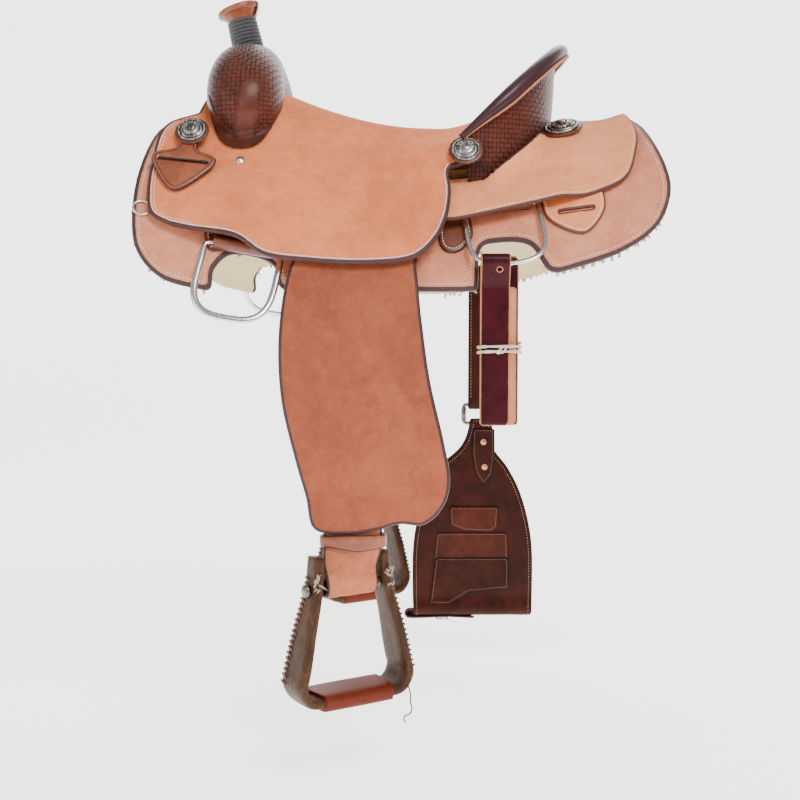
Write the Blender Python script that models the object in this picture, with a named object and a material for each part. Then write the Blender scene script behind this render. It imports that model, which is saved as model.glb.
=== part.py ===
"""A calf roping saddle, built in the layers that a saddle maker puts together.

Metres, +Z up, +X towards the cantle, -Y the near (left) side. The origin is on the centre line, on
the back or rack that carries the saddle. Every leather lies on one shared side surface, at its own
depth, so that each layer follows the one beneath it.
"""

import math

import bmesh
import bpy
import numpy as np
from mathutils import Matrix, Vector
from mathutils.bvhtree import BVHTree

GAP = 0.0003  # between pieces that touch
FIT = 0.0010  # between pieces whose facets don't line up
SIDES = (("near", -1), ("off", 1))

# The centre line: its lowest point, and how far it rises towards the front and the rear
CREST_X, CREST_Z = 0.030, 0.012
FRONT_RUN, FRONT_RISE = 0.350, 0.048
REAR_RUN, REAR_RISE = 0.330, 0.065

# The side, followed down from the centre line: a rounded crest, a steepening flank, a plumb drop
CREST_ARC, CREST_ANGLE = 0.050, math.radians(20)
SIDE_ARC, SIDE_ANGLE = 0.300, math.radians(62)
DROP_ARC = 0.120
ARCS = (0.0, 0.022, 0.045, 0.082, 0.120, 0.160, 0.200, 0.240, 0.280, 0.320, 0.365)
STATIONS = tuple(-0.385 + 0.055 * i for i in range(15))

# Thicknesses
FLEECE, SKIRT, BAR = 0.014, 0.0055, 0.020
RIGGING, JOCKEY, SEAT, HANGING = 0.0040, 0.0045, 0.0055, 0.0045
SWELL_COVER = 0.0040
CHANNEL = 0.035  # half of the open channel along the spine

# Layer depths above the shared surface
SKIRT_IN = FLEECE + GAP
SKIRT_OUT = SKIRT_IN + SKIRT
TRIM_IN = SKIRT_OUT + GAP
TRIM_OUT = TRIM_IN + RIGGING
JOCKEY_IN = TRIM_OUT + GAP
BAR_OUT = TRIM_IN + BAR
FENDER_ROOM = 0.026  # what the seat jockey stands off the skirt over the fender
FRONT_ROOM = 0.0046  # and at its front edge
REAR_ROOM = 0.0245  # and over the rear jockey

# The seat's rise from its lowest line up to the fork, and the cantle's dish and rim
SEAT_BUILD, FORK_BUILD, FORK_RUN = 0.007, 0.036, 0.200
CORNER_BUILD, CORNER_ARC, CORNER_SPREAD = 0.020, 0.115, 0.075
RIM_X, RIM_LENGTH, RIM_HALF = 0.077, 0.151, 0.158
RIM_Z, RIM_RISE = 0.038, 0.145
DISH_X, DISH_POWER, SEAT_INSET = 0.060, 1.8, 0.013
GROUND_SEAT_REAR = RIM_X + 0.023
ROLL_WIDE, ROLL_THICK, CANTLE_LEAN = 0.031, 0.014, 0.008

# The fork, its swell and the horn
SWELL_HALF, SWELL_TOP, SWELL_CROWN, SWELL_FOOT = 0.157, 0.187, 0.050, 0.030
SWELL_X, SWELL_MID, SWELL_WIDE = -0.216, 0.094, 0.112
GULLET_TOP, GULLET_HALF = 0.100, 0.045
FORK_FOOT_HALF, FORK_FOOT_LONG = 0.120, 0.070
HORN_X, HORN_Z, HORN_LEAN = -0.2195, 0.176, math.radians(13)
NECK_RADIUS, NECK_TOP = 0.0165, 0.058
CAP_RADIUS, CAP_THICK, CAP_TILT = 0.031, 0.014, math.radians(6)
WRAP_CORD, WRAP_TURNS, WRAP_PITCH, WRAP_POINTS = 0.0050, 7, 0.0058, 24
WRAP_START = 0.0095

# The dees
DEE_WIDE, DEE_TALL, DEE_BAR = 0.108, 0.112, 0.0070
DEE_TUBE_WALL, DEE_TUBE_LONG, DEE_SQUARE = 0.0035, 0.064, 0.66
STRAP_SWING, EYE_STEP = math.radians(14), 0.0004
FRONT_DEE_X, FRONT_DEE_Z = -0.2025, -0.112
REAR_DEE_X, REAR_DEE_Z = 0.134, -0.055
SMALL_DEE_RADIUS, SMALL_DEE_BAR = 0.0113, 0.0035
SMALL_DEE_X, SMALL_DEE_Z = -0.3275, -0.062

# Stirrup leathers, fenders and stirrups
LEATHER_X, LEATHER_WIDE = -0.060, 0.075
LIFT_Z, TWIST_Z = -0.111, -0.484
STIRRUP_X, STIRRUP_Z, STIRRUP_YAW = -0.066, -0.546, math.radians(32)
BOLT_RADIUS, LOOP_WALL = 0.0065, 0.0055
STIRRUP_NECK, STIRRUP_WIDE = 0.088, 0.170
STIRRUP_RISE, STIRRUP_DROP = 0.042, 0.148
ARM_DEEP, TREAD_DEEP, ARM_THICK = 0.028, 0.056, 0.014
TREAD_WALL = 0.0035

# The latigo on the near side and the flank cinch on the off side
LATIGO_X, LATIGO_WIDE, LATIGO_PLY, LATIGO_BOTTOM = 0.129, 0.050, 0.0035, -0.343
BAND_CORD, BAND_Z, BAND_PITCH, BAND_POINTS, BAND_TURNS = 0.0036, -0.236, 0.0066, 24, 2
BILLET_X, BILLET_WIDE, BILLET_THICK, BILLET_BOTTOM = 0.138, 0.045, 0.0045, -0.352
BUCKLE_HIGH, BUCKLE_LOW, BUCKLE_BAR = -0.357, -0.388, 0.0030
CINCH_BOTTOM, CINCH_X, CINCH_WIDE = -0.720, 0.124, 0.200
CINCH_PLY, CINCH_FOLD = 0.0055, 0.0030
CONNECTOR_WIDE, CONNECTOR_THICK = 0.022, 0.0035

# Conchos, keepers and screws
CONCHO_RADIUS, CONCHO_RISE, CONCHO_STEM, ROSETTE_THICK = 0.019, 0.007, 0.0024, 0.003
CORNER_CONCHO, REAR_CONCHO = (0.089, 0.016), (RIM_X + RIM_LENGTH + 0.001, 0.060)
REAR_CONCHO_RADIUS = 0.024
KEEPER_X, KEEPER_Z, KEEPER_PIVOT = -0.2885, 0.003, 0.046
KEEPER_THICK, KEEPER_SWING = 0.0040, math.radians(12)

SKIRT_OUTLINE = (
    (-0.300, 0.200), (-0.317, 0.080), (-0.340, 0.060), (-0.352, -0.010), (-0.350, -0.080),
    (-0.337, -0.121), (-0.305, -0.152), (-0.258, -0.165), (-0.243, -0.163), (-0.240, -0.138),
    (-0.217, -0.119), (-0.168, -0.131), (-0.154, -0.163), (-0.120, -0.167), (-0.020, -0.167),
    (0.090, -0.167), (0.101, -0.158), (0.106, -0.112), (0.130, -0.102), (0.170, -0.106),
    (0.195, -0.141), (0.233, -0.135), (0.290, -0.115), (0.335, -0.083), (0.357, -0.040),
    (0.358, 0.002), (0.344, 0.060), (0.326, 0.100), (0.320, 0.200),
)
SEAT_OUTLINE = (
    (-0.240, 0.300), (-0.281, 0.082), (-0.321, 0.060), (-0.334, 0.010), (-0.332, -0.047),
    (-0.318, -0.074), (-0.274, -0.087), (-0.214, -0.097), (-0.173, -0.122), (-0.114, -0.130),
    (-0.050, -0.133), (0.013, -0.127), (0.045, -0.103), (0.062, -0.070), (0.068, -0.035),
    (0.066, -0.006), (0.078, 0.002), (0.107, 0.010), (0.300, 0.010), (0.300, 0.300),
)
REAR_JOCKEY_OUTLINE = (
    (0.048, -0.078), (0.072, -0.080), (0.132, -0.068), (0.210, -0.050), (0.276, -0.029),
    (0.306, -0.010), (0.322, 0.025), (0.330, 0.057), (0.325, 0.092), (0.310, 0.200),
    (0.048, 0.200),
)
FRONT_RIGGING_OUTLINE = (
    (-0.252, -0.060), (-0.252, -0.108), (-0.230, -0.1155), (-0.175, -0.1155), (-0.150, -0.112),
    (-0.142, -0.095), (-0.142, -0.060), (-0.200, -0.050),
)
REAR_RIGGING_OUTLINE = (
    (0.052, -0.045), (0.052, -0.105), (0.074, -0.116), (0.096, -0.095), (0.100, -0.0575),
    (0.168, -0.0575), (0.176, -0.050), (0.176, -0.020), (0.052, -0.020),
)
REAR_KEEPER_OUTLINE = (
    (0.198, -0.016), (0.195, -0.050), (0.201, -0.078), (0.230, -0.092), (0.256, -0.070),
    (0.262, -0.042), (0.250, -0.010),
)
FENDER_OUTLINE = (
    (-0.120, -0.113), (-0.137, -0.124), (-0.148, -0.167), (-0.154, -0.240), (-0.150, -0.310),
    (-0.134, -0.380), (-0.120, -0.430), (-0.110, -0.471), (-0.070, -0.478), (-0.030, -0.473),
    (0.000, -0.465), (0.030, -0.466), (0.054, -0.445), (0.064, -0.410), (0.056, -0.360),
    (0.038, -0.281), (0.027, -0.200), (0.021, -0.140), (0.010, -0.118), (-0.020, -0.111),
    (-0.080, -0.111),
)
KEEPER_OUTLINE = (
    (-0.012, 0.058), (0.012, 0.058), (0.021, 0.046), (0.013, 0.030), (0.017, 0.016),
    (0.043, 0.004), (0.036, -0.020), (0.000, -0.056), (-0.036, -0.020), (-0.043, 0.004),
    (-0.017, 0.016), (-0.013, 0.030), (-0.021, 0.046),
)
CINCH_OUTLINE = (
    (-0.018, 0.0), (0.018, 0.0), (0.026, -0.050), (0.060, -0.090), (0.084, -0.140),
    (0.100, -0.210), (0.1025, -0.290), (0.0990, -0.400), (-0.0990, -0.400), (-0.1025, -0.290),
    (-0.100, -0.210), (-0.084, -0.140), (-0.060, -0.090), (-0.026, -0.050),
)


def smooth(t):
    """A soft step from 0 to 1."""
    t = min(max(t, 0.0), 1.0)
    return t * t * (3 - 2 * t)


def side_curve():
    """The side's arc, distance out, height and slope, by steps of one millimetre."""
    arc = np.arange(0.0, 1.0, 0.001)
    slope = np.array([
        CREST_ANGLE * smooth(s / CREST_ARC)
        + (SIDE_ANGLE - CREST_ANGLE) * min(s / SIDE_ARC, 1.0)
        + (math.pi / 2 - SIDE_ANGLE) * smooth((s - SIDE_ARC) / DROP_ARC)
        for s in arc
    ])
    out = np.concatenate([[0.0], np.cumsum(np.cos(slope[:-1]) * 0.001)])
    down = np.concatenate([[0.0], np.cumsum(np.sin(slope[:-1]) * 0.001)])
    return arc, out, -down, slope


ARC, OUT, DOWN, SLOPE = side_curve()


def crest(x):
    """The centre line's height."""
    if x < CREST_X:
        return CREST_Z + FRONT_RISE * ((CREST_X - x) / FRONT_RUN) ** 2
    return CREST_Z + REAR_RISE * ((x - CREST_X) / REAR_RUN) ** 2


def on_side(x, s, depth):
    """A point at station x, arc s (negative on the near side) and depth above the surface."""
    side = -1 if s < 0 else 1
    out, down, slope = (np.interp(abs(s), ARC, column) for column in (OUT, DOWN, SLOPE))
    return Vector((
        x,
        side * (out + depth * math.sin(slope)),
        crest(x) + down + depth * math.cos(slope),
    ))


def arc_at(x, z, depth):
    """The arc where the surface at this depth has height z."""
    heights = crest(x) + DOWN + depth * np.cos(SLOPE)
    return float(np.interp(-z, -heights, ARC))


def frame_on(place, across, up, side):
    """A placement from a surface point and two directions on it: local Z out, local Y up."""
    along = -side * across.normalized()
    out = along.cross(up).normalized()
    turn = Matrix((along, out.cross(along), out)).transposed().to_4x4()
    return Matrix.Translation(place) @ turn


def frame_at(x, z, side, depth):
    """A placement on the side at this depth: local Z points out of it, local Y up along it."""
    s, step = side * arc_at(x, z, depth), 0.02
    across = on_side(x + step, s, depth) - on_side(x - step, s, depth)
    up = on_side(x, s - side * step, depth) - on_side(x, s + side * step, depth)
    return frame_on(on_side(x, s, depth), across, up, side)


def fork_build(x):
    """How much the seat is built up at the centre line."""
    if x > CREST_X:
        return SEAT_BUILD
    rise = FORK_BUILD * min(1.0, (CREST_X - x) / FORK_RUN) ** 1.6
    return SEAT_BUILD + rise * (1 - 0.6 * smooth((-0.18 - x) / 0.09))


def seat_under(x, s):
    """The depth of the underside of the seat leather."""
    front = FRONT_ROOM + (FENDER_ROOM - FRONT_ROOM) * smooth((x + 0.335) / 0.135)
    room = front + (REAR_ROOM - FENDER_ROOM) * smooth((x - 0.025) / 0.045)
    tree = smooth((0.175 - abs(s)) / 0.055)
    over_bar = max(0.0, BAR + 2 * GAP + 0.002 - room) * tree
    corner = CORNER_BUILD * smooth((x + 0.030) / 0.080)
    corner *= smooth(1 - abs(abs(s) - CORNER_ARC) / CORNER_SPREAD)
    return TRIM_IN + room + over_bar + fork_build(x) * (1 - smooth(abs(s) / 0.17)) + corner


def seat_rear(s):
    """Where the seat leather ends at the cantle, at this arc."""
    y = abs(on_side(RIM_X, s, seat_under(RIM_X, s)).y) / (RIM_HALF - SEAT_INSET / 2)
    return RIM_X + (RIM_LENGTH - SEAT_INSET) * math.sqrt(max(0.0, 1 - min(1.0, y) ** 2))


def seat_point(x, s, depth):
    """A point above the seat's underside, raised over the cantle's dish."""
    place = on_side(x, s, seat_under(x, s) + depth)
    rear = seat_rear(s)
    if rear > RIM_X and x > DISH_X:
        goal = RIM_Z + RIM_RISE * (rear - RIM_X) / RIM_LENGTH - 0.84 * ROLL_THICK - SEAT
        flat = on_side(rear, s, seat_under(rear, s)).z
        along = min(1.0, (x - DISH_X) / (rear - DISH_X))
        place.z += max(0.0, goal - flat) * along**DISH_POWER
    return place


def material(name, colour, roughness=0.6, metallic=0.0):
    """A material with the part's own colour."""
    made = bpy.data.materials.new(name)
    made.use_nodes = True
    shader = made.node_tree.nodes["Principled BSDF"]
    shader.inputs["Base Color"].default_value = (*colour, 1)
    shader.inputs["Roughness"].default_value = roughness
    shader.inputs["Metallic"].default_value = metallic
    return made


def add(name, mesh, colour, roughness=0.6, metallic=0.0):
    """An object with its own material."""
    obj = bpy.data.objects.new(name, mesh)
    bpy.context.scene.collection.objects.link(obj)
    if colour:
        mesh.materials.append(material(name, colour, roughness, metallic))
    return obj


def finish(name, bm, colour, roughness=0.6, metallic=0.0, smooth_faces=False, place=None):
    """Turn a bmesh into an object with its faces outwards."""
    bmesh.ops.recalc_face_normals(bm, faces=bm.faces)
    if place is not None:
        bm.transform(place)
    mesh = bpy.data.meshes.new(name)
    bm.to_mesh(mesh)
    bm.free()
    if smooth_faces:
        mesh.shade_smooth()
        mesh.set_sharp_from_angle(angle=math.radians(40))
    return add(name, mesh, colour, roughness, metallic)


def cut(obj, cutter, operation="DIFFERENCE"):
    """Cut an object by a hidden one, or keep only what they share."""
    cutter.hide_render = True
    cutter.display_type = "WIRE"
    modifier = obj.modifiers.new(cutter.name, "BOOLEAN")
    modifier.operation, modifier.solver, modifier.object = operation, "EXACT", cutter
    return obj


def rounded(points, steps=2):
    """A closed curve through the points."""
    done = []
    count = len(points)
    for i in range(count):
        a, b, c, d = (Vector(points[(i + k) % count]) for k in (-1, 0, 1, 2))
        for step in range(steps):
            t = step / steps
            done.append(0.5 * (
                2 * b + (c - a) * t + (2 * a - 5 * b + 4 * c - d) * t * t
                + (3 * b - a - 3 * c + d) * t**3
            ))
    return done


def inset(points, by):
    """Outline points moved inwards."""
    area = sum(a[0] * b[1] - b[0] * a[1] for a, b in zip(points, points[1:] + points[:1]))
    moved = []
    for i, point in enumerate(points):
        along = (Vector(points[(i + 1) % len(points)]) - Vector(points[i - 1])).normalized()
        normal = Vector((-along.y, along.x)) * (1 if area > 0 else -1)
        moved.append(Vector(point) + normal * by)
    return moved


def prism(name, outline, low, high, axis="Y", colour=None, place=None, **look):
    """An outline extruded along an axis: side views along Y, plans along Z, sections along X."""
    bm = bmesh.new()
    order = {
        "Y": lambda u, v, w: (u, w, v),
        "Z": lambda u, v, w: (u, v, w),
        "X": lambda u, v, w: (w, u, v),
    }[axis]
    ends = [[bm.verts.new(order(p[0], p[1], w)) for p in outline] for w in (low, high)]
    for k in range(len(outline)):
        m = (k + 1) % len(outline)
        bm.faces.new((ends[0][k], ends[0][m], ends[1][m], ends[1][k]))
    bm.faces.new(ends[0])
    bm.faces.new(ends[1])
    return finish(name, bm, colour, place=place, **look)


def grid_solid(name, rows, colour=None, **look):
    """A closed solid between a lower and an upper grid of points, rows[i][j] = (lower, upper)."""
    bm = bmesh.new()
    made = [[[bm.verts.new(p) for p in pair] for pair in row] for row in rows]
    across, along = len(rows[0]), len(rows)
    for k in (0, 1):
        for i in range(along - 1):
            for j in range(across - 1):
                a, b = made[i][j][k], made[i + 1][j][k]
                c, d = made[i + 1][j + 1][k], made[i][j + 1][k]
                if rows[i][j][0].y + rows[i][j + 1][0].y > 0:
                    bm.faces.new((a, b, c))
                    bm.faces.new((a, c, d))
                else:
                    bm.faces.new((a, b, d))
                    bm.faces.new((b, c, d))
    edge = [(i, 0) for i in range(along)] + [(along - 1, j) for j in range(1, across)]
    edge += [(i, across - 1) for i in range(along - 2, -1, -1)]
    edge += [(0, j) for j in range(across - 2, 0, -1)]
    for (i, j), (m, n) in zip(edge, edge[1:] + edge[:1]):
        bm.faces.new((made[i][j][0], made[m][n][0], made[m][n][1], made[i][j][1]))
    return finish(name, bm, colour, **look)


def layer(name, side, low, high, arcs=ARCS, stations=STATIONS, colour=None, **look):
    """A slab of one side between two depths, which may vary with station and arc."""
    low_at = low if callable(low) else lambda x, s: low
    high_at = high if callable(high) else lambda x, s: high
    rows = [
        [
            (on_side(x, side * s, low_at(x, s)), on_side(x, side * s, high_at(x, s)))
            for s in arcs
        ]
        for x in stations
    ]
    return grid_solid(name, rows, colour, **look)


def seat_layer(name, low, high, colour=None, beyond=0.0, **look):
    """A slab over both sides, between two heights over the seat leather's underside."""
    arcs = [-s for s in reversed(ARCS[1:10])] + list(ARCS[:10])
    rows = [[] for _ in range(16)]
    for s in arcs:
        rear = max(seat_rear(s), 0.112) + beyond
        front = [-0.350 + 0.041 * i for i in range(10)]
        columns = front + [DISH_X + (rear - DISH_X) * i / 5 for i in range(6)]
        for row, x in zip(rows, columns):
            row.append((seat_point(x, s, low), seat_point(x, s, high)))
    return grid_solid(name, rows, colour, **look)


def lathe(name, profile, place, colour=None, sides=16, **look):
    """A turned solid: (radius, height) pairs from its bottom middle to its top middle."""
    bm = bmesh.new()
    rings = []
    for radius, height in profile:
        if radius == 0:
            rings.append([bm.verts.new((0, 0, height))])
            continue
        rings.append([
            bm.verts.new((
                radius * math.cos(math.tau * k / sides), radius * math.sin(math.tau * k / sides), height
            ))
            for k in range(sides)
        ])
    for a, b in zip(rings, rings[1:]):
        for k in range(sides):
            m = (k + 1) % sides
            corners = [a[k % len(a)], a[m % len(a)], b[m % len(b)], b[k % len(b)]]
            kept = [v for n, v in enumerate(corners) if v not in corners[:n]]
            bm.faces.new(kept)
    return finish(name, bm, colour, place=place, smooth_faces=True, **look)


def loft(name, rings, colour=None, closed=False, **look):
    """A solid through rings of points, with flat ends unless it closes on itself."""
    bm = bmesh.new()
    made = [[bm.verts.new(p) for p in ring] for ring in rings]
    pairs = list(zip(made, made[1:])) + ([(made[-1], made[0])] if closed else [])
    count = len(rings[0])
    for a, b in pairs:
        for k in range(count):
            m = (k + 1) % count
            bm.faces.new((a[k], a[m], b[m]))
            bm.faces.new((a[k], b[m], b[k]))
    if not closed:
        bm.faces.new(made[0])
        bm.faces.new(made[-1])
    return finish(name, bm, colour, smooth_faces=True, **look)


def rod(name, path, wide, thick, place, colour=None, closed=False, sides=8, up=None, **look):
    """A bar swept along a path: a rounded section, or one of four sides."""
    rings = []
    count = len(path)
    for i, point in enumerate(path):
        before = path[(i - 1) % count] if closed or i else point
        after = path[(i + 1) % count] if closed or i < count - 1 else point
        along = (Vector(after) - Vector(before)).normalized()
        normal = Vector(up or (0, 0, 1))
        across = along.cross(normal).normalized()
        start = math.pi / sides
        stretch = 1 / math.cos(start)
        rings.append([
            Vector(point)
            + across * (wide / 2 * stretch * math.cos(start + math.tau * k / sides))
            + normal * (thick / 2 * stretch * math.sin(start + math.tau * k / sides))
            for k in range(sides)
        ])
    return loft(name, rings, colour, closed=closed, place=place, **look)


def tube(name, points, diameter, colour, **look):
    """A wound cord: a curve with a round bevel and filled ends."""
    curve = bpy.data.curves.new(name, "CURVE")
    curve.dimensions = "3D"
    curve.bevel_depth = diameter / 2
    curve.bevel_resolution = 1
    curve.use_fill_caps = True
    spline = curve.splines.new("POLY")
    spline.points.add(len(points) - 1)
    for slot, point in zip(spline.points, points):
        slot.co = (*point, 1)
    return add(name, curve, colour, **look)


def least_gap(points, diameter, turn):
    """The least clear distance between one turn of a wound cord and the next ones."""
    places = np.array([tuple(p) for p in points])
    least = 1.0
    for i in range(len(places) - turn // 2):
        apart = np.linalg.norm(places[i + turn // 2:] - places[i], axis=1)
        least = min(least, float(apart.min()))
    return least - diameter


# Depths that follow from the layers
DEE_BORE = DEE_BAR / 2 + FIT
DEE_DEPTH = SKIRT_OUT + GAP + DEE_BORE + DEE_TUBE_WALL
LEATHER_IN = SKIRT_OUT + 6 * FIT
LEATHER_OUT = LEATHER_IN + 2 * HANGING
FENDER_IN = LEATHER_OUT + GAP
FENDER_OUT = FENDER_IN + HANGING
HANG_ARCS = (0.200, 0.240, 0.280, 0.320, 0.365, 0.420, 0.560, 0.700)
TREE_STATIONS = STATIONS[2:12]

TAN, SKIRT_TAN, FENDER_TAN = (0.72, 0.32, 0.18), (0.66, 0.37, 0.26), (0.52, 0.24, 0.14)
DARK, RUSSET, BLACK = (0.07, 0.02, 0.012), (0.25, 0.07, 0.03), (0.03, 0.03, 0.035)


def rear_jockey_in(x, s):
    """The rear jockey's underside: over the end of the bar, and over the dee's tube."""
    bar = (BAR - RIGGING) * smooth((0.305 - x) / 0.085) * smooth((0.170 - abs(s)) / 0.050)
    stand = 2 * (DEE_BORE + DEE_TUBE_WALL) - RIGGING + FIT
    tube_room = stand * smooth((0.120 - abs(x - REAR_DEE_X)) / 0.050)
    return JOCKEY_IN + max(bar, tube_room * smooth((abs(s) - 0.120) / 0.035))


def half_ellipse(grow, steps=20):
    """The cantle's plan, from one corner round the rear to the other."""
    angles = [math.pi * (i / steps - 0.5) for i in range(steps + 1)]
    return [
        (RIM_X + (RIM_LENGTH + grow) * math.cos(a), (RIM_HALF + grow) * math.sin(a))
        for a in angles
    ]


def two_sided(name, low, high):
    """A cutter over both sides, between two depths."""
    arcs = [-s for s in reversed(ARCS[1:7])] + list(ARCS[:7])
    rows = [[(on_side(x, s, low), on_side(x, s, high)) for s in arcs] for x in STATIONS]
    return grid_solid(name, rows)


def make_cutters():
    """The shapes that trim the layers where they meet."""
    foot = FORK_FOOT_LONG / 2
    plan = [
        (SWELL_X + foot, -FORK_FOOT_HALF), (SWELL_X + foot, FORK_FOOT_HALF),
        (SWELL_X - foot, FORK_FOOT_HALF), (SWELL_X - foot, GULLET_HALF + 0.005),
        (-0.450, GULLET_HALF + 0.005), (-0.450, -GULLET_HALF - 0.005),
        (SWELL_X - foot, -GULLET_HALF - 0.005), (SWELL_X - foot, -FORK_FOOT_HALF),
    ]
    made = {
        "seat_notch": prism("seat_notch", plan, -0.3, 0.4, "Z"),
        "seat_side": prism("seat_side", rounded(SEAT_OUTLINE), -0.5, 0.5),
        "over_seat": seat_layer("over_seat", -1.5 * GAP, 0.120, beyond=FIT),
        "under_seat": seat_layer("under_seat", -0.045, SEAT + GAP),
        "under_seat_round_fork": seat_layer("under_seat_round_fork", -0.045, SEAT + GAP),
        "under_bars": two_sided("under_bars", -0.100, BAR_OUT + GAP),
        "skirt_side": prism("skirt_side", rounded(SKIRT_OUTLINE), -0.5, 0.5),
        "fleece_side": prism(
            "fleece_side", rounded(inset(SKIRT_OUTLINE, 0.003)), -0.5, 0.5
        ),
    }
    inner = [(x, y * (1 - FIT / FORK_FOOT_HALF)) for x, y in inset(plan, FIT)]
    cut(made["under_seat_round_fork"], prism("fork_foot", inner, -0.35, 0.45, "Z"))
    strip = GAP / 2
    channel = [
        (-0.5, -CHANNEL), (0.235, -CHANNEL), (0.255, -strip), (0.5, -strip),
        (0.5, strip), (0.255, strip), (0.235, CHANNEL), (-0.5, CHANNEL),
    ]
    made["channel"] = prism("channel", channel, -0.3, 0.4, "Z")
    round_cantle = half_ellipse(FIT)
    middle = len(round_cantle) // 2
    seat_hole = [(0.0, -RIM_HALF - FIT)] + round_cantle[:middle]
    seat_hole += [(0.29, -strip), (0.5, -strip), (0.5, strip), (0.29, strip)]
    seat_hole += round_cantle[middle + 1:] + [(0.0, RIM_HALF + FIT)]
    made["jockey_hole"] = prism("jockey_hole", seat_hole, -0.3, 0.4, "Z")
    made["jockey_side"] = prism("jockey_side", rounded(REAR_JOCKEY_OUTLINE), -0.5, 0.5)
    return made


def make_layers(cutters):
    """Fleece, skirts, bars and jockeys on each side."""
    for word, side in SIDES:
        fleece = layer(f"{word}_fleece", side, 0.0, FLEECE, colour=(0.75, 0.66, 0.45))
        cut(cut(fleece, cutters["fleece_side"], "INTERSECT"), cutters["channel"])
        skirt = layer(f"{word}_skirt", side, SKIRT_IN, SKIRT_OUT, colour=SKIRT_TAN)
        cut(cut(skirt, cutters["skirt_side"], "INTERSECT"), cutters["channel"])
        bar = layer(
            f"{word}_tree_bar", side, TRIM_IN, BAR_OUT, ARCS[2:5], TREE_STATIONS,
            colour=(0.6, 0.45, 0.3),
        )
        cut(bar, cutters["over_seat"])
        jockey = layer(
            f"{word}_rear_jockey", side, rear_jockey_in,
            lambda x, s: rear_jockey_in(x, s) + JOCKEY, ARCS[:8], STATIONS[7:], colour=TAN,
        )
        cut(cut(jockey, cutters["jockey_side"], "INTERSECT"), cutters["jockey_hole"])
        keeper = layer(
            f"{word}_rear_keeper", side, TRIM_IN, TRIM_OUT, ARCS[3:9], STATIONS[9:13],
            colour=(0.7, 0.42, 0.25),
        )
        outline = rounded(REAR_KEEPER_OUTLINE)
        cut(keeper, prism(f"{word}_keeper_side", outline, -0.5, 0.5), "INTERSECT")
        slot = [(0.204, -0.0605), (0.246, -0.0575), (0.246, -0.0535), (0.204, -0.0565)]
        cut(keeper, prism(f"{word}_rear_slot", slot, -0.5, 0.5))


def make_seat(cutters):
    """The seat leather with its front jockeys, and the ground seat under it."""
    seat = seat_layer("seat_leather", 0.0, SEAT, colour=TAN)
    cut(cut(seat, cutters["seat_side"], "INTERSECT"), cutters["seat_notch"])
    ground = seat_layer("ground_seat", -0.034, -GAP, colour=(0.4, 0.25, 0.15))
    front, rear, half = SWELL_X + FORK_FOOT_LONG / 2 + 0.006, GROUND_SEAT_REAR, 0.122
    plan = [(front, -half), (rear, -half), (rear, half), (front, half)]
    cut(ground, prism("ground_plan", plan, -0.3, 0.4, "Z"), "INTERSECT")
    cut(ground, cutters["under_bars"])


def swell_ring(t, shrink):
    """The fork's section at a share t of its half width, as points in a side view plane."""
    far = abs(t)
    end = math.sqrt(max(0.0, 1 - far**5))
    top = SWELL_TOP - SWELL_CROWN * far**2.6
    bottom = GULLET_TOP + 0.005 - (GULLET_TOP + 0.005 - SWELL_FOOT) * smooth(far / 0.7)
    tall = (top - bottom) / 2 * end - shrink
    wide = (SWELL_MID + (SWELL_WIDE - SWELL_MID) * smooth(far / 0.7)) / 2 * end - shrink
    y = t * (SWELL_HALF - shrink)
    ring = []
    for k in range(14):
        a = math.tau * k / 14
        c, s = math.cos(a), math.sin(a)
        ring.append((
            SWELL_X + wide * math.copysign(abs(c) ** 0.85, c),
            y,
            (top + bottom) / 2 + tall * math.copysign(abs(s) ** 0.85, s),
        ))
    return ring


def horn_place():
    """The horn's own frame: its axis leans forward."""
    return Matrix.Translation((HORN_X, 0, HORN_Z)) @ Matrix.Rotation(-HORN_LEAN, 4, "Y")


def wrap_points():
    """The horn wrap's helix, with straight ends."""
    radius = NECK_RADIUS + WRAP_CORD / 2 + GAP
    points = []
    for i in range(WRAP_TURNS * WRAP_POINTS + 1):
        a = math.tau * i / WRAP_POINTS
        height = WRAP_START + WRAP_PITCH * i / WRAP_POINTS
        points.append(Vector((radius * math.cos(a), radius * math.sin(a), height)))
    start = points[0] + (points[0] - points[1]).normalized() * WRAP_CORD
    end = points[-1] + (points[-1] - points[-2]).normalized() * WRAP_CORD
    place = horn_place()
    return [place @ p for p in [start, *points, end]]


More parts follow.
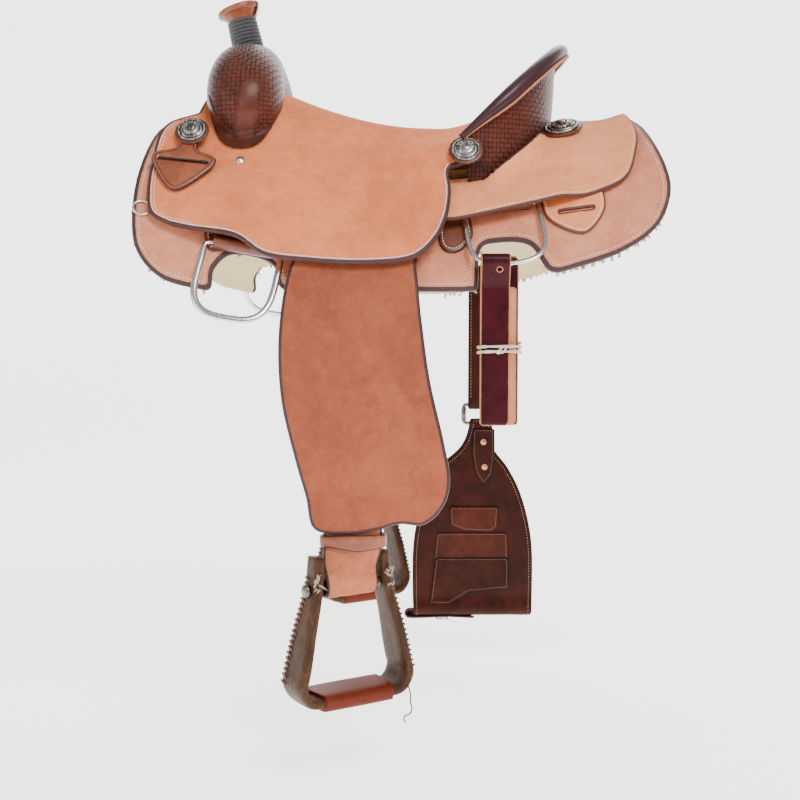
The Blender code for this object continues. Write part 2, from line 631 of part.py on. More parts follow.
def make_fork(cutters):
    """The fork, its leather cover and the horn."""
    steps = (-0.97, -0.86, -0.66, -0.38, 0.0, 0.38, 0.66, 0.86, 0.97)
    arch = [(-GULLET_HALF, -0.2)]
    for i in range(9):
        a = math.pi * (1 - i / 8)
        arch.append((GULLET_HALF * math.cos(a), GULLET_TOP - GULLET_HALF + GULLET_HALF * math.sin(a)))
    arch.append((GULLET_HALF, -0.2))
    gullet = prism("gullet", arch, -0.45, SWELL_X + 0.1, "X")
    core = loft("fork_core", [swell_ring(t, SWELL_COVER + FIT) for t in steps], (0.5, 0.4, 0.3))
    cut(core, cutters["under_seat_round_fork"])
    cut(core, cutters["under_bars"])
    cut(core, gullet)
    cover = loft("swell_cover", [swell_ring(t, 0.0) for t in steps], DARK, roughness=0.35)
    cut(cover, loft("swell_inside", [swell_ring(t, SWELL_COVER) for t in steps]))
    cut(cover, cutters["under_seat"])
    cut(cover, gullet)
    place = horn_place()
    flare = NECK_RADIUS + 0.010
    foot, top = -0.030, NECK_TOP
    post = [
        (0, foot), (NECK_RADIUS, foot), (NECK_RADIUS, -0.006), (flare, -0.004), (flare, 0.001),
        (NECK_RADIUS + 0.001, 0.0045), (NECK_RADIUS, 0.006), (NECK_RADIUS, top - 0.004),
        (0.021, top), (0.021, top + 0.006), (0, top + 0.006),
    ]
    lathe("horn_post", post, place, RUSSET)
    hole = [(0, foot - GAP)]
    hole += [(NECK_RADIUS + GAP * 2, foot - GAP), (NECK_RADIUS + GAP * 2, -0.0065)]
    hole += [(flare + GAP * 2, -0.0065), (flare + GAP * 2, 0.08), (0, 0.08)]
    horn_hole = lathe("horn_hole", hole, place)
    cut(core, horn_hole)
    cut(cover, horn_hole)
    tilt = place @ Matrix.Translation((0, 0, top)) @ Matrix.Rotation(-CAP_TILT, 4, "Y")
    inner = 0.0245
    cap = [
        (inner, 0.0), (CAP_RADIUS - 0.004, 0.003), (CAP_RADIUS, 0.007),
        (CAP_RADIUS, CAP_THICK - 0.004), (CAP_RADIUS - 0.003, CAP_THICK), (0, CAP_THICK),
        (0, 0.0090), (inner, 0.0090),
    ]
    lathe("horn_cap_cover", [(0, 0.0090)] + cap[-1:] + cap[:6], tilt, RUSSET, roughness=0.3)
    points = wrap_points()
    tube("horn_wrap", points, WRAP_CORD, BLACK, roughness=0.7)
    print(f"horn wrap: least gap {1000 * least_gap(points, WRAP_CORD, WRAP_POINTS):.2f} mm")


def cantle_wall(name, grow, low, high, colour=None, **look):
    """The cantle's plan as an upright solid that widens upwards, cut by its rim plane."""
    rings = []
    for z in (low, high):
        lean = CANTLE_LEAN * (RIM_Z + RIM_RISE - z) / RIM_RISE
        shrink = (RIM_LENGTH + grow - lean) / (RIM_LENGTH + grow)
        rings.append([(RIM_X + (x - RIM_X) * shrink, y, z) for x, y in half_ellipse(grow)])
    return loft(name, rings, colour, **look)


def make_cantle(cutters):
    """The cantle's core, the cover of its back and the roll along its rim."""
    drop = ROLL_THICK / 2
    rise, run = RIM_RISE / RIM_LENGTH, 0.4
    over = [
        (RIM_X - run, RIM_Z - drop / math.cos(math.atan(rise)) - run * rise),
        (RIM_X + run, RIM_Z - drop / math.cos(math.atan(rise)) + run * rise),
        (RIM_X + run, 0.9), (RIM_X - run, 0.9),
    ]
    over_rim = prism("over_rim", over, -0.4, 0.4)
    front = GROUND_SEAT_REAR + GAP
    behind = [(front, -0.4), (0.5, -0.4), (0.5, 0.4), (front, 0.4)]
    core = cantle_wall("cantle_core", -0.0060, -0.06, 0.22, (0.5, 0.4, 0.3))
    cut(core, prism("cantle_front", behind, -0.4, 0.4, "Z"), "INTERSECT")
    for cutter in (over_rim, cutters["under_bars"], cutters["over_seat"]):
        cut(core, cutter)
    back = cantle_wall("cantle_back_cover", -0.0015, -0.06, 0.22, DARK, roughness=0.35)
    cut(back, cantle_wall("cantle_inside", -0.0057, -0.07, 0.23))
    back_from = [(front + 0.013, -0.4), (0.5, -0.4), (0.5, 0.4), (front + 0.013, 0.4)]
    cut(back, prism("back_front", back_from, -0.4, 0.4, "Z"), "INTERSECT")
    for cutter in (over_rim, cutters["under_bars"], cutters["over_seat"]):
        cut(back, cutter)
    rings = []
    normal = Vector((-RIM_RISE, 0, RIM_LENGTH)).normalized()
    for i in range(17):
        a = math.pi * (i / 16 - 0.5) * 0.985
        centre = Vector((
            RIM_X + RIM_LENGTH * math.cos(a), RIM_HALF * math.sin(a), RIM_Z + RIM_RISE * math.cos(a)
        ))
        tangent = Vector((
            -RIM_LENGTH * math.sin(a), RIM_HALF * math.cos(a), -RIM_RISE * math.sin(a)
        )).normalized()
        outward = tangent.cross(normal).normalized()
        size = 0.45 + 0.55 * smooth((math.pi / 2 - abs(a)) / 0.5)
        rings.append([
            centre + outward * (ROLL_WIDE * size * (0.5 * math.cos(b) - 0.12))
            + normal * (ROLL_THICK / 2 * size * math.sin(b))
            for b in (math.tau * k / 10 for k in range(10))
        ])
    roll = loft("cantle_roll", rings, RUSSET, roughness=0.3)
    cut(roll, cutters["under_seat"])


def on_dee(x, z, side):
    """The frame of a dee whose top bar lies here."""
    return frame_at(x, z, side, DEE_DEPTH)


def small_dee_place(side):
    """The frame of a breast collar dee, on the edge that it is held by."""
    return frame_at(SMALL_DEE_X, SMALL_DEE_Z, side, SKIRT_OUT + GAP + (SMALL_DEE_BAR + FIT) / 2)


def leather_tube(name, side, x, z, outline, arcs, stations):
    """A rigging leather: a plate on the skirt, rolled round the top bar of its dee."""
    plate = layer(name, side, TRIM_IN, TRIM_OUT, arcs, stations, colour=DARK, roughness=0.4)
    cut(plate, prism(f"{name}_side", rounded(outline), -0.5, 0.5), "INTERSECT")
    place = on_dee(x, z, side) @ Matrix.Rotation(math.pi / 2, 4, "Y")
    reach = DEE_TUBE_LONG / 2
    wall = DEE_BORE + DEE_TUBE_WALL
    roll = lathe(f"{name}_roll", [(0, -reach), (wall, -reach), (wall, reach), (0, reach)], place)
    cut(plate, roll, "UNION")
    bore = [(0, -0.1), (DEE_BORE, -0.1), (DEE_BORE, 0.1), (0, 0.1)]
    cut(plate, lathe(f"{name}_bore", bore, place))
    return plate


def dee_path():
    """The dee's centre line: a straight top bar, and a round below it."""
    half, corner = DEE_WIDE / 2 - DEE_BAR / 2, 0.008
    deep = DEE_TALL - DEE_BAR / 2
    straight = deep * 0.42
    path = [(-half + corner, 0, 0), (half - corner, 0, 0), (half, -corner, 0), (half, -straight, 0)]
    for i in range(1, 8):
        a = math.pi * i / 8
        c, drop = math.cos(a), (deep - straight) * math.sin(a) ** DEE_SQUARE
        path.append((half * math.copysign(abs(c) ** DEE_SQUARE, c), -straight - drop, 0))
    path += [(-half, -straight, 0), (-half, -corner, 0)]
    return path


def make_dee(name, side, x, z):
    """A rigging dee, its top bar on the joint's axis, its round down the slope."""
    place = on_dee(x, z, side)
    return rod(name, dee_path(), DEE_BAR, DEE_BAR * 0.75, place, (0.6, 0.6, 0.6),
               closed=True, roughness=0.25, metallic=1.0)


def dee_foot(side, low, high):
    """The run of a rear dee's bar that a strap hangs on, as (y, z) pairs, and its highest point."""
    place = on_dee(REAR_DEE_X, REAR_DEE_Z, side)
    points = [place @ Vector(p) for p in dee_path()[3:]]
    run = [a.lerp(b, k / 8) for a, b in zip(points, points[1:]) for k in range(9)]
    run = [(p.y, p.z) for p in run if low - DEE_BAR / 2 < p.x < high + DEE_BAR / 2]
    return run, max(run, key=lambda p: p[1])


def hull(points):
    """The points round the outside, in order."""
    def half(ordered):
        kept = []
        for p in ordered:
            while len(kept) > 1 and (
                (kept[-1][0] - kept[-2][0]) * (p[1] - kept[-2][1])
                - (kept[-1][1] - kept[-2][1]) * (p[0] - kept[-2][0])
            ) <= 0:
                kept.pop()
            kept.append(p)
        return kept[:-1]
    ordered = sorted(points)
    return half(ordered) + half(ordered[::-1])


def eye(run, axis, radius):
    """The outline that clears the bar's run through the strap's whole swing about the axis."""
    spots = []
    for swing in (-STRAP_SWING, 0.0, STRAP_SWING):
        c, s = math.cos(swing), math.sin(swing)
        for y, z in run:
            u, v = y - axis[0], z - axis[1]
            centre = (axis[0] + c * u - s * v, axis[1] + s * u + c * v)
            spots += [
                (centre[0] + radius * math.cos(math.tau * (k + 0.5) / 12),
                 centre[1] + radius * math.sin(math.tau * (k + 0.5) / 12))
                for k in range(12)
            ]
    kept = [spots[0]]
    for spot in hull(spots):
        if math.dist(spot, kept[-1]) > EYE_STEP:
            kept.append(spot)
    return kept[1:]


def make_rigging():
    """The rigging leathers and dees, and the small dees for a breast collar."""
    for word, side in SIDES:
        leather_tube(f"{word}_front_rigging_leather", side, FRONT_DEE_X, FRONT_DEE_Z,
                     FRONT_RIGGING_OUTLINE, ARCS[4:9], STATIONS[2:6])
        make_dee(f"{word}_front_dee", side, FRONT_DEE_X, FRONT_DEE_Z)
        leather_tube(f"{word}_rear_rigging_leather", side, REAR_DEE_X, REAR_DEE_Z,
                     REAR_RIGGING_OUTLINE, ARCS[4:9], STATIONS[7:12])
        make_dee(f"{word}_rear_dee", side, REAR_DEE_X, REAR_DEE_Z)
        place = small_dee_place(side)
        ring = [
            (
                -side * SMALL_DEE_RADIUS * (math.cos(math.tau * k / 14) - 1),
                SMALL_DEE_RADIUS * math.sin(math.tau * k / 14), 0,
            )
            for k in range(14)
        ]
        rod(f"{word}_breast_dee", ring, SMALL_DEE_BAR, SMALL_DEE_BAR, place, (0.5, 0.5, 0.5),
            closed=True, sides=6, roughness=0.3, metallic=1.0)


def leather_pivot(side):
    """Where a stirrup leather swings, just below the tree bar: its round end clears the bar."""
    top = on_side(LEATHER_X, side * (ARCS[4] + FIT / 2), LEATHER_IN)
    height = top.z - LEATHER_WIDE / 2
    arc = arc_at(LEATHER_X, height, (LEATHER_IN + LEATHER_OUT) / 2)
    return on_side(LEATHER_X, side * arc, (LEATHER_IN + LEATHER_OUT) / 2)


def make_leathers():
    """The stirrup leathers, fenders and hobble straps."""
    half = LEATHER_WIDE / 2
    for word, side in SIDES:
        pivot = leather_pivot(side)
        top = [
            (LEATHER_X + half * math.cos(math.pi * k / 12), pivot.z + half * math.sin(math.pi * k / 12))
            for k in range(13)
        ]
        top += [(LEATHER_X - half, LIFT_Z + GAP), (LEATHER_X + half, LIFT_Z + GAP)]
        strap = layer(
            f"{word}_leather_top", side, LEATHER_IN, LEATHER_OUT, ARCS[3:9], STATIONS[4:9],
            colour=FENDER_TAN,
        )
        cut(strap, prism(f"{word}_top_side", top, -0.6, 0.6), "INTERSECT")
        fender = layer(
            f"{word}_fender", side, FENDER_IN, FENDER_OUT, HANG_ARCS, STATIONS[3:10],
            colour=FENDER_TAN,
        )
        outline = rounded(FENDER_OUTLINE[:-2]) + [Vector((-0.02, LIFT_Z)), Vector((-0.08, LIFT_Z))]
        cut(fender, prism(f"{word}_fender_side", outline, -0.6, 0.6), "INTERSECT")
        make_low_leather(word, side)


def strap_ring(side, s, yaw, wide, thick, depth, x):
    """A section of a hanging strap, turned by a yaw."""
    centre = on_side(x, side * s, depth)
    slope = float(np.interp(s, ARC, SLOPE))
    across = Vector((math.cos(yaw), math.sin(yaw), 0))
    down = Vector((0, side * math.cos(slope), -math.sin(slope)))
    out = across.cross(down).normalized()
    return [
        centre + across * (wide / 2 * a) + out * (thick / 2 * b)
        for a, b in ((-1, -1), (1, -1), (1, 1), (-1, 1))
    ]


def stirrup_place(side):
    """The stirrup's own frame on its bolt: X along the bolt, Z up."""
    depth = (LEATHER_IN + LEATHER_OUT) / 2
    plumb = on_side(STIRRUP_X, side * (SIDE_ARC + DROP_ARC + 0.05), depth)
    turn = Matrix.Rotation(STIRRUP_YAW, 4, "Z")
    return Matrix.Translation((STIRRUP_X, plumb.y, STIRRUP_Z)) @ turn


def make_low_leather(word, side):
    """The stirrup leather below the fender's top, with its loop round the bolt."""
    depth, thick = (LEATHER_IN + LEATHER_OUT) / 2, LEATHER_OUT - LEATHER_IN
    strap = layer(
        f"{word}_stirrup_leather", side, LEATHER_IN, LEATHER_OUT, HANG_ARCS, STATIONS[4:9],
        colour=FENDER_TAN,
    )
    left, right = LEATHER_X - LEATHER_WIDE / 2, LEATHER_X + LEATHER_WIDE / 2
    plan = [(left, TWIST_Z), (right, TWIST_Z), (right, LIFT_Z - GAP), (left, LIFT_Z - GAP)]
    cut(strap, prism(f"{word}_strap_side", plan, -0.6, 0.6), "INTERSECT")
    start_arc = arc_at(LEATHER_X, TWIST_Z + 0.006, depth)
    end_arc = arc_at(LEATHER_X, STIRRUP_Z + 0.004, depth)
    rings = []
    for k in range(7):
        s = start_arc + (end_arc - start_arc) * k / 6
        turn = STIRRUP_YAW * smooth((k - 0.6) / 4.6)
        x = LEATHER_X + (STIRRUP_X - LEATHER_X) * k / 6
        rings.append(strap_ring(side, s, turn, LEATHER_WIDE - GAP, thick - GAP, depth, x))
    cut(strap, loft(f"{word}_twist", rings), "UNION")
    place = stirrup_place(side) @ Matrix.Rotation(math.pi / 2, 4, "Y")
    half, bore = LEATHER_WIDE / 2 - 0.0005, BOLT_RADIUS + FIT
    loop = [(0, -half), (bore + LOOP_WALL, -half), (bore + LOOP_WALL, half), (0, half)]
    cut(strap, lathe(f"{word}_loop", loop, place), "UNION")
    cut(strap, lathe(f"{word}_loop_bore", [(0, -0.1), (bore, -0.1), (bore, 0.1), (0, 0.1)], place))
    make_hobble(word, side, depth, thick)


def make_hobble(word, side, depth, thick):
    """The hobble strap: a band round the stirrup leather, just under the fender."""
    high, wide, wall = -0.4795, LEATHER_WIDE + 0.011, 0.0035
    y = on_side(LEATHER_X, side * (SIDE_ARC + DROP_ARC + 0.05), depth).y
    front = [
        (LEATHER_X - wide / 2, high), (LEATHER_X + wide / 2, high),
        (LEATHER_X + wide / 2, high - 0.015), (LEATHER_X + 0.010, high - 0.021),
        (LEATHER_X - wide / 2, high - 0.016),
    ]
    inner = thick / 2 + 0.0045
    outer = inner + wall
    band = prism(f"{word}_hobble_strap", front, y - outer, y + outer, colour=RUSSET, roughness=0.35)
    slit = LEATHER_WIDE / 2 + 2 * FIT
    hole = [
        (LEATHER_X - slit, y - inner), (LEATHER_X + slit, y - inner),
        (LEATHER_X + slit, y + inner), (LEATHER_X - slit, y + inner),
    ]
    cut(band, prism(f"{word}_hobble_hole", hole, high - 0.05, high + 0.05, "Z"))


def stirrup_path():
    """Half of the stirrup's centre line, from the top of an arm to the middle of the tread."""
    neck, wide = STIRRUP_NECK / 2 + ARM_THICK / 2, STIRRUP_WIDE / 2 - ARM_THICK / 2
    low = -STIRRUP_DROP + ARM_THICK / 2
    arm = [(neck - 0.004, STIRRUP_RISE), (neck, 0.0)]
    arm += [(neck + (wide - neck) * 0.45, -0.050), (wide - 0.004, -0.100), (wide, low + 0.022)]
    corner = 0.020
    arm += [(wide - corner * 0.35, low + corner * 0.32), (wide - corner, low), (0.030, low)]
    return arm


def make_stirrup(word, side):
    """A bell stirrup, its bolt and its tread leather."""
    place = stirrup_place(side)
    half = stirrup_path()
    path = half + [(-x, z) for x, z in reversed(half)]
    rings = []
    for i, (x, z) in enumerate(path):
        ahead, behind = path[min(i + 1, len(path) - 1)], path[max(i - 1, 0)]
        along = Vector((ahead[0] - behind[0], ahead[1] - behind[1])).normalized()
        normal = Vector((-along.y, along.x)) * (ARM_THICK / 2)
        deep = ARM_DEEP + (TREAD_DEEP - ARM_DEEP) * smooth((STIRRUP_RISE - z) / 0.150)
        corner = 0.72
        rings.append([
            place @ Vector((x + normal.x * a, deep / 2 * b, z + normal.y * a))
            for a, b in (
                (-corner, -1), (corner, -1), (1, -corner), (1, corner),
                (corner, 1), (-corner, 1), (-1, corner), (-1, -corner),
            )
        ])
    body = loft(f"{word}_stirrup", rings, (0.21, 0.14, 0.07), roughness=0.5)
    reach = STIRRUP_NECK / 2 + ARM_THICK + 0.003
    across = place @ Matrix.Rotation(math.pi / 2, 4, "Y")
    hole = BOLT_RADIUS + GAP
    cut(body, lathe(f"{word}_bolt_hole", [(0, -0.2), (hole, -0.2), (hole, 0.2), (0, 0.2)], across))
    head, neck = BOLT_RADIUS * 1.6, reach + 0.0005
    bolt = [
        (0, -neck - 0.005), (head, -neck - 0.004), (head, -neck), (BOLT_RADIUS, -neck),
        (BOLT_RADIUS, neck), (head, neck), (head, neck + 0.004), (0, neck + 0.005),
    ]
    lathe(f"{word}_stirrup_bolt", bolt, across, (0.5, 0.5, 0.5), sides=12, metallic=1.0)
    low = -STIRRUP_DROP + ARM_THICK / 2
    long = STIRRUP_WIDE / 2 - ARM_THICK - 0.018
    sections = []
    for grow in (0.0, TREAD_WALL):
        up, deep = ARM_THICK / 2 + GAP * 2 + grow, TREAD_DEEP / 2 + GAP * 2 + grow
        sections.append([
            (-deep, low - up * 0.8), (-deep * 0.8, low - up), (deep * 0.8, low - up),
            (deep, low - up * 0.8), (deep, low + up * 0.8), (deep * 0.8, low + up),
            (-deep * 0.8, low + up), (-deep, low + up * 0.8),
        ])
    tread = prism(f"{word}_stirrup_tread", sections[1], -long, long, "X", RUSSET, place,
                  roughness=0.4)
    cut(tread, prism(f"{word}_tread_hole", sections[0], -0.2, 0.2, "X", place=place))


def make_latigo():
    """The latigo, folded over the near rear dee, and the band wound round it."""
    half = LATIGO_WIDE / 2
    run, axis = dee_foot(-1, LATIGO_X - half, LATIGO_X + half)
    y = axis[0]
    strap = eye_strap("latigo_strap", run, axis, LATIGO_BOTTOM, LATIGO_X, LATIGO_WIDE,
                      LATIGO_PLY, 2 * LATIGO_PLY, (0.09, 0.02, 0.03))
    punch = [(0, -0.4), (0.0032, -0.4), (0.0032, 0.4), (0, 0.4)]
    for k, z in enumerate((-0.190, -0.246, -0.302)):
        turn = Matrix.Translation((LATIGO_X - 0.001, 0, z)) @ Matrix.Rotation(math.pi / 2, 4, "X")
        cut(strap, lathe(f"latigo_hole_{k}", punch, turn, sides=8))
    points = []
    wide, thick = half + BAND_CORD / 2 + FIT, 2 * LATIGO_PLY + BAND_CORD / 2 + FIT
    for i in range(BAND_POINTS * BAND_TURNS + 1):
        a = math.tau * i / BAND_POINTS
        c, s = math.cos(a), math.sin(a)
        points.append(Vector((
            LATIGO_X + (wide + FIT) * math.copysign(abs(c) ** 0.35, c),
            y + (thick + FIT) * math.copysign(abs(s) ** 0.35, s),
            BAND_Z - BAND_PITCH * i / BAND_POINTS,
        )))
    start = points[0] + (points[0] - points[1]).normalized() * BAND_CORD
    end = points[-1] + (points[-1] - points[-2]).normalized() * BAND_CORD
    points = [start, *points, end]
    tube("latigo_band", points, BAND_CORD, (0.75, 0.66, 0.5), roughness=0.8)
    print(f"latigo band: least gap {1000 * least_gap(points, BAND_CORD, BAND_POINTS):.2f} mm")


def eye_strap(name, run, axis, bottom, x, wide, wall, half, colour):
    """A strap that hangs by an eye, and narrows below it to its own half thickness."""
    radius = DEE_BAR / 2 / math.cos(math.pi / 8) + GAP
    outer = eye(run, axis, radius + wall)
    low = min(z for _, z in outer) - 0.020
    outline = hull([*outer, (axis[0] - half, low), (axis[0] + half, low)])
    k = outline.index((axis[0] + half, low))
    outline[k:k] = [(axis[0] - half, bottom), (axis[0] + half, bottom)]
    strap = prism(name, outline, x - wide / 2, x + wide / 2, "X", colour, roughness=0.45)
    cut(strap, prism(f"{name}_bore", eye(run, axis, radius), x - 0.2, x + 0.2, "X"))
    return strap


def make_flank_cinch():
    """The billet on the off rear dee, the buckle, and the cinch folded in half."""
    shift, half = BILLET_X, BILLET_WIDE / 2
    run, axis = dee_foot(1, shift - half, shift + half)
    billet = eye_strap("flank_billet", run, axis, BILLET_BOTTOM, shift, BILLET_WIDE,
                       BILLET_THICK, BILLET_THICK, DARK)
    x, y, bar = CINCH_X, axis[0], BUCKLE_BAR
    high, low = BUCKLE_HIGH, BUCKLE_LOW
    frame_wide = BILLET_WIDE + 4 * bar + 2 * FIT
    corners = [
        (-frame_wide / 2 + bar, high), (frame_wide / 2 - bar, high), (frame_wide / 2, high - bar),
        (frame_wide / 2, low + bar), (frame_wide / 2 - bar, low), (-frame_wide / 2 + bar, low),
        (-frame_wide / 2, low + bar), (-frame_wide / 2, high - bar),
    ]
    rod("flank_buckle", [(cx + shift, y, z) for cx, z in corners], 2 * bar, 2 * bar, Matrix(),
        (0.12, 0.11, 0.1), closed=True, sides=6, up=(0, 1, 0), metallic=0.9, roughness=0.4)
    foot = bar + FIT + BILLET_THICK
    place = Matrix.Translation((shift, y, high)) @ Matrix.Rotation(math.pi / 2, 4, "Y")
    cut(billet, lathe("billet_foot", [(0, -half), (foot, -half), (foot, half), (0, half)], place),
        "UNION")
    bore = bar + FIT
    cut(billet, lathe("billet_bore", [(0, -0.2), (bore, -0.2), (bore, 0.2), (0, 0.2)], place))
    outer, slot = CINCH_FOLD / 2 + CINCH_PLY, CINCH_FOLD / 2
    ring = outer + 0.0045
    outline = []
    for k in range(11):
        a = math.pi * k / 10
        outline.append((y + foot * math.cos(a), low + foot * math.sin(a)))
    outline += [(y - outer, low - 0.016), (y - outer, CINCH_BOTTOM + 0.030)]
    for k in range(9):
        a = math.pi * (1 + k / 8)
        outline.append((y + ring * math.cos(a), CINCH_BOTTOM + ring + ring * math.sin(a)))
    outline += [(y + outer, CINCH_BOTTOM + 0.030), (y + outer, low - 0.016)]
    wide = CINCH_WIDE / 2 + 0.01
    cinch = prism("flank_cinch", outline, x - wide, x + wide, "X", DARK, roughness=0.4)
    bell = [Vector((x + px + (shift - x) * smooth(1 + pz / 0.1), low + 0.012 + pz))
            for px, pz in CINCH_OUTLINE]
    cut(cinch, prism("cinch_bell", rounded(bell), y - 0.1, y + 0.1), "INTERSECT")
    cut(cinch, prism("cinch_bore", [
        (y + bore * math.cos(math.tau * k / 14), low + bore * math.sin(math.tau * k / 14))
        for k in range(14)
    ], x - 0.2, x + 0.2, "X"))
    inner = ring - CINCH_PLY
    fold = [(y + slot, low - 0.060), (y - slot, low - 0.060), (y - slot, CINCH_BOTTOM + 0.034)]
    for k in range(9):
        a = math.pi * (1 + k / 8)
        fold.append((y + inner * math.cos(a), CINCH_BOTTOM + ring + inner * math.sin(a)))
    fold.append((y + slot, CINCH_BOTTOM + 0.034))
    cut(cinch, prism("cinch_fold", fold, x - 0.3, x + 0.3, "X"))
    make_connector(x, y, inner)


def make_connector(x, y, inner):
    """The connector strap: one end lies in the cinch's fold, the other comes back under it."""
    thick = CONNECTOR_THICK
    ring = inner + CINCH_PLY
    upper = CINCH_BOTTOM + ring
    lower = CINCH_BOTTOM - thick / 2 - FIT
    left, turn = x - CINCH_WIDE / 2 - 0.008, (upper - lower) / 2
    path = [(x - 0.015, upper), (left, upper)]
    for k in range(1, 6):
        a = math.pi * k / 6
        path.append((left - turn * math.sin(a), upper - turn * (1 - math.cos(a))))
    path += [(left, lower), (x + 0.005, lower)]
    wide = 2 * (inner - GAP) * 0.80
    rod("cinch_connector_strap", [(px, y, pz) for px, pz in path], thick, wide, Matrix(),
        DARK, sides=4, up=(0, 1, 0), roughness=0.5)


def concho(name, place, radius, stem):
    """A domed concho with the screw that holds it."""
    rise = CONCHO_RISE * radius / CONCHO_RADIUS
    shape = [(0, -stem), (CONCHO_STEM, -stem), (CONCHO_STEM, 0), (radius, 0), (radius, 0.0018)]
    shape += [(radius * 0.72, 0.0030), (radius * 0.55, rise * 0.85), (0, rise)]
    return lathe(name, shape, place, (0.35, 0.34, 0.32), metallic=1.0, roughness=0.35)


def make_trim():
    """Conchos and front keepers."""
    for word, side in SIDES:
        for name, seat, place, radius in (
            ("corner_concho", "seat_leather", seat_frame(*CORNER_CONCHO, side), CONCHO_RADIUS),
            ("rear_concho", f"{word}_rear_jockey",
             frame_at(*REAR_CONCHO, side, JOCKEY_IN + BAR), REAR_CONCHO_RADIUS),
        ):
            place = lie_on(seat, place, disc(radius)) @ Matrix.Translation((0, 0, ROSETTE_THICK))
            low = max(probe(seat, place, disc(CONCHO_STEM)))
            concho(f"{word}_{name}", place, radius, -low - GAP)
        make_keeper(word, side)


def seat_frame(x, z, side):
    """A placement on the seat leather: local Z points out of it, local Y up along it."""
    arcs = np.arange(0.05, 0.30, 0.002)
    heights = [seat_point(x, side * s, SEAT).z for s in arcs]
    s, step = side * float(np.interp(-z, -np.array(heights), arcs)), 0.015
    across = seat_point(x + step, s, SEAT) - seat_point(x - step, s, SEAT)
    up = seat_point(x, s - side * step, SEAT) - seat_point(x, s + side * step, SEAT)
    return frame_on(seat_point(x, s, SEAT), across, up, side)


def probe(name, place, spots):
    """How far a piece stands over a plane at each of these spots on the plane."""
    mesh = bpy.data.objects[name].data
    tree = BVHTree.FromPolygons(
        [v.co for v in mesh.vertices], [tuple(p.vertices) for p in mesh.polygons]
    )
    out, inverse = place.to_3x3() @ Vector((0, 0, 1)), place.inverted()
    hits = [tree.ray_cast(place @ Vector((*spot, 0.06)), -out)[0] for spot in spots]
    return [(inverse @ hit).z for hit in hits if hit is not None]


def lie_on(name, place, spots):
    """Lift a placement until its plane clears a piece at these spots."""
    return place @ Matrix.Translation((0, 0, max(probe(name, place, spots)) + GAP))


def disc(radius):
    """Spots over a disc: its middle and two rings."""
    return [(0.0, 0.0)] + [
        (r * math.cos(math.tau * k / 16), r * math.sin(math.tau * k / 16))
        for r in (radius, radius / 2) for k in range(16)
    ]


def keeper_place(side):
    """The front keeper's plane: a plate that turns about its concho."""
    spots = disc(0.030)
    for swing in (-KEEPER_SWING, 0.0, KEEPER_SWING):
        c, s = math.cos(swing), math.sin(swing)
        spots += [
            (c * u - s * (v - KEEPER_PIVOT), s * u + c * (v - KEEPER_PIVOT) + KEEPER_PIVOT)
            for u, v in rounded(KEEPER_OUTLINE)
        ]
    return lie_on("seat_leather", seat_frame(KEEPER_X, KEEPER_Z, side), spots)


def make_keeper(word, side):
    """The front keeper with the concho and screw that it turns on."""
    place = keeper_place(side)
    plate = prism(f"{word}_front_keeper", rounded(KEEPER_OUTLINE), 0, KEEPER_THICK, "Z", RUSSET,
                  place, roughness=0.3)
    slot = [(-0.034, -0.006), (0.034, -0.006), (0.034, -0.0025), (-0.034, -0.0025)]
    cut(plate, prism(f"{word}_front_slot", slot, -0.05, 0.05, "Z", place=place))
    pivot = place @ Matrix.Translation((0, KEEPER_PIVOT, 0))
    bore = CONCHO_STEM + GAP
    hole = [(0, -0.05), (bore, -0.05), (bore, 0.05), (0, 0.05)]
    cut(plate, lathe(f"{word}_keeper_bore", hole, pivot, sides=12))
    top = KEEPER_THICK + ROSETTE_THICK + 2 * GAP
    low = max(probe("seat_leather", pivot, disc(CONCHO_STEM)))
    concho(f"{word}_keeper_concho", pivot @ Matrix.Translation((0, 0, top)), CONCHO_RADIUS,
           top - low - GAP)


def set_origin(place, *names):
    """Put the origins of pieces that move together on their joint's axis."""
    point = Vector(place)
    for name in names:
        obj = bpy.data.objects[name]
        obj.data.transform(Matrix.Translation(-point))
        obj.location = point


def set_origins():
    """The moving pieces turn about their own origins."""
    for word, side in SIDES:
        set_origin(leather_pivot(side), f"{word}_leather_top")
        s = side * arc_at(LEATHER_X, LIFT_Z, FENDER_OUT)
        set_origin(on_side(LEATHER_X, s, FENDER_OUT), f"{word}_fender",
                   f"{word}_stirrup_leather", f"{word}_hobble_strap")
        set_origin(stirrup_place(side).translation, f"{word}_stirrup", f"{word}_stirrup_bolt",
                   f"{word}_stirrup_tread")
        set_origin(on_dee(FRONT_DEE_X, FRONT_DEE_Z, side).translation, f"{word}_front_dee")
        set_origin(on_dee(REAR_DEE_X, REAR_DEE_Z, side).translation, f"{word}_rear_dee")
        set_origin(small_dee_place(side).translation, f"{word}_breast_dee")
        set_origin(keeper_place(side) @ Vector((0, KEEPER_PIVOT, 0)), f"{word}_front_keeper")
    low, high = LATIGO_X - LATIGO_WIDE / 2, LATIGO_X + LATIGO_WIDE / 2
    set_origin((LATIGO_X, *dee_foot(-1, low, high)[1]), "latigo_strap", "latigo_band")
    axis = dee_foot(1, BILLET_X - BILLET_WIDE / 2, BILLET_X + BILLET_WIDE / 2)[1]
    set_origin((BILLET_X, *axis), "flank_billet")
    set_origin((BILLET_X, axis[0], BUCKLE_HIGH), "flank_buckle")
    set_origin((BILLET_X, axis[0], BUCKLE_LOW), "flank_cinch", "cinch_connector_strap")


def main():
    """Model the saddle."""
    for obj in list(bpy.data.objects):
        bpy.data.objects.remove(obj)
    cutters = make_cutters()
    make_layers(cutters)
    make_seat(cutters)
    make_fork(cutters)
    make_cantle(cutters)
    make_rigging()
    make_leathers()
    for word, side in SIDES:
        make_stirrup(word, side)
    make_latigo()
    make_flank_cinch()
    make_trim()
    set_origins()


main()
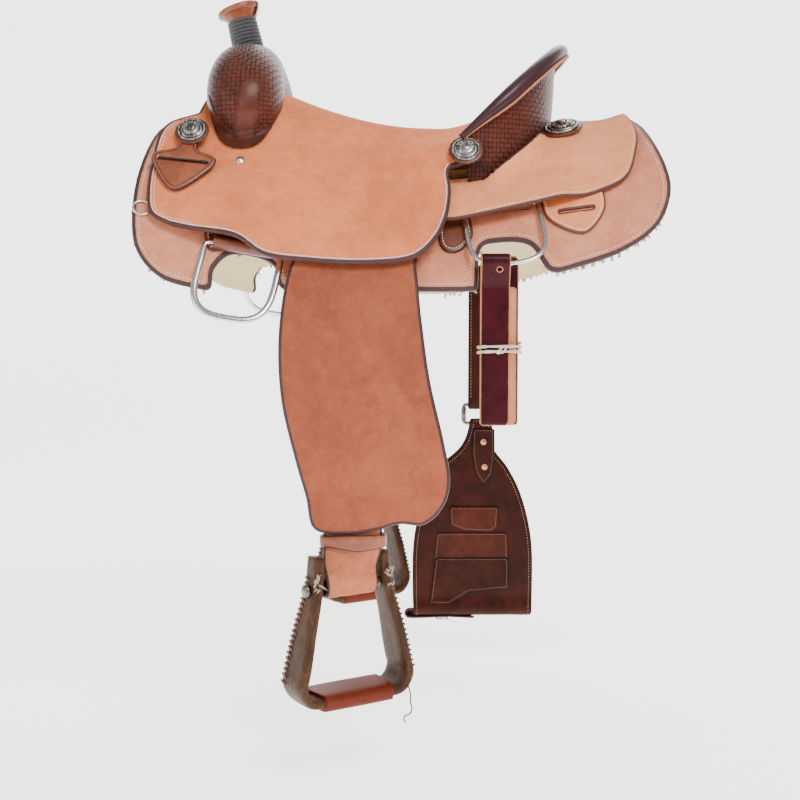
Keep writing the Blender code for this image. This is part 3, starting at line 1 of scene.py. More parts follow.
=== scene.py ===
"""The dressed calf roping saddle: leathers, stitching, stamped covers, metal and fleece.

The frame gives the solids, bodies and joints. Each sub-assembly is a class that models its pieces
over them in fine meshes, dresses them with node materials and sets them on their bodies.
Metres, +Z up, +X towards the cantle, -Y the near side.
"""

from __future__ import annotations

import logging
import math
from dataclasses import dataclass, field
from enum import IntEnum
from typing import Callable, Iterable, Sequence

import bmesh
import bpy
import numpy as np
from mathutils import Matrix, Vector, geometry, noise
from mathutils.bvhtree import BVHTree
from mathutils.geometry import delaunay_2d_cdt


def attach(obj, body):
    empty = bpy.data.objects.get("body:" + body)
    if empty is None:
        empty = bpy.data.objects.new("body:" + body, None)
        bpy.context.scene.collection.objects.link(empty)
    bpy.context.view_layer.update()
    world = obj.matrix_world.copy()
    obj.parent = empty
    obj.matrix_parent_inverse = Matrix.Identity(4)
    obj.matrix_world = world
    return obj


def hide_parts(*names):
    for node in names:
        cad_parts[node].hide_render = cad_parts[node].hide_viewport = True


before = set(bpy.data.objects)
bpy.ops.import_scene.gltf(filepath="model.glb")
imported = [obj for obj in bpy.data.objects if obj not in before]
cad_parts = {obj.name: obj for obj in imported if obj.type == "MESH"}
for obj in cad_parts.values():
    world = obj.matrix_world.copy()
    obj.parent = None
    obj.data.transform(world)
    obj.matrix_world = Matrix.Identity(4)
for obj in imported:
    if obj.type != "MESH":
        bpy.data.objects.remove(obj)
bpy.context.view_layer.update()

log = logging.getLogger("saddle")
Array = np.ndarray
Colour = tuple[float, float, float]
Depth = float | Callable[[Array, Array], Array]


class Side(IntEnum):
    """The two sides of the saddle, by the sign of Y."""

    NEAR = -1
    OFF = 1

    @property
    def word(self) -> str:
        """The prefix of that side's nodes and bodies."""
        return "near" if self is Side.NEAR else "off"


# ---- The surface that the leathers lie on ----
CREST_X, CREST_Z = 0.030, 0.012
FRONT_RUN, FRONT_RISE = 0.350, 0.048
REAR_RUN, REAR_RISE = 0.330, 0.065
CREST_ARC, CREST_ANGLE = 0.050, math.radians(20)
SIDE_ARC, SIDE_ANGLE, DROP_ARC = 0.300, math.radians(62), 0.120
FLEECE, SKIRT, BAR, RIGGING, JOCKEY, SEAT, HANGING = 0.014, 0.0055, 0.020, 0.004, 0.0045, 0.0055, 0.0045
GAP = 0.0003
SKIRT_IN = FLEECE + GAP
SKIRT_OUT = SKIRT_IN + SKIRT
TRIM_IN = SKIRT_OUT + GAP
TRIM_OUT = TRIM_IN + RIGGING
JOCKEY_IN = TRIM_OUT + GAP
LEATHER_IN = SKIRT_OUT + 0.006
LEATHER_OUT = LEATHER_IN + 2 * HANGING
FENDER_IN = LEATHER_OUT + GAP
FENDER_OUT = FENDER_IN + HANGING
FENDER_ROOM, FRONT_ROOM, REAR_ROOM = 0.026, 0.0046, 0.0245
SEAT_BUILD, FORK_BUILD, FORK_RUN = 0.007, 0.036, 0.200
CORNER_BUILD, CORNER_ARC, CORNER_SPREAD = 0.020, 0.115, 0.075
RIM_X, RIM_LENGTH, RIM_HALF, RIM_Z, RIM_RISE = 0.077, 0.151, 0.158, 0.038, 0.145
DISH_X, DISH_POWER, SEAT_INSET = 0.060, 1.8, 0.013
ROLL_WIDE, ROLL_THICK, CANTLE_LEAN = 0.031, 0.014, 0.008
DEE_WIDE, DEE_TALL, DEE_BAR, DEE_TUBE_WALL = 0.108, 0.112, 0.0070, 0.0035
DEE_BORE = DEE_BAR / 2 + 0.001
DEE_DEPTH = SKIRT_OUT + GAP + DEE_BORE + DEE_TUBE_WALL
REAR_DEE = (0.134, -0.055)
FRONT_DEE = (-0.2025, -0.112)


def smooth(t: Array | float) -> Array:
    """A soft step from 0 to 1."""
    t = np.clip(t, 0.0, 1.0)
    return t * t * (3 - 2 * t)


class SideSurface:
    """One curved surface for both sides, by station x and arc s from the centre line."""

    def __init__(self) -> None:
        """Integrate the side's slope into its curve."""
        self.arc = np.arange(0.0, 1.0, 0.001)
        self.slope = (
            CREST_ANGLE * smooth(self.arc / CREST_ARC)
            + (SIDE_ANGLE - CREST_ANGLE) * np.minimum(self.arc / SIDE_ARC, 1.0)
            + (math.pi / 2 - SIDE_ANGLE) * smooth((self.arc - SIDE_ARC) / DROP_ARC)
        )
        self.out = np.concatenate([[0.0], np.cumsum(np.cos(self.slope[:-1]) * 0.001)])
        self.down = np.concatenate([[0.0], np.cumsum(np.sin(self.slope[:-1]) * 0.001)])

    @staticmethod
    def crest(x: Array) -> Array:
        """The centre line's height."""
        front = FRONT_RISE * ((CREST_X - x) / FRONT_RUN) ** 2
        rear = REAR_RISE * ((x - CREST_X) / REAR_RUN) ** 2
        return CREST_Z + np.where(x < CREST_X, front, rear)

    def point(self, x: Array, s: Array, depth: Array) -> Array:
        """Points at stations x, arcs s (negative on the near side) and depths above the surface."""
        x, s, depth = np.broadcast_arrays(*(np.asarray(v, float) for v in (x, s, depth)))
        far = np.abs(s)
        slope = np.interp(far, self.arc, self.slope)
        y = np.sign(s) * (np.interp(far, self.arc, self.out) + depth * np.sin(slope))
        z = self.crest(x) - np.interp(far, self.arc, self.down) + depth * np.cos(slope)
        return np.stack([x, y, z], axis=-1)

    def arc_at(self, x: float, z: float, depth: float = 0.0) -> float:
        """The arc where the surface has height z.

        Args:
            x: The station.
            z: The height.
            depth: How far above the surface.

        Returns:
            The arc from the centre line, never negative.
        """
        arcs = np.arange(0.0, 0.75, 0.001)
        heights = self.point(np.full_like(arcs, x), arcs, np.full_like(arcs, depth))[:, 2]
        return float(np.interp(-z, -heights, arcs))

    def normals(self, x: Array, s: Array, depth: Array, step: float = 0.002) -> Array:
        """Unit vectors out of the surface."""
        run = self.point(x + step, s, depth) - self.point(x - step, s, depth)
        rise = self.point(x, s + step, depth) - self.point(x, s - step, depth)
        out = np.cross(run, rise)
        out /= np.maximum(np.linalg.norm(out, axis=-1, keepdims=True), 1e-12)
        higher = self.point(x, s, depth + step) - self.point(x, s, depth)
        return out * np.sign((out * higher).sum(-1))[..., None]

    def arcs(self, outline: Outline, side: Side, depth: float) -> Outline:
        """Turn an outline drawn in a side view, as (x, z), into stations and arcs."""
        arcs = np.arange(0.0, 0.75, 0.001)
        spots = []
        for x, z in outline.points:
            heights = self.point(np.full_like(arcs, x), side * arcs, np.full_like(arcs, depth))[:, 2]
            heights = np.minimum.accumulate(heights)
            spots.append((x, side * float(np.interp(-z, -heights, arcs))))
        return Outline(np.array(spots))

    def place(self, x: float, s: float, depth: float, step: float = 0.02) -> Matrix:
        """A frame on the surface: local Z points out of it, local Y up along it."""
        side = -1 if s < 0 else 1
        at = lambda a, b: Vector(self.point(a, b, depth))
        across = (at(x + step, s) - at(x - step, s)).normalized() * -side
        up = at(x, s - side * step) - at(x, s + side * step)
        out = across.cross(up).normalized()
        turn = Matrix((across, out.cross(across), out)).transposed().to_4x4()
        return Matrix.Translation(at(x, s)) @ turn


class SeatSurface(SideSurface):
    """The underside of the seat leather: built up over the tree and raised in the cantle's dish."""

    @staticmethod
    def fork_build(x: Array) -> Array:
        """How much the seat is built up at the centre line."""
        ahead = np.clip((CREST_X - x) / FORK_RUN, 0.0, 1.0)
        return SEAT_BUILD + FORK_BUILD * ahead**1.6 * (1 - 0.6 * smooth((-0.18 - x) / 0.09))

    def under(self, x: Array, s: Array) -> Array:
        """The depth of the seat leather's underside."""
        far = np.abs(s)
        room = FRONT_ROOM + (FENDER_ROOM - FRONT_ROOM) * smooth((x + 0.335) / 0.135)
        room = room + (REAR_ROOM - FENDER_ROOM) * smooth((x - 0.025) / 0.045)
        tree = smooth((0.175 - far) / 0.055)
        over_bar = np.maximum(0.0, BAR + 2 * GAP + 0.002 - room) * tree
        corner = CORNER_BUILD * smooth((x + 0.030) / 0.080)
        corner = corner * smooth(1 - np.abs(far - CORNER_ARC) / CORNER_SPREAD)
        return TRIM_IN + room + over_bar + self.fork_build(x) * (1 - smooth(far / 0.17)) + corner

    def rear(self, s: Array) -> Array:
        """Where the seat leather ends at the cantle."""
        s = np.asarray(s, float)
        y = np.abs(super().point(RIM_X, s, self.under(np.full_like(s, RIM_X), s))[..., 1])
        share = np.minimum(1.0, y / (RIM_HALF - SEAT_INSET / 2))
        return RIM_X + (RIM_LENGTH - SEAT_INSET) * np.sqrt(1 - share**2)

    def point(self, x: Array, s: Array, depth: Array) -> Array:
        """Points above the underside, raised over the cantle's dish."""
        x, s, depth = np.broadcast_arrays(*(np.asarray(v, float) for v in (x, s, depth)))
        place = super().point(x, s, self.under(x, s) + depth)
        rear = self.rear(s)
        goal = RIM_Z + RIM_RISE * (rear - RIM_X) / RIM_LENGTH - 0.84 * ROLL_THICK - SEAT
        flat = super().point(rear, s, self.under(rear, s))[..., 2]
        along = np.clip((x - DISH_X) / np.maximum(rear - DISH_X, 1e-6), 0.0, 1.0)
        lift = np.maximum(0.0, goal - flat) * along**DISH_POWER
        place[..., 2] += np.where(rear > RIM_X + 1e-9, lift, 0.0)
        return place


class PathSurface(SideSurface):
    """A strap's surface: x across it, s along its run, and depth towards its outer face."""

    def __init__(self, path: Iterable[Sequence[float]], across: Sequence[float] | Array) -> None:
        """Take the run's points, and the direction across the strap, one or one for each point."""
        self.path = np.array([tuple(p) for p in path], float)
        step = np.linalg.norm(np.diff(self.path, axis=0), axis=1)
        self.run = np.concatenate([[0.0], np.cumsum(step)])
        along = np.gradient(self.path, self.run, axis=0)
        along /= np.linalg.norm(along, axis=1, keepdims=True)
        self.across = np.broadcast_to(np.array(across, float), self.path.shape)
        self.out = np.cross(self.across, along)
        self.out /= np.linalg.norm(self.out, axis=1, keepdims=True)

    @property
    def length(self) -> float:
        """How long the run is."""
        return float(self.run[-1])

    def at(self, table: Array, s: Array) -> Array:
        """A column of vectors at these places along the run, carried on straight past its ends."""
        found = np.stack([np.interp(s, self.run, table[:, k]) for k in range(3)], axis=-1)
        if table is self.path:
            first = (self.path[0] - self.path[1]) / (self.run[1] - self.run[0])
            last = (self.path[-1] - self.path[-2]) / (self.run[-1] - self.run[-2])
            found += np.maximum(0, self.run[0] - s)[..., None] * first
            found += np.maximum(0, s - self.run[-1])[..., None] * last
        return found

    def point(self, x: Array, s: Array, depth: Array) -> Array:
        """Points across, along and above the run."""
        x, s, depth = np.broadcast_arrays(*(np.asarray(v, float) for v in (x, s, depth)))
        return self.at(self.path, s) + self.at(self.across, s) * x[..., None] + self.at(self.out,
            s) * depth[...,
                None]


class PlaneSurface(SideSurface):
    """A flat surface in a frame of its own."""

    def __init__(self, place: Matrix) -> None:
        """Take the frame: x and s in its plane, depth along its Z."""
        self.turn = np.array(place.to_3x3())
        self.origin = np.array(place.translation)

    def point(self, x: Array, s: Array, depth: Array) -> Array:
        """Points in the frame."""
        x, s, depth = np.broadcast_arrays(*(np.asarray(v, float) for v in (x, s, depth)))
        return np.stack([x, s, depth], axis=-1) @ self.turn.T + self.origin


def rear_jockey_in(x: Array, s: Array) -> Array:
    """The rear jockey's underside: over the end of the bar, and over the dee's tube."""
    bar = (BAR - RIGGING) * smooth((0.305 - x) / 0.085) * smooth((0.170 - np.abs(s)) / 0.050)
    stand = 2 * (DEE_BORE + DEE_TUBE_WALL) - RIGGING + 0.001
    room = stand * smooth((0.120 - np.abs(x - REAR_DEE[0])) / 0.050)
    return JOCKEY_IN + np.maximum(bar, room * smooth((np.abs(s) - 0.120) / 0.035))


SURFACE, SEAT_SURFACE = SideSurface(), SeatSurface()


# ---- Outlines and meshes ----
@dataclass
class Outline:
    """A closed outline in the plane of station and arc."""

    points: Array

    @classmethod
    def through(cls, points: Iterable[Sequence[float]], step: float = 0.004) -> Outline:
        """A closed smooth curve through the points, resampled to even steps."""
        p = np.array([tuple(q) for q in points], float)
        a, b, c, d = (np.roll(p, k, axis=0)[:, None] for k in (1, 0, -1, -2))
        t = np.linspace(0, 1, 12, endpoint=False)[None, :, None]
        curve = 0.5 * (
            2 * b + (c - a) * t + (2 * a - 5 * b + 4 * c - d) * t**2 + (3 * b - a - 3 * c + d) * t**3
        )
        return cls(curve.reshape(-1, 2)).resampled(step)

    @staticmethod
    def curve(points: Iterable[Sequence[float]], steps: int = 12) -> Array:
        """An open smooth curve through the points."""
        p = np.array([tuple(q) for q in points], float)
        p = np.vstack([2 * p[0] - p[1], p, 2 * p[-1] - p[-2]])
        a, b, c, d = (p[k:len(p) - 3 + k, None] for k in range(4))
        t = np.linspace(0, 1, steps, endpoint=False)[None, :, None]
        spots = 0.5 * (
            2 * b + (c - a) * t + (2 * a - 5 * b + 4 * c - d) * t**2 + (3 * b - a - 3 * c + d) * t**3
        )
        return np.vstack([spots.reshape(-1, p.shape[1]), p[-2:-1]])

    @classmethod
    def polygon(cls, points: Iterable[Sequence[float]], step: float = 0.004) -> Outline:
        """A closed outline with straight sides, resampled to even steps."""
        return cls(np.array([tuple(q) for q in points], float)).resampled(step)

    def resampled(self, step: float) -> Outline:
        """The same outline with its points a step apart."""
        loop = np.vstack([self.points, self.points[:1]])
        run = np.concatenate([[0.0], np.cumsum(np.linalg.norm(np.diff(loop, axis=0), axis=1))])
        count = max(8, int(run[-1] / step))
        spots = np.linspace(0, run[-1], count, endpoint=False)
        return Outline(np.stack([np.interp(spots, run, loop[:, k]) for k in (0, 1)], axis=1))

    def distance(self, points: Array) -> Array:
        """How far each point is inside the outline, negative outside."""
        a, b = self.points, np.roll(self.points, -1, axis=0)
        result = np.empty(len(points))
        for start in range(0, len(points), 2000):
            p = points[start:start + 2000, None]
            t = np.clip(((p - a) * (b - a)).sum(-1) / np.maximum(((b - a) ** 2).sum(-1), 1e-12), 0, 1)
            near = np.linalg.norm(p - (a + t[..., None] * (b - a)), axis=-1).min(axis=1)
            above = (a[:, 1] > p[..., 1]) != (b[:, 1] > p[..., 1])
            rise = np.where(b[:, 1] == a[:, 1], 1e-12, b[:, 1] - a[:, 1])
            cross = p[..., 0] < (b[:, 0] - a[:, 0]) * (p[..., 1] - a[:, 1]) / rise + a[:, 0]
            inside = (above & cross).sum(axis=1) % 2 == 1
            result[start:start + 2000] = np.where(inside, near, -near)
        return result

    def inset(self, by: float) -> Outline:
        """The outline moved inwards, with what would cross itself left out."""
        along = np.roll(self.points, -1, axis=0) - np.roll(self.points, 1, axis=0)
        along /= np.maximum(np.linalg.norm(along, axis=1, keepdims=True), 1e-9)
        nxt = np.roll(self.points, -1, axis=0)
        turn = np.sign((self.points[:, 0] * nxt[:, 1] - nxt[:, 0] * self.points[:, 1]).sum())
        moved = self.points + np.stack([-along[:, 1], along[:, 0]], axis=1) * turn * by
        return Outline(moved[self.distance(moved) > 0.97 * by - 1e-5])


def new_mesh(name: str, verts: Iterable, faces: Iterable, smooth_faces: bool = True) -> bpy.types.Object:
    """An object from points and faces, linked to the scene.

    Args:
        name: The piece's name.
        verts: Its points in the row frame.
        faces: Its faces, as tuples of point numbers.
        smooth_faces: Whether it is shaded smooth.

    Returns:
        The object.
    """
    mesh = bpy.data.meshes.new(name)
    mesh.from_pydata([tuple(v) for v in verts], [], [tuple(f) for f in faces])
    if smooth_faces:
        mesh.shade_smooth()
    mesh.update()
    obj = bpy.data.objects.new(name, mesh)
    bpy.context.scene.collection.objects.link(obj)
    return obj


def faced_out(obj: bpy.types.Object) -> None:
    """Turn every face of a piece outwards."""
    bm = bmesh.new()
    bm.from_mesh(obj.data)
    bmesh.ops.recalc_face_normals(bm, faces=bm.faces)
    bm.to_mesh(obj.data)
    bm.free()


def point_values(mesh: bpy.types.Mesh, name: str, values: Iterable[float]) -> None:
    """Store a number on each point for the materials to read."""
    attribute = mesh.attributes.new(name, "FLOAT", "POINT")
    attribute.data.foreach_set("value", np.asarray(list(values), np.float32))


def plane_map(mesh: bpy.types.Mesh, uv: Array) -> None:
    """Store a map in metres on the mesh."""
    layer = mesh.uv_layers.new(name="metres")
    index = np.empty(len(mesh.loops), int)
    mesh.loops.foreach_get("vertex_index", index)
    layer.data.foreach_set("uv", np.asarray(uv, np.float32)[index].ravel())


def set_on(obj: bpy.types.Object, body: str, slot: str, *nodes: str) -> bpy.types.Object:
    """Ride a finished piece on its body, in place of its solids.

    Args:
        obj: The piece.
        body: The CAD body it moves with.
        slot: The record's material slot; not used.
        nodes: The solids it stands for.

    Returns:
        The piece.
    """
    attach(obj, body)
    if nodes:
        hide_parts(*nodes)
    log.info("%s: %d faces on %s", obj.name, len(obj.data.polygons), body)
    return obj


def value_at(depth: Depth, x: Array, s: Array) -> Array:
    """A depth as numbers, whether it varies or not."""
    return np.asarray(depth(x, s) if callable(depth) else np.full(len(x), depth), float)


@dataclass
class Panel:
    """A leather panel: an outline on a surface, with a thickness and rounded dyed edges."""

    name: str
    outline: Outline
    low: Depth
    high: Depth
    finish: bpy.types.Material
    surface: SideSurface = field(default_factory=lambda: SURFACE)
    step: float = 0.009
    soft: float = 0.0008
    holes: tuple[Outline, ...] = ()

    def build(self) -> bpy.types.Object:
        """Triangulate the outline, raise it onto the surface and close it into a solid.

        Returns:
            The panel, with its distance from the edge stored on each point.
        """
        rim = self.outline
        sheet = Outline(rim.inset(self.soft).points)
        loops = [rim.points, *(hole.points for hole in self.holes)]
        seeds = [
            loop
            for by in (0.0022, 0.0040, 0.0065)
            for ring in [rim.inset(by)] if len(ring.points) > 7
            for loop in [ring.resampled(0.005).points]
        ]
        low, high = rim.points.min(axis=0), rim.points.max(axis=0)
        u, v = np.meshgrid(
            np.arange(low[0], high[0], self.step), np.arange(low[1], high[1], self.step * 0.87)
        )
        u = u + (np.arange(len(u)) % 2)[:, None] * self.step / 2
        grid = np.stack([u.ravel(), v.ravel()], axis=1)
        grid = grid[rim.distance(grid) > 0.0095]
        seeds.append(grid)
        for hole in self.holes:
            seeds = [s[hole.distance(s) < -0.002] for s in seeds]
        edge_loops = [sheet.points, *(hole.points for hole in self.holes)]
        counts = [len(loop) for loop in edge_loops]
        flat = np.vstack([*edge_loops, *seeds])
        starts = np.concatenate([[0], np.cumsum(counts)])
        edges = [
            (int(a + k), int(a + (k + 1) % n))
            for a, n in zip(starts, counts) for k in range(n)
        ]
        verts, _, faces, origin, _, _ = delaunay_2d_cdt(
            [Vector(p) for p in flat], edges, [], 0, 1e-6
        )
        flat = np.array([tuple(p) for p in verts])
        faces = np.array([f for f in faces if len(f) == 3])
        middles = flat[faces].mean(axis=1)
        keep = sheet.distance(middles) > -1e-6
        for hole in self.holes:
            keep &= hole.distance(middles) < 1e-6
        faces = faces[keep]
        number = {o: k for k, group in enumerate(origin) for o in group}
        return self._solid(flat, faces, [
            [number[int(a + k)] for k in range(n)] for a, n in zip(starts, counts)
        ], loops)

    def _solid(self, flat: Array, faces: Array, rings: list[list[int]],
               loops: list[Array]) -> bpy.types.Object:
        """Two sheets and the rims between them."""
        count = len(flat)
        used = np.unique(faces)
        x, s = flat[:, 0], flat[:, 1]
        low, high = value_at(self.low, x, s), value_at(self.high, x, s)
        near = self.outline.distance(flat)
        for hole in self.holes:
            near = np.minimum(near, -hole.distance(flat))
        near = np.maximum(near, 0.0)
        round_off = 0.30 * (high - low) * np.clip(1 - near / 0.0032, 0, 1) ** 2
        top = self.surface.point(x, s, high - round_off)
        bottom = self.surface.point(x, s, low)
        points, values, plane = [top, bottom], [near, near], [flat, flat]
        solid = [tuple(f) for f in faces] + [(a + count, c + count, b + count) for a, b, c in faces]
        total = 2 * count
        for ring, loop in zip(rings, loops):
            n = len(ring)
            spot = flat[ring]
            bulge = loop[:n] if len(loop) == n and ring is not rings[0] else None
            if bulge is None:
                ahead = np.roll(spot, -1, axis=0) - np.roll(spot, 1, axis=0)
                ahead /= np.maximum(np.linalg.norm(ahead, axis=1, keepdims=True), 1e-9)
                nxt = np.roll(spot, -1, axis=0)
                turn = np.sign((spot[:, 0] * nxt[:, 1] - nxt[:, 0] * spot[:, 1]).sum())
                bulge = spot - np.stack([-ahead[:, 1], ahead[:, 0]], axis=1) * turn * self.soft
            mid = 0.45 * low[ring] + 0.55 * (high - round_off)[ring]
            points.append(self.surface.point(bulge[:, 0], bulge[:, 1], mid))
            values.append(np.zeros(n))
            plane.append(bulge)
            for k in range(n):
                m = (k + 1) % n
                a, b, c, d = ring[k], ring[m], total + m, total + k
                solid += [(a, d, c, b), (a + count, b + count, c, d)]
            total += n
        points, values, plane = np.vstack(points), np.concatenate(values), np.vstack(plane)
        live = np.zeros(total, bool)
        live[used] = live[used + count] = True
        live[2 * count:] = True
        renumber = np.cumsum(live) - 1
        solid = [tuple(int(renumber[v]) for v in f) for f in solid]
        obj = new_mesh(self.name, points[live], solid)
        faced_out(obj)
        point_values(obj.data, "edge", values[live])
        plane_map(obj.data, plane[live])
        obj.data.materials.append(self.finish)
        return obj


def tube_along(name: str, path: Sequence[Vector], radius: float | Sequence[float], sides: int = 10,
               closed: bool = False, flat: float = 1.0, up: Vector | None = None) -> bpy.types.Object:
    """A rod of round or flattened section along a path.

    Args:
        name: The piece's name.
        path: The points of its centre line.
        radius: Its radius, or one for each point.
        sides: Points round the section.
        closed: Whether the path is a loop.
        flat: The section's thickness as a share of its width.
        up: The direction of its thickness; parallel transport where left out.

    Returns:
        The rod, with caps unless it is closed.
    """
    count = len(path)
    radii = [radius] * count if isinstance(radius, (int, float)) else list(radius)
    verts, faces = [], []
    normal = None
    for i, point in enumerate(path):
        ahead = path[(i + 1) % count] if closed or i < count - 1 else point
        behind = path[(i - 1) % count] if closed or i else point
        along = (Vector(ahead) - Vector(behind)).normalized()
        if up is not None:
            normal = Vector(up)
        elif normal is None:
            normal = along.orthogonal()
        across = along.cross(normal).normalized()
        normal = across.cross(along).normalized()
        for k in range(sides):
            a = math.tau * k / sides
            verts.append(
                Vector(point) + across * math.cos(a) * radii[i] + normal * math.sin(a) * radii[i] * flat
            )
    for i in range(count if closed else count - 1):
        for k in range(sides):
            a, b = i * sides + k, i * sides + (k + 1) % sides
            c, d = (i + 1) % count * sides + (k + 1) % sides, (i + 1) % count * sides + k
            faces.append((a, b, c, d))
    if not closed:
        faces += [tuple(range(sides))[::-1], tuple(range((count - 1) * sides, count * sides))]
    return new_mesh(name, verts, faces)


def turned(name: str, profile: Sequence[tuple[float, float]], place: Matrix, sides: int = 48,
           wave: Callable[[float, float], float] | None = None) -> bpy.types.Object:
    """A turned piece from (radius, height) pairs, with an optional ripple round its edge.

    Args:
        name: The piece's name.
        profile: Its section, from its bottom middle to its top middle.
        place: Its frame.
        sides: Points round it.
        wave: The radius's factor at an angle and a height.

    Returns:
        The piece in the row frame.
    """
    verts, rings, faces = [], [], []
    for radius, height in profile:
        ring = []
        for k in range(sides if radius else 1):
            a = math.tau * k / sides
            r = radius * (wave(a, height) if wave and radius else 1.0)
            ring.append(len(verts))
            verts.append(place @ Vector((r * math.cos(a), r * math.sin(a), height)))
        rings.append(ring)
    for low, high in zip(rings, rings[1:]):
        for k in range(sides):
            a, b = low[k % len(low)], low[(k + 1) % len(low)]
            c, d = high[(k + 1) % len(high)], high[k % len(high)]
            face = [v for n, v in enumerate((a, b, c, d)) if v not in (a, b, c, d)[:n]]
            if len(face) > 2:
                faces.append(face)
    return new_mesh(name, verts, faces)


def sharpen(obj: bpy.types.Object, angle: float = 40) -> bpy.types.Object:
    """Mark edges sharper than an angle, in degrees, as sharp."""
    obj.data.set_sharp_from_angle(angle=math.radians(angle))
    return obj


def joined(name: str, parts: Sequence[bpy.types.Object]) -> bpy.types.Object:
    """One object out of several, each with its own material kept."""
    bm = bmesh.new()
    materials: list[bpy.types.Material] = []
    for part in parts:
        start = len(bm.faces)
        bm.from_mesh(part.data)
        bm.faces.ensure_lookup_table()
        for face in bm.faces[start:]:
            source = part.data.materials[face.material_index] if part.data.materials else None
            if source not in materials:
                materials.append(source)
            face.material_index = materials.index(source)
    mesh = bpy.data.meshes.new(name)
    bm.to_mesh(mesh)
    bm.free()
    for material in materials:
        mesh.materials.append(material)
    for part in parts:
        bpy.data.objects.remove(part)
    obj = bpy.data.objects.new(name, mesh)
    bpy.context.scene.collection.objects.link(obj)
    return obj


class Repeater:
    """Copies of one small shape at many places, by Geometry Nodes."""

    def __init__(self) -> None:
        """Build the node group: instance, turn to the stored directions, realise, dress."""
        group = bpy.data.node_groups.new("Repeat at points", "GeometryNodeTree")
        group.interface.new_socket("Geometry", in_out="INPUT", socket_type="NodeSocketGeometry")
        group.interface.new_socket("Shape", in_out="INPUT", socket_type="NodeSocketObject")
        group.interface.new_socket("Finish", in_out="INPUT", socket_type="NodeSocketMaterial")
        group.interface.new_socket("Geometry", in_out="OUTPUT", socket_type="NodeSocketGeometry")
        nodes, links = group.nodes, group.links
        start, end = nodes.new("NodeGroupInput"), nodes.new("NodeGroupOutput")
        shape = nodes.new("GeometryNodeObjectInfo")
        copies = nodes.new("GeometryNodeInstanceOnPoints")
        turn = nodes.new("FunctionNodeAxesToRotation")
        turn.primary_axis, turn.secondary_axis = "Z", "X"
        for socket, name, kind in (
            (turn.inputs["Primary Axis"], "out", "FLOAT_VECTOR"),
            (turn.inputs["Secondary Axis"], "along", "FLOAT_VECTOR"),
            (copies.inputs["Scale"], "size", "FLOAT"),
        ):
            stored = nodes.new("GeometryNodeInputNamedAttribute")
            stored.data_type = kind
            stored.inputs["Name"].default_value = name
            links.new(stored.outputs["Attribute"], socket)
        realise = nodes.new("GeometryNodeRealizeInstances")
        dress = nodes.new("GeometryNodeSetMaterial")
        links.new(start.outputs["Shape"], shape.inputs["Object"])
        links.new(start.outputs["Geometry"], copies.inputs["Points"])
        links.new(shape.outputs["Geometry"], copies.inputs["Instance"])
        links.new(turn.outputs["Rotation"], copies.inputs["Rotation"])
        links.new(copies.outputs["Instances"], realise.inputs["Geometry"])
        links.new(realise.outputs["Geometry"], dress.inputs["Geometry"])
        links.new(start.outputs["Finish"], dress.inputs["Material"])
        links.new(dress.outputs["Geometry"], end.inputs["Geometry"])
        self.group = group

    def __call__(self, name: str, shape: bpy.types.Object, finish: bpy.types.Material,
                 places: Sequence[tuple[Vector, Vector, Vector]],
                 sizes: Sequence[float] | None = None) -> bpy.types.Object:
        """Copy a shape to places.

        Args:
            name: The new piece's name.
            shape: The shape to copy: local Z out, local X along. It is removed afterwards.
            finish: Its material.
            places: Points with their outward and lengthwise directions.
            sizes: A scale for each point, 1 where left out.

        Returns:
            One plain mesh with all the copies.
        """
        points = new_mesh(name, [p for p, _, _ in places], [])
        for label, column in (("out", 1), ("along", 2)):
            stored = points.data.attributes.new(label, "FLOAT_VECTOR", "POINT")
            stored.data.foreach_set("vector", np.array([tuple(p[column]) for p in places],
                                                       np.float32).ravel())
        point_values(points.data, "size", sizes if sizes is not None else [1.0] * len(places))
        modifier = points.modifiers.new("Repeat", "NODES")
        modifier.node_group = self.group
        for item in self.group.interface.items_tree:
            if item.in_out == "INPUT" and item.name in ("Shape", "Finish"):
                modifier[item.identifier] = shape if item.name == "Shape" else finish
        bpy.context.view_layer.update()
        graph = bpy.context.evaluated_depsgraph_get()
        mesh = bpy.data.meshes.new_from_object(points.evaluated_get(graph))
        points.modifiers.clear()
        points.data = mesh
        bpy.data.objects.remove(shape)
        return points


def bead(name: str, long: float, wide: float, tall: float, rings: int = 5,
         sides: int = 6) -> bpy.types.Object:
    """A small rounded bar along X, lying on the plane Z = 0: a stitch, a cord's turn or a petal."""
    verts, faces = [], []
    for i in range(rings):
        t = -1 + 2 * i / (rings - 1)
        swell = max(0.25, math.sqrt(max(0.0, 1 - t**4)))
        for k in range(sides):
            a = math.tau * k / sides
            verts.append((long / 2 * t, wide / 2 * swell * math.cos(a),
                          tall * (0.15 + swell * math.sin(a) * 0.5)))
    for i in range(rings - 1):
        for k in range(sides):
            a, b = i * sides + k, i * sides + (k + 1) % sides
            faces.append((a, b, b + sides, a + sides))
    faces += [tuple(range(sides))[::-1], tuple(range((rings - 1) * sides, rings * sides))]
    return new_mesh(name, verts, faces)


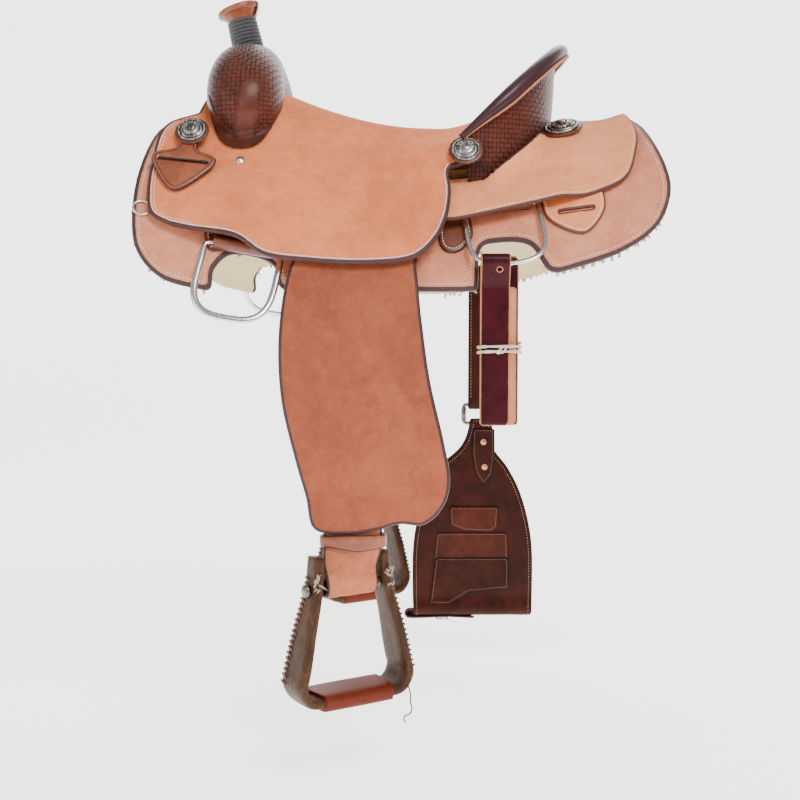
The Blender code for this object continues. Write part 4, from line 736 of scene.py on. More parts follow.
# ---- Materials ----
class Shader:
    """A short way to write a node tree."""

    def __init__(self, tree: bpy.types.NodeTree) -> None:
        """Take the tree to add to."""
        self.tree = tree

    def node(self, kind: str, inputs: dict | None = None, **settings):
        """A node with its settings, and its inputs linked or set."""
        made = self.tree.nodes.new(kind)
        for key, value in settings.items():
            setattr(made, key, value)
        for key, value in (inputs or {}).items():
            self.put(made.inputs[key], value)
        return made

    def put(self, socket: bpy.types.NodeSocket, value) -> None:
        """Link a socket to another, or set its number or colour."""
        if isinstance(value, bpy.types.NodeSocket):
            self.tree.links.new(value, socket)
        elif isinstance(value, tuple) and len(value) == 3 and socket.type == "RGBA":
            socket.default_value = (*value, 1.0)
        else:
            socket.default_value = value

    def math(self, operation: str, a, b=0.0, clamp: bool = False):
        """One sum of one or two numbers."""
        made = self.node("ShaderNodeMath", {0: a, 1: b}, operation=operation, use_clamp=clamp)
        return made.outputs[0]

    def span(self, value, low, high, to_low=0.0, to_high=1.0):
        """A soft step of a value from one range to another."""
        inputs = {"Value": value, "From Min": low, "From Max": high, "To Min": to_low, "To Max": to_high}
        return self.node("ShaderNodeMapRange", inputs, interpolation_type="SMOOTHSTEP").outputs[0]

    def mix(self, share, a, b, how: str = "MIX"):
        """A mix of two colours."""
        made = self.node("ShaderNodeMix", {0: share, 6: a, 7: b}, data_type="RGBA", blend_type=how)
        return made.outputs[2]

    def noise(self, vector, scale: float, detail: float = 4.0, roughness: float = 0.55, warp: float = 0.0):
        """Cloudy noise from 0 to 1."""
        inputs = {"Vector": vector, "Scale": scale, "Detail": detail, "Roughness": roughness,
                  "Distortion": warp}
        return self.node("ShaderNodeTexNoise", inputs).outputs["Fac"]

    def stretched(self, vector, scale: tuple[float, float, float], turn: float = 0.0):
        """Coordinates scaled by axis, and turned about Z."""
        inputs = {"Vector": vector, "Scale": scale, "Rotation": (0.0, 0.0, turn)}
        return self.node("ShaderNodeMapping", inputs).outputs[0]

    def place(self):
        """Object coordinates."""
        return self.node("ShaderNodeTexCoord").outputs["Object"]

    def metres(self):
        """The mesh's own map in metres."""
        return self.node("ShaderNodeUVMap", uv_map="metres").outputs[0]

    def stored(self, name: str):
        """A number stored on the mesh."""
        return self.node("ShaderNodeAttribute", attribute_name=name).outputs["Fac"]

    def bump(self, height, distance: float, strength: float = 1.0, before=None):
        """A normal from a height."""
        inputs = {"Height": height, "Distance": distance, "Strength": strength}
        if before is not None:
            inputs["Normal"] = before
        return self.node("ShaderNodeBump", inputs).outputs[0]


def node_group(name: str, inputs: Sequence[tuple[str, str, object]], outputs: Sequence[tuple[str, str]]):
    """A shader group with its sockets.

    Args:
        name: The group's name.
        inputs: Name, socket type and default of each input.
        outputs: Name and socket type of each output.

    Returns:
        The group, a Shader on it, its input node and its output node.
    """
    group = bpy.data.node_groups.new(name, "ShaderNodeTree")
    for label, kind, default in inputs:
        socket = group.interface.new_socket(label, in_out="INPUT", socket_type=kind)
        if default is not None:
            socket.default_value = default
    for label, kind in outputs:
        group.interface.new_socket(label, in_out="OUTPUT", socket_type=kind)
    shader = Shader(group)
    return group, shader, shader.node("NodeGroupInput"), shader.node("NodeGroupOutput")


def grain_group() -> bpy.types.NodeTree:
    """Leather grain: mottled tone, fine pebbling, and faint creases."""
    group, s, start, end = node_group(
        "Leather grain",
        [("Vector", "NodeSocketVector", None), ("Pebble", "NodeSocketFloat", 900.0),
         ("Crease", "NodeSocketFloat", 0.3)],
        [("Tone", "NodeSocketFloat"), ("Height", "NodeSocketFloat")],
    )
    vector = start.outputs["Vector"]
    cloud = s.noise(vector, 9.0, 6.0, 0.62, 0.4)
    patch = s.noise(vector, 42.0, 5.0, 0.65, 0.8)
    pebble = s.node("ShaderNodeTexVoronoi", {"Vector": vector,
                                             "Scale": start.outputs["Pebble"]}).outputs["Distance"]
    fibre = s.node("ShaderNodeTexNoise", {"Vector": vector, "Scale": start.outputs["Pebble"],
                                          "Detail": 3.0})
    warped = s.node("ShaderNodeTexNoise", {"Vector": vector, "Scale": 22.0, "Detail": 4.0,
                                           "Distortion": 1.2})
    lines = s.math("ABSOLUTE", s.math("SUBTRACT", warped.outputs["Fac"], 0.5))
    crease = s.math("MULTIPLY", s.span(lines, 0.0, 0.035, 1.0, 0.0), start.outputs["Crease"])
    tone = s.math("ADD", s.math("MULTIPLY", cloud, 0.6), s.math("MULTIPLY", patch, 0.4))
    s.put(end.inputs["Tone"], s.math("SUBTRACT", tone, s.math("MULTIPLY", crease, 0.12)))
    height = s.math("ADD", s.math("MULTIPLY", pebble, 0.5), s.math("MULTIPLY", fibre.outputs["Fac"], 0.6))
    height = s.math("ADD", height, s.math("MULTIPLY", patch, 0.5))
    s.put(end.inputs["Height"], s.math("SUBTRACT", height, crease))
    return group


def stamp_group() -> bpy.types.NodeTree:
    """Basket-weave stamping: raised bars that cross by turns, with lines pressed along each."""
    group, s, start, end = node_group(
        "Basket stamp", [("Vector", "NodeSocketVector", None), ("Cell", "NodeSocketFloat", 150.0)],
        [("Height", "NodeSocketFloat"), ("Worn", "NodeSocketFloat")],
    )
    scaled = s.node("ShaderNodeVectorMath", {0: start.outputs["Vector"], "Scale": start.outputs["Cell"]},
                    operation="SCALE")
    split = s.node("ShaderNodeSeparateXYZ", {0: scaled.outputs[0]})
    u, v = split.outputs["X"], split.outputs["Y"]
    parity = s.math("FLOORED_MODULO", s.math("ADD", s.math("FLOOR", u), s.math("FLOOR", v)), 2.0)
    fu, fv = s.math("FRACT", u), s.math("FRACT", v)

    def bar(along, across):
        """One bar of the weave: humped along, ribbed across."""
        hump = s.math("SINE", s.math("MULTIPLY", along, math.pi))
        ribs = s.math("ABSOLUTE", s.math("SINE", s.math("MULTIPLY", across, 3 * math.pi)))
        edge = s.span(s.math("ABSOLUTE", s.math("SUBTRACT", across, 0.5)), 0.40, 0.49, 1.0, 0.0)
        low = s.math("ADD", s.math("MULTIPLY", ribs, 0.35), 0.65)
        return s.math("MULTIPLY", s.math("MULTIPLY", s.math("POWER", hump, 0.6), low), edge)

    first, second = bar(fu, fv), bar(fv, fu)
    picked = s.math("ADD", s.math("MULTIPLY", first, parity),
                    s.math("MULTIPLY", second, s.math("SUBTRACT", 1.0, parity)))
    s.put(end.inputs["Height"], picked)
    s.put(end.inputs["Worn"], s.span(picked, 0.55, 0.95))
    return group


def dye_group() -> bpy.types.NodeTree:
    """A dyed and burnished edge, by the stored distance from it. The pale line beside the seat's edge is a
    painted highlight, laid as a separate bead.
    """
    group, s, start, end = node_group(
        "Dyed edge",
        [("Colour", "NodeSocketColor", None), ("Dye", "NodeSocketColor", None),
         ("Width", "NodeSocketFloat", 0.003), ("Vector", "NodeSocketVector", None)],
        [("Colour", "NodeSocketColor"), ("Share", "NodeSocketFloat")],
    )
    wobble = s.noise(start.outputs["Vector"], 160.0, 3.0)
    far = s.math("ADD", s.stored("edge"), s.math("MULTIPLY", s.math("SUBTRACT", wobble, 0.5), 0.0012))
    share = s.span(far, start.outputs["Width"], s.math("ADD", start.outputs["Width"], 0.0008), 1.0, 0.0)
    s.put(end.inputs["Colour"], s.mix(share, start.outputs["Colour"], start.outputs["Dye"]))
    s.put(end.inputs["Share"], share)
    return group


@dataclass(frozen=True)
class Leather:
    """How one leather looks."""

    name: str
    dark: Colour
    light: Colour
    dye: Colour = (0.030, 0.010, 0.008)
    dyed: float = 0.0
    roughness: float = 0.8
    pebble: float = 900.0
    crease: float = 0.3
    relief: float = 0.0006
    sheen: float = 0.0
    coat: float = 0.0
    stamp: float = 0.0
    streak: float = 0.0
    shine: float = 0.35


@dataclass(frozen=True)
class Metal:
    """How one metal looks."""

    name: str
    bright: Colour
    dull: Colour
    roughness: float = 0.3
    relief: float = 0.0001
    antique: bool = False


class Finishes:
    """All the materials, made once."""

    def __init__(self) -> None:
        """Build the shared groups."""
        self.grain, self.stamp, self.dye = grain_group(), stamp_group(), dye_group()

    @staticmethod
    def start(name: str) -> tuple[bpy.types.Material, Shader, bpy.types.Node]:
        """A new material with its tree and its surface node."""
        made = bpy.data.materials.new(name)
        made.use_nodes = True
        return made, Shader(made.node_tree), made.node_tree.nodes["Principled BSDF"]

    def leather(self, look: Leather) -> bpy.types.Material:
        """A leather with grain, and where it has them a dyed edge, stamping or streaks."""
        made, s, surface = self.start(look.name)
        vector = s.place()
        grain = s.node("ShaderNodeGroup", {}, node_tree=self.grain)
        s.put(grain.inputs["Vector"], vector)
        grain.inputs["Pebble"].default_value = look.pebble
        grain.inputs["Crease"].default_value = look.crease
        tone = s.span(grain.outputs["Tone"], 0.34, 0.66)
        speck = s.noise(vector, look.pebble * 0.8, 2.0)
        tone = s.math("ADD", s.math("MULTIPLY", tone, 0.75), s.math("MULTIPLY", s.span(speck, 0.35, 0.65),
            0.25))
        colour = s.mix(tone, look.dark, look.light)
        height = grain.outputs["Height"]
        rough = s.math("ADD", look.roughness - 0.08, s.math("MULTIPLY", grain.outputs["Tone"], 0.16))
        if look.streak:
            long = s.stretched(vector, (90.0, 90.0, 9.0))
            streaks = s.noise(long, 1.0, 6.0, 0.7, 1.5)
            colour = s.mix(s.math("MULTIPLY", s.span(streaks, 0.42, 0.62), look.streak), colour,
                           tuple(c * 0.30 for c in look.dark))
            height = s.math("ADD", height, s.math("MULTIPLY", streaks, 1.5))
        normal = s.bump(height, look.relief)
        if look.stamp:
            stamp = s.node("ShaderNodeGroup", {}, node_tree=self.stamp)
            s.put(stamp.inputs["Vector"], s.metres())
            stamp.inputs["Cell"].default_value = look.stamp
            share = s.span(s.stored("plain"), 0.4, 0.6, 1.0, 0.0)
            pressed = s.math("MULTIPLY", stamp.outputs["Height"], share)
            deep = s.math("MULTIPLY", s.span(stamp.outputs["Height"], 0.5, 0.1), share)
            colour = s.mix(s.math("MULTIPLY", deep, 0.6), colour, tuple(c * 0.4 for c in look.dark))
            worn = s.math("MULTIPLY", s.math("MULTIPLY", stamp.outputs["Worn"], share), tone)
            colour = s.mix(s.math("MULTIPLY", worn, 0.35), colour,
                           tuple(min(1.0, c * 1.9) for c in look.light))
            normal = s.bump(pressed, 0.0016, 1.0, normal)
        if look.dyed:
            edge = s.node("ShaderNodeGroup", {}, node_tree=self.dye)
            for key, value in (("Colour", colour), ("Dye", look.dye), ("Vector", vector)):
                s.put(edge.inputs[key], value)
            edge.inputs["Width"].default_value = look.dyed
            colour = edge.outputs["Colour"]
            rough = s.math("SUBTRACT", rough, s.math("MULTIPLY", edge.outputs["Share"],
                                                     look.roughness - 0.42))
        s.put(surface.inputs["Base Color"], colour)
        s.put(surface.inputs["Roughness"], rough)
        s.put(surface.inputs["Normal"], normal)
        surface.inputs["Specular IOR Level"].default_value = look.shine
        surface.inputs["Sheen Weight"].default_value = look.sheen
        surface.inputs["Sheen Roughness"].default_value = 0.5
        surface.inputs["Sheen Tint"].default_value = (*look.light, 1)
        surface.inputs["Coat Weight"].default_value = look.coat
        surface.inputs["Coat Roughness"].default_value = 0.18
        return made

    def metal(self, look: Metal) -> bpy.types.Material:
        """A metal with fine scratches, and dark hollows where it is antiqued."""
        made, s, surface = self.start(look.name)
        vector = s.place()
        scratch = s.noise(s.stretched(vector, (400.0, 60.0, 60.0), 0.6), 1.0, 4.0)
        spot = s.noise(vector, 260.0, 3.0)
        share = s.span(s.math("ADD", s.math("MULTIPLY", scratch, 0.5), s.math("MULTIPLY", spot, 0.5)),
                       0.38, 0.62)
        colour = s.mix(share, look.dull, look.bright)
        if look.antique:
            colour = s.mix(s.span(s.stored("hollow"), 0.25, 0.75), colour,
                           tuple(c * 0.12 for c in look.dull))
        s.put(surface.inputs["Base Color"], colour)
        s.put(surface.inputs["Roughness"], s.math("ADD", look.roughness - 0.06, s.math("MULTIPLY",
            scratch, 0.14)))
        s.put(surface.inputs["Normal"], s.bump(scratch, look.relief))
        surface.inputs["Metallic"].default_value = 1.0
        return made

    def thread(self, name: str, colour: Colour, scale: float = 2200.0,
               rough: float = 0.75) -> bpy.types.Material:
        """A twisted thread, cord or wool."""
        made, s, surface = self.start(name)
        vector = s.place()
        twist = s.noise(vector, scale, 2.0)
        cloud = s.noise(vector, 60.0, 4.0)
        share = s.math("ADD", s.math("MULTIPLY", s.span(twist, 0.3, 0.7), 0.5),
                       s.math("MULTIPLY", cloud, 0.5))
        s.put(surface.inputs["Base Color"], s.mix(share, tuple(c * 0.62 for c in colour), colour))
        s.put(surface.inputs["Normal"], s.bump(twist, 0.0004))
        surface.inputs["Roughness"].default_value = rough
        surface.inputs["Sheen Weight"].default_value = 0.25
        surface.inputs["Sheen Roughness"].default_value = 0.6
        return made


class Palette(Finishes):
    """The saddle's finishes by what they dress."""

    def __init__(self) -> None:
        """Mix each of them once."""
        super().__init__()
        salmon = dict(dark=(0.62, 0.150, 0.045), light=(0.93, 0.275, 0.100), roughness=0.84, sheen=0.12)
        self.seat = self.leather(Leather("seat_roughout", **salmon, dyed=0.0042, dye=(0.050, 0.018, 0.018)))
        self.jockey = self.leather(Leather(
            "jockey_roughout", (0.74, 0.235, 0.090), (0.96, 0.370, 0.165), dye=(0.075, 0.025, 0.020),
            dyed=0.0026, roughness=0.84, sheen=0.25))
        self.skirt = self.leather(Leather(
            "skirt_roughout", (0.56, 0.180, 0.092), (0.80, 0.310, 0.175), dye=(0.050, 0.020, 0.022),
            dyed=0.0052, roughness=0.88, sheen=0.15))
        self.fender = self.leather(Leather(
            "fender_roughout", (0.23, 0.048, 0.019), (0.385, 0.098, 0.040), dye=(0.045, 0.015, 0.016),
            dyed=0.0040, roughness=0.86, sheen=0.12, crease=0.35))
        self.keeper_tan = self.leather(Leather(
            "natural_leather", (0.76, 0.225, 0.080), (0.98, 0.340, 0.135), dye=(0.13, 0.042, 0.028),
            dyed=0.0022, roughness=0.55, pebble=1400, relief=0.0003))
        russet = dict(dark=(0.150, 0.034, 0.014), light=(0.360, 0.100, 0.040), pebble=1500, relief=0.0002,
                      coat=0.3)
        self.russet = self.leather(Leather("glossy_russet", **russet, roughness=0.40))
        self.russet_edged = self.leather(Leather(
            "glossy_russet_edged", **russet, roughness=0.36, dyed=0.0012, dye=(0.030, 0.009, 0.008)))
        self.orange_edge = self.leather(Leather(
            "raw_edge", (0.42, 0.150, 0.070), (0.66, 0.270, 0.140), roughness=0.7, pebble=2200))
        dark = dict(dark=(0.034, 0.009, 0.006), light=(0.120, 0.028, 0.016), pebble=1300, relief=0.0003,
                    coat=0.12,
                    shine=0.15)
        self.stamped = self.leather(Leather("stamped_leather", **dark, roughness=0.32, stamp=150.0))
        self.dark_smooth = self.leather(Leather("dark_smooth", **dark, roughness=0.34))
        self.welt = self.leather(Leather(
            "welt_leather", (0.150, 0.040, 0.016), (0.330, 0.105, 0.045), roughness=0.42, pebble=1500,
            coat=0.3))
        self.roll = self.leather(Leather(
            "roll_leather", (0.110, 0.018, 0.010), (0.300, 0.058, 0.030), roughness=0.26, pebble=700,
            relief=0.0003, coat=0.22, dyed=0.0050, dye=(0.040, 0.012, 0.016), shine=0.2))
        self.rigging = self.leather(Leather(
            "rigging_leather", (0.090, 0.022, 0.011), (0.230, 0.066, 0.034), roughness=0.34, pebble=1500,
            relief=0.0002, coat=0.3, dyed=0.0012))
        self.latigo = self.leather(Leather(
            "latigo_leather", (0.020, 0.0015, 0.003), (0.058, 0.005, 0.009), roughness=0.36, pebble=1100,
            relief=0.0002, coat=0.05, shine=0.10, dyed=0.0009, dye=(0.50, 0.20, 0.085)))
        self.chestnut = self.leather(Leather(
            "chestnut_leather", (0.013, 0.0028, 0.0016), (0.050, 0.0095, 0.0050), roughness=0.40,
            pebble=1200,
            relief=0.0003, coat=0.03, shine=0.08, dyed=0.0012, dye=(0.014, 0.005, 0.005)))
        self.ply = self.leather(Leather(
            "dark_ply", (0.030, 0.009, 0.010), (0.095, 0.026, 0.024), roughness=0.5, pebble=1600,
            shine=0.25))
        self.strap_salmon = self.leather(Leather(
            "strap_roughout", (0.38, 0.105, 0.042), (0.62, 0.200, 0.088), dye=(0.050, 0.016, 0.020),
            dyed=0.0026,
            roughness=0.84, sheen=0.12, crease=0.5))
        self.tread = self.leather(Leather(
            "tread_leather", (0.085, 0.011, 0.004), (0.160, 0.022, 0.007), roughness=0.42, pebble=1100,
            relief=0.0002,
            coat=0.06, shine=0.12))
        self.latigo_raw = self.leather(Leather(
            "raw_latigo", (0.420, 0.150, 0.075), (0.680, 0.290, 0.150), roughness=0.8, pebble=2200))
        self.russet_dark = self.leather(Leather(
            "rosette_leather", (0.060, 0.014, 0.007), (0.150, 0.040, 0.018), roughness=0.42, pebble=1500,
            relief=0.0002,
            coat=0.2))
        self.cinch_red = self.leather(Leather(
            "cinch_lining", (0.026, 0.0055, 0.003), (0.085, 0.018, 0.009), roughness=0.40, pebble=900,
            relief=0.0003,
            coat=0.04, shine=0.08, dyed=0.0010, dye=(0.020, 0.006, 0.005)))
        self.pale_stitch = self.thread("pale_thread", (0.42, 0.27, 0.19))
        self.frayed = self.thread("frayed_rawhide", (0.42, 0.33, 0.18), 1200, 0.8)
        # Flat dark marks beside the stirrups' lacing: painted shade where the punched holes are.
        self.hole = self.thread("punched_hole", (0.012, 0.006, 0.005), 900, 0.9)
        self.rawhide = self.leather(Leather(
            "stirrup_rawhide", (0.036, 0.013, 0.006), (0.105, 0.046, 0.019), roughness=0.44, pebble=800,
            crease=0.4, relief=0.0004, coat=0.05, streak=0.45, shine=0.12))
        self.tree = self.leather(Leather(
            "varnished_rawhide", (0.330, 0.150, 0.035), (0.600, 0.340, 0.110), roughness=0.25, pebble=500,
            relief=0.0002, coat=0.8, streak=0.35))
        # A pale line laid along the seat's dyed edge: a painted highlight, not a colour of the leather.
        self.seat_line = self.thread("painted_highlight_line", (0.86, 0.70, 0.66), 900, 0.45)
        self.steel = self.metal(Metal("stainless", (0.80, 0.80, 0.79), (0.62, 0.62, 0.61), 0.22))
        self.dark_steel = self.metal(Metal("dark_steel", (0.24, 0.22, 0.20), (0.10, 0.09, 0.08), 0.38))
        self.silver = self.metal(Metal("antique_silver", (0.52, 0.50, 0.47), (0.13, 0.12, 0.11), 0.26,
                                       antique=True))
        self.copper = self.metal(Metal("copper", (0.72, 0.36, 0.20), (0.46, 0.21, 0.12), 0.34))
        self.stitch = self.thread("cream_thread", (0.92, 0.84, 0.70))
        self.white_stitch = self.thread("white_thread", (0.95, 0.93, 0.88))
        self.brown_stitch = self.thread("brown_thread", (0.24, 0.11, 0.06))
        self.lace = self.thread("whip_lace", (0.235, 0.060, 0.034), 900, 0.5)
        self.rubber = self.thread("horn_rubber", (0.034, 0.034, 0.039), 1400, 0.62)
        self.elastic = self.thread("elastic_band", (0.74, 0.66, 0.50), 1500, 0.6)
        self.wool = self.thread("wool", (0.78, 0.62, 0.34), 700, 0.95)


@dataclass
class Kit:
    """What every sub-assembly needs: the finishes and the repeater."""

    palette: Palette
    repeat: Repeater

    def sewn(self, name: str, panel: Panel, inset: float, thread: bpy.types.Material, pitch: float = 0.0052,
             long: float = 0.0037, keep: Callable[[Array, Array], Array] | None = None,
             wide: float = 0.0015) -> bpy.types.Object:
        """A row of stitches just inside a panel's outline.

        Args:
            name: The row's name.
            panel: The panel it is sewn in.
            inset: How far from the edge.
            thread: Its material.
            pitch: From one stitch to the next.
            long: How long a stitch is.
            keep: Which stations and arcs have stitches; all where left out.
            wide: How thick the thread is.

        Returns:
            The stitches as one piece.
        """
        line = panel.outline.inset(inset).resampled(pitch).points
        return self.row(name, line, panel, thread, long, keep, wide, closed=True)

    def row(self, name: str, line: Array, panel: Panel, thread: bpy.types.Material, long: float = 0.0031,
            keep: Callable[[Array, Array], Array] | None = None, wide: float = 0.0011,
            closed: bool = False) -> bpy.types.Object:
        """Stitches at points of a line on a panel, already a pitch apart."""
        ahead = np.roll(line, -1, axis=0) - np.roll(line, 1, axis=0)
        if not closed:
            ahead[0], ahead[-1] = line[1] - line[0], line[-1] - line[-2]
        if keep is not None:
            chosen = keep(line[:, 0], line[:, 1])
            line, ahead = line[chosen], ahead[chosen]
        x, s = line[:, 0], line[:, 1]
        high = value_at(panel.high, x, s)
        spots = panel.surface.point(x, s, high)
        out = panel.surface.normals(x, s, high)
        ahead = ahead / np.maximum(np.linalg.norm(ahead, axis=1, keepdims=True), 1e-9) * 0.002
        along = panel.surface.point(x + ahead[:, 0], s + ahead[:, 1], high) - spots
        along /= np.linalg.norm(along, axis=1, keepdims=True)
        places = [(Vector(p), Vector(o), Vector(a)) for p, o, a in zip(spots, out, along)]
        return self.repeat(name, bead("one_stitch", long, wide, wide), thread, places)

    def rope(self, name: str, line: Array, panel: Panel, finish: bpy.types.Material, radius: float,
             lift: float = 0.0, closed: bool = False) -> bpy.types.Object:
        """A raised bead or a groove's dark cord along a line on a panel; the seat's pale bead is a painted
        highlight.
        """
        high = value_at(panel.high, line[:, 0], line[:, 1]) + lift
        spots = panel.surface.point(line[:, 0], line[:, 1], high)
        made = tube_along(name, [Vector(p) for p in spots], radius, 8, closed)
        made.data.materials.append(finish)
        return made


def dressed(obj: bpy.types.Object, finish: bpy.types.Material) -> bpy.types.Object:
    """Give a piece one finish."""
    obj.data.materials.clear()
    obj.data.materials.append(finish)
    return obj


def arc_out(x: float, y: float, depth: float) -> float:
    """The arc where the side's surface is this far out."""
    arcs = np.arange(0.0, 0.75, 0.001)
    return float(np.interp(y, SURFACE.point(np.full_like(arcs, x), arcs, np.full_like(arcs, depth))[:, 1],
                           arcs))


@dataclass
class Skirts:
    """The skirts with their fleece and the keepers sewn on behind."""

    kit: Kit
    outline: tuple = (
        (-0.300, 0.200), (-0.317, 0.080), (-0.340, 0.060), (-0.352, -0.010), (-0.350, -0.080),
        (-0.337, -0.121), (-0.305, -0.152), (-0.258, -0.165), (-0.243, -0.163), (-0.240, -0.138),
        (-0.217, -0.119), (-0.168, -0.131), (-0.154, -0.163), (-0.120, -0.167), (-0.020, -0.167),
        (0.090, -0.167), (0.101, -0.158), (0.106, -0.112), (0.130, -0.102), (0.170, -0.106),
        (0.195, -0.141), (0.233, -0.135), (0.290, -0.115), (0.335, -0.083), (0.357, -0.040),
        (0.358, 0.002), (0.344, 0.060), (0.326, 0.100), (0.320, 0.200),
    )
    keeper: tuple = (
        (0.193, -0.014), (0.189, -0.050), (0.200, -0.076), (0.240, -0.092), (0.267, -0.067),
        (0.273, -0.040), (0.260, -0.008),
    )
    slit: tuple = ((0.212, -0.0640), (0.257, -0.0585), (0.257, -0.0545), (0.212, -0.0600))
    channel: float = 0.0355

    def plan(self, side: Side, depth: float, inset: float = 0.0) -> Outline:
        """The skirt's outline on the surface, stopped at the channel along the spine."""
        drawn = Outline.through(self.outline, 0.003)
        laid = SURFACE.arcs(drawn, side, depth)
        x, far = laid.points[:, 0], np.abs(laid.points[:, 1])
        least = self.channel * (1 - smooth((x - 0.235) / 0.020)) + 0.0006
        laid = Outline(np.stack([x, side * np.maximum(far, least)], axis=1)).resampled(0.004)
        return laid.inset(inset).resampled(0.004) if inset else laid

    def build(self) -> None:
        """Both sides, each on the tree."""
        for side in Side:
            self.fleece(side)
            skirt = Panel(f"{side.word}_skirt_leather", self.plan(side, SKIRT_OUT), SKIRT_IN, SKIRT_OUT,
                          self.kit.palette.skirt)
            set_on(skirt.build(), "saddle", "skirt_leather", f"{side.word}_skirt")
            rows = self.kit.sewn(f"{side.word}_skirt_stitches", skirt, 0.0098, self.kit.palette.stitch,
                                 keep=lambda x, s: np.abs(s) > 0.06)
            set_on(rows, "saddle", "skirt_leather")
            self.rear_keeper(side)

    def fleece(self, side: Side) -> None:
        """A lumpy pad with a few curled tufts, most of them low at the rear."""
        rng = np.random.default_rng(40 + side)
        plan = self.plan(side, SKIRT_IN, 0.0030)

        def lumps(x: Array, s: Array) -> Array:
            """How the pile's underside waves."""
            return np.array([
                0.0020 * noise.noise((a * 90, b * 90, 2.0)) + 0.0012 * noise.noise((a * 260, b * 260, 7.0))
                for a, b in zip(x, s)
            ])

        pad = Panel(f"{side.word}_fleece_pad", plan, lambda x, s: 0.002 + lumps(x, s), FLEECE,
                    self.kit.palette.wool, step=0.0075).build()
        set_on(pad, "saddle", "fleece", f"{side.word}_fleece")
        edge = plan.resampled(0.0030).points
        ahead = np.roll(edge, -1, axis=0) - np.roll(edge, 1, axis=0)
        ahead /= np.linalg.norm(ahead, axis=1, keepdims=True)
        nxt = np.roll(edge, -1, axis=0)
        turn = np.sign((edge[:, 0] * nxt[:, 1] - nxt[:, 0] * edge[:, 1]).sum())
        outward = -np.stack([-ahead[:, 1], ahead[:, 0]], axis=1) * turn
        places, sizes = [], []
        for (x, s), (a, b) in zip(edge, outward):
            low_rear = x > 0.19 and abs(s) > 0.19
            if abs(s) < 0.05 or rng.random() > (0.55 if low_rear else 0.05):
                continue
            for depth in (0.003, 0.0085):
                jit = rng.normal(0, 1, 5)
                spot = SURFACE.point(x + 0.0008 * jit[0], s + 0.0008 * jit[1], depth + 0.0012 * jit[2])
                push = SURFACE.point(x + a * 0.01, s + b * 0.01, depth) - SURFACE.point(x, s, depth)
                push = Vector(push).normalized()
                down = Vector((0, 0, -0.45)) + Vector(rng.normal(0, 0.35, 3))
                places.append((Vector(spot), (push + down).normalized(),
                               Vector(rng.normal(0, 1, 3)).normalized()))
                sizes.append(float(rng.uniform(0.5, 1.0)))
        tufts = self.kit.repeat(f"{side.word}_fleece_tufts", self.tuft(), self.kit.palette.wool, places,
                                sizes)
        set_on(tufts, "saddle", "fleece")

    @staticmethod
    def tuft() -> bpy.types.Object:
        """One curled lock of wool, standing along Z."""
        path = [Vector((0.0012 * math.sin(2.1 * k), 0.0012 * math.cos(2.1 * k) - 0.0012,
                        0.0016 * k)) for k in range(5)]
        return tube_along("lock", path, [0.0016, 0.0021, 0.0019, 0.0014, 0.0004], 5)

    def rear_keeper(self, side: Side) -> None:
        """The pointed keeper with its slit, white stitched."""
        plan = SURFACE.arcs(Outline.through(self.keeper, 0.003), side, TRIM_OUT).resampled(0.003)
        hole = SURFACE.arcs(Outline.polygon(self.slit, 0.002), side, TRIM_OUT)
        panel = Panel(f"{side.word}_rear_keeper_leather", plan, TRIM_IN, TRIM_OUT,
                      self.kit.palette.keeper_tan,
                      step=0.005, holes=(hole,))
        set_on(panel.build(), "saddle", "keeper_leather", f"{side.word}_rear_keeper")
        rows = self.kit.sewn(f"{side.word}_rear_keeper_stitches", panel, 0.0052,
                             self.kit.palette.white_stitch, 0.0046,
                             0.0034)
        set_on(rows, "saddle", "keeper_leather")


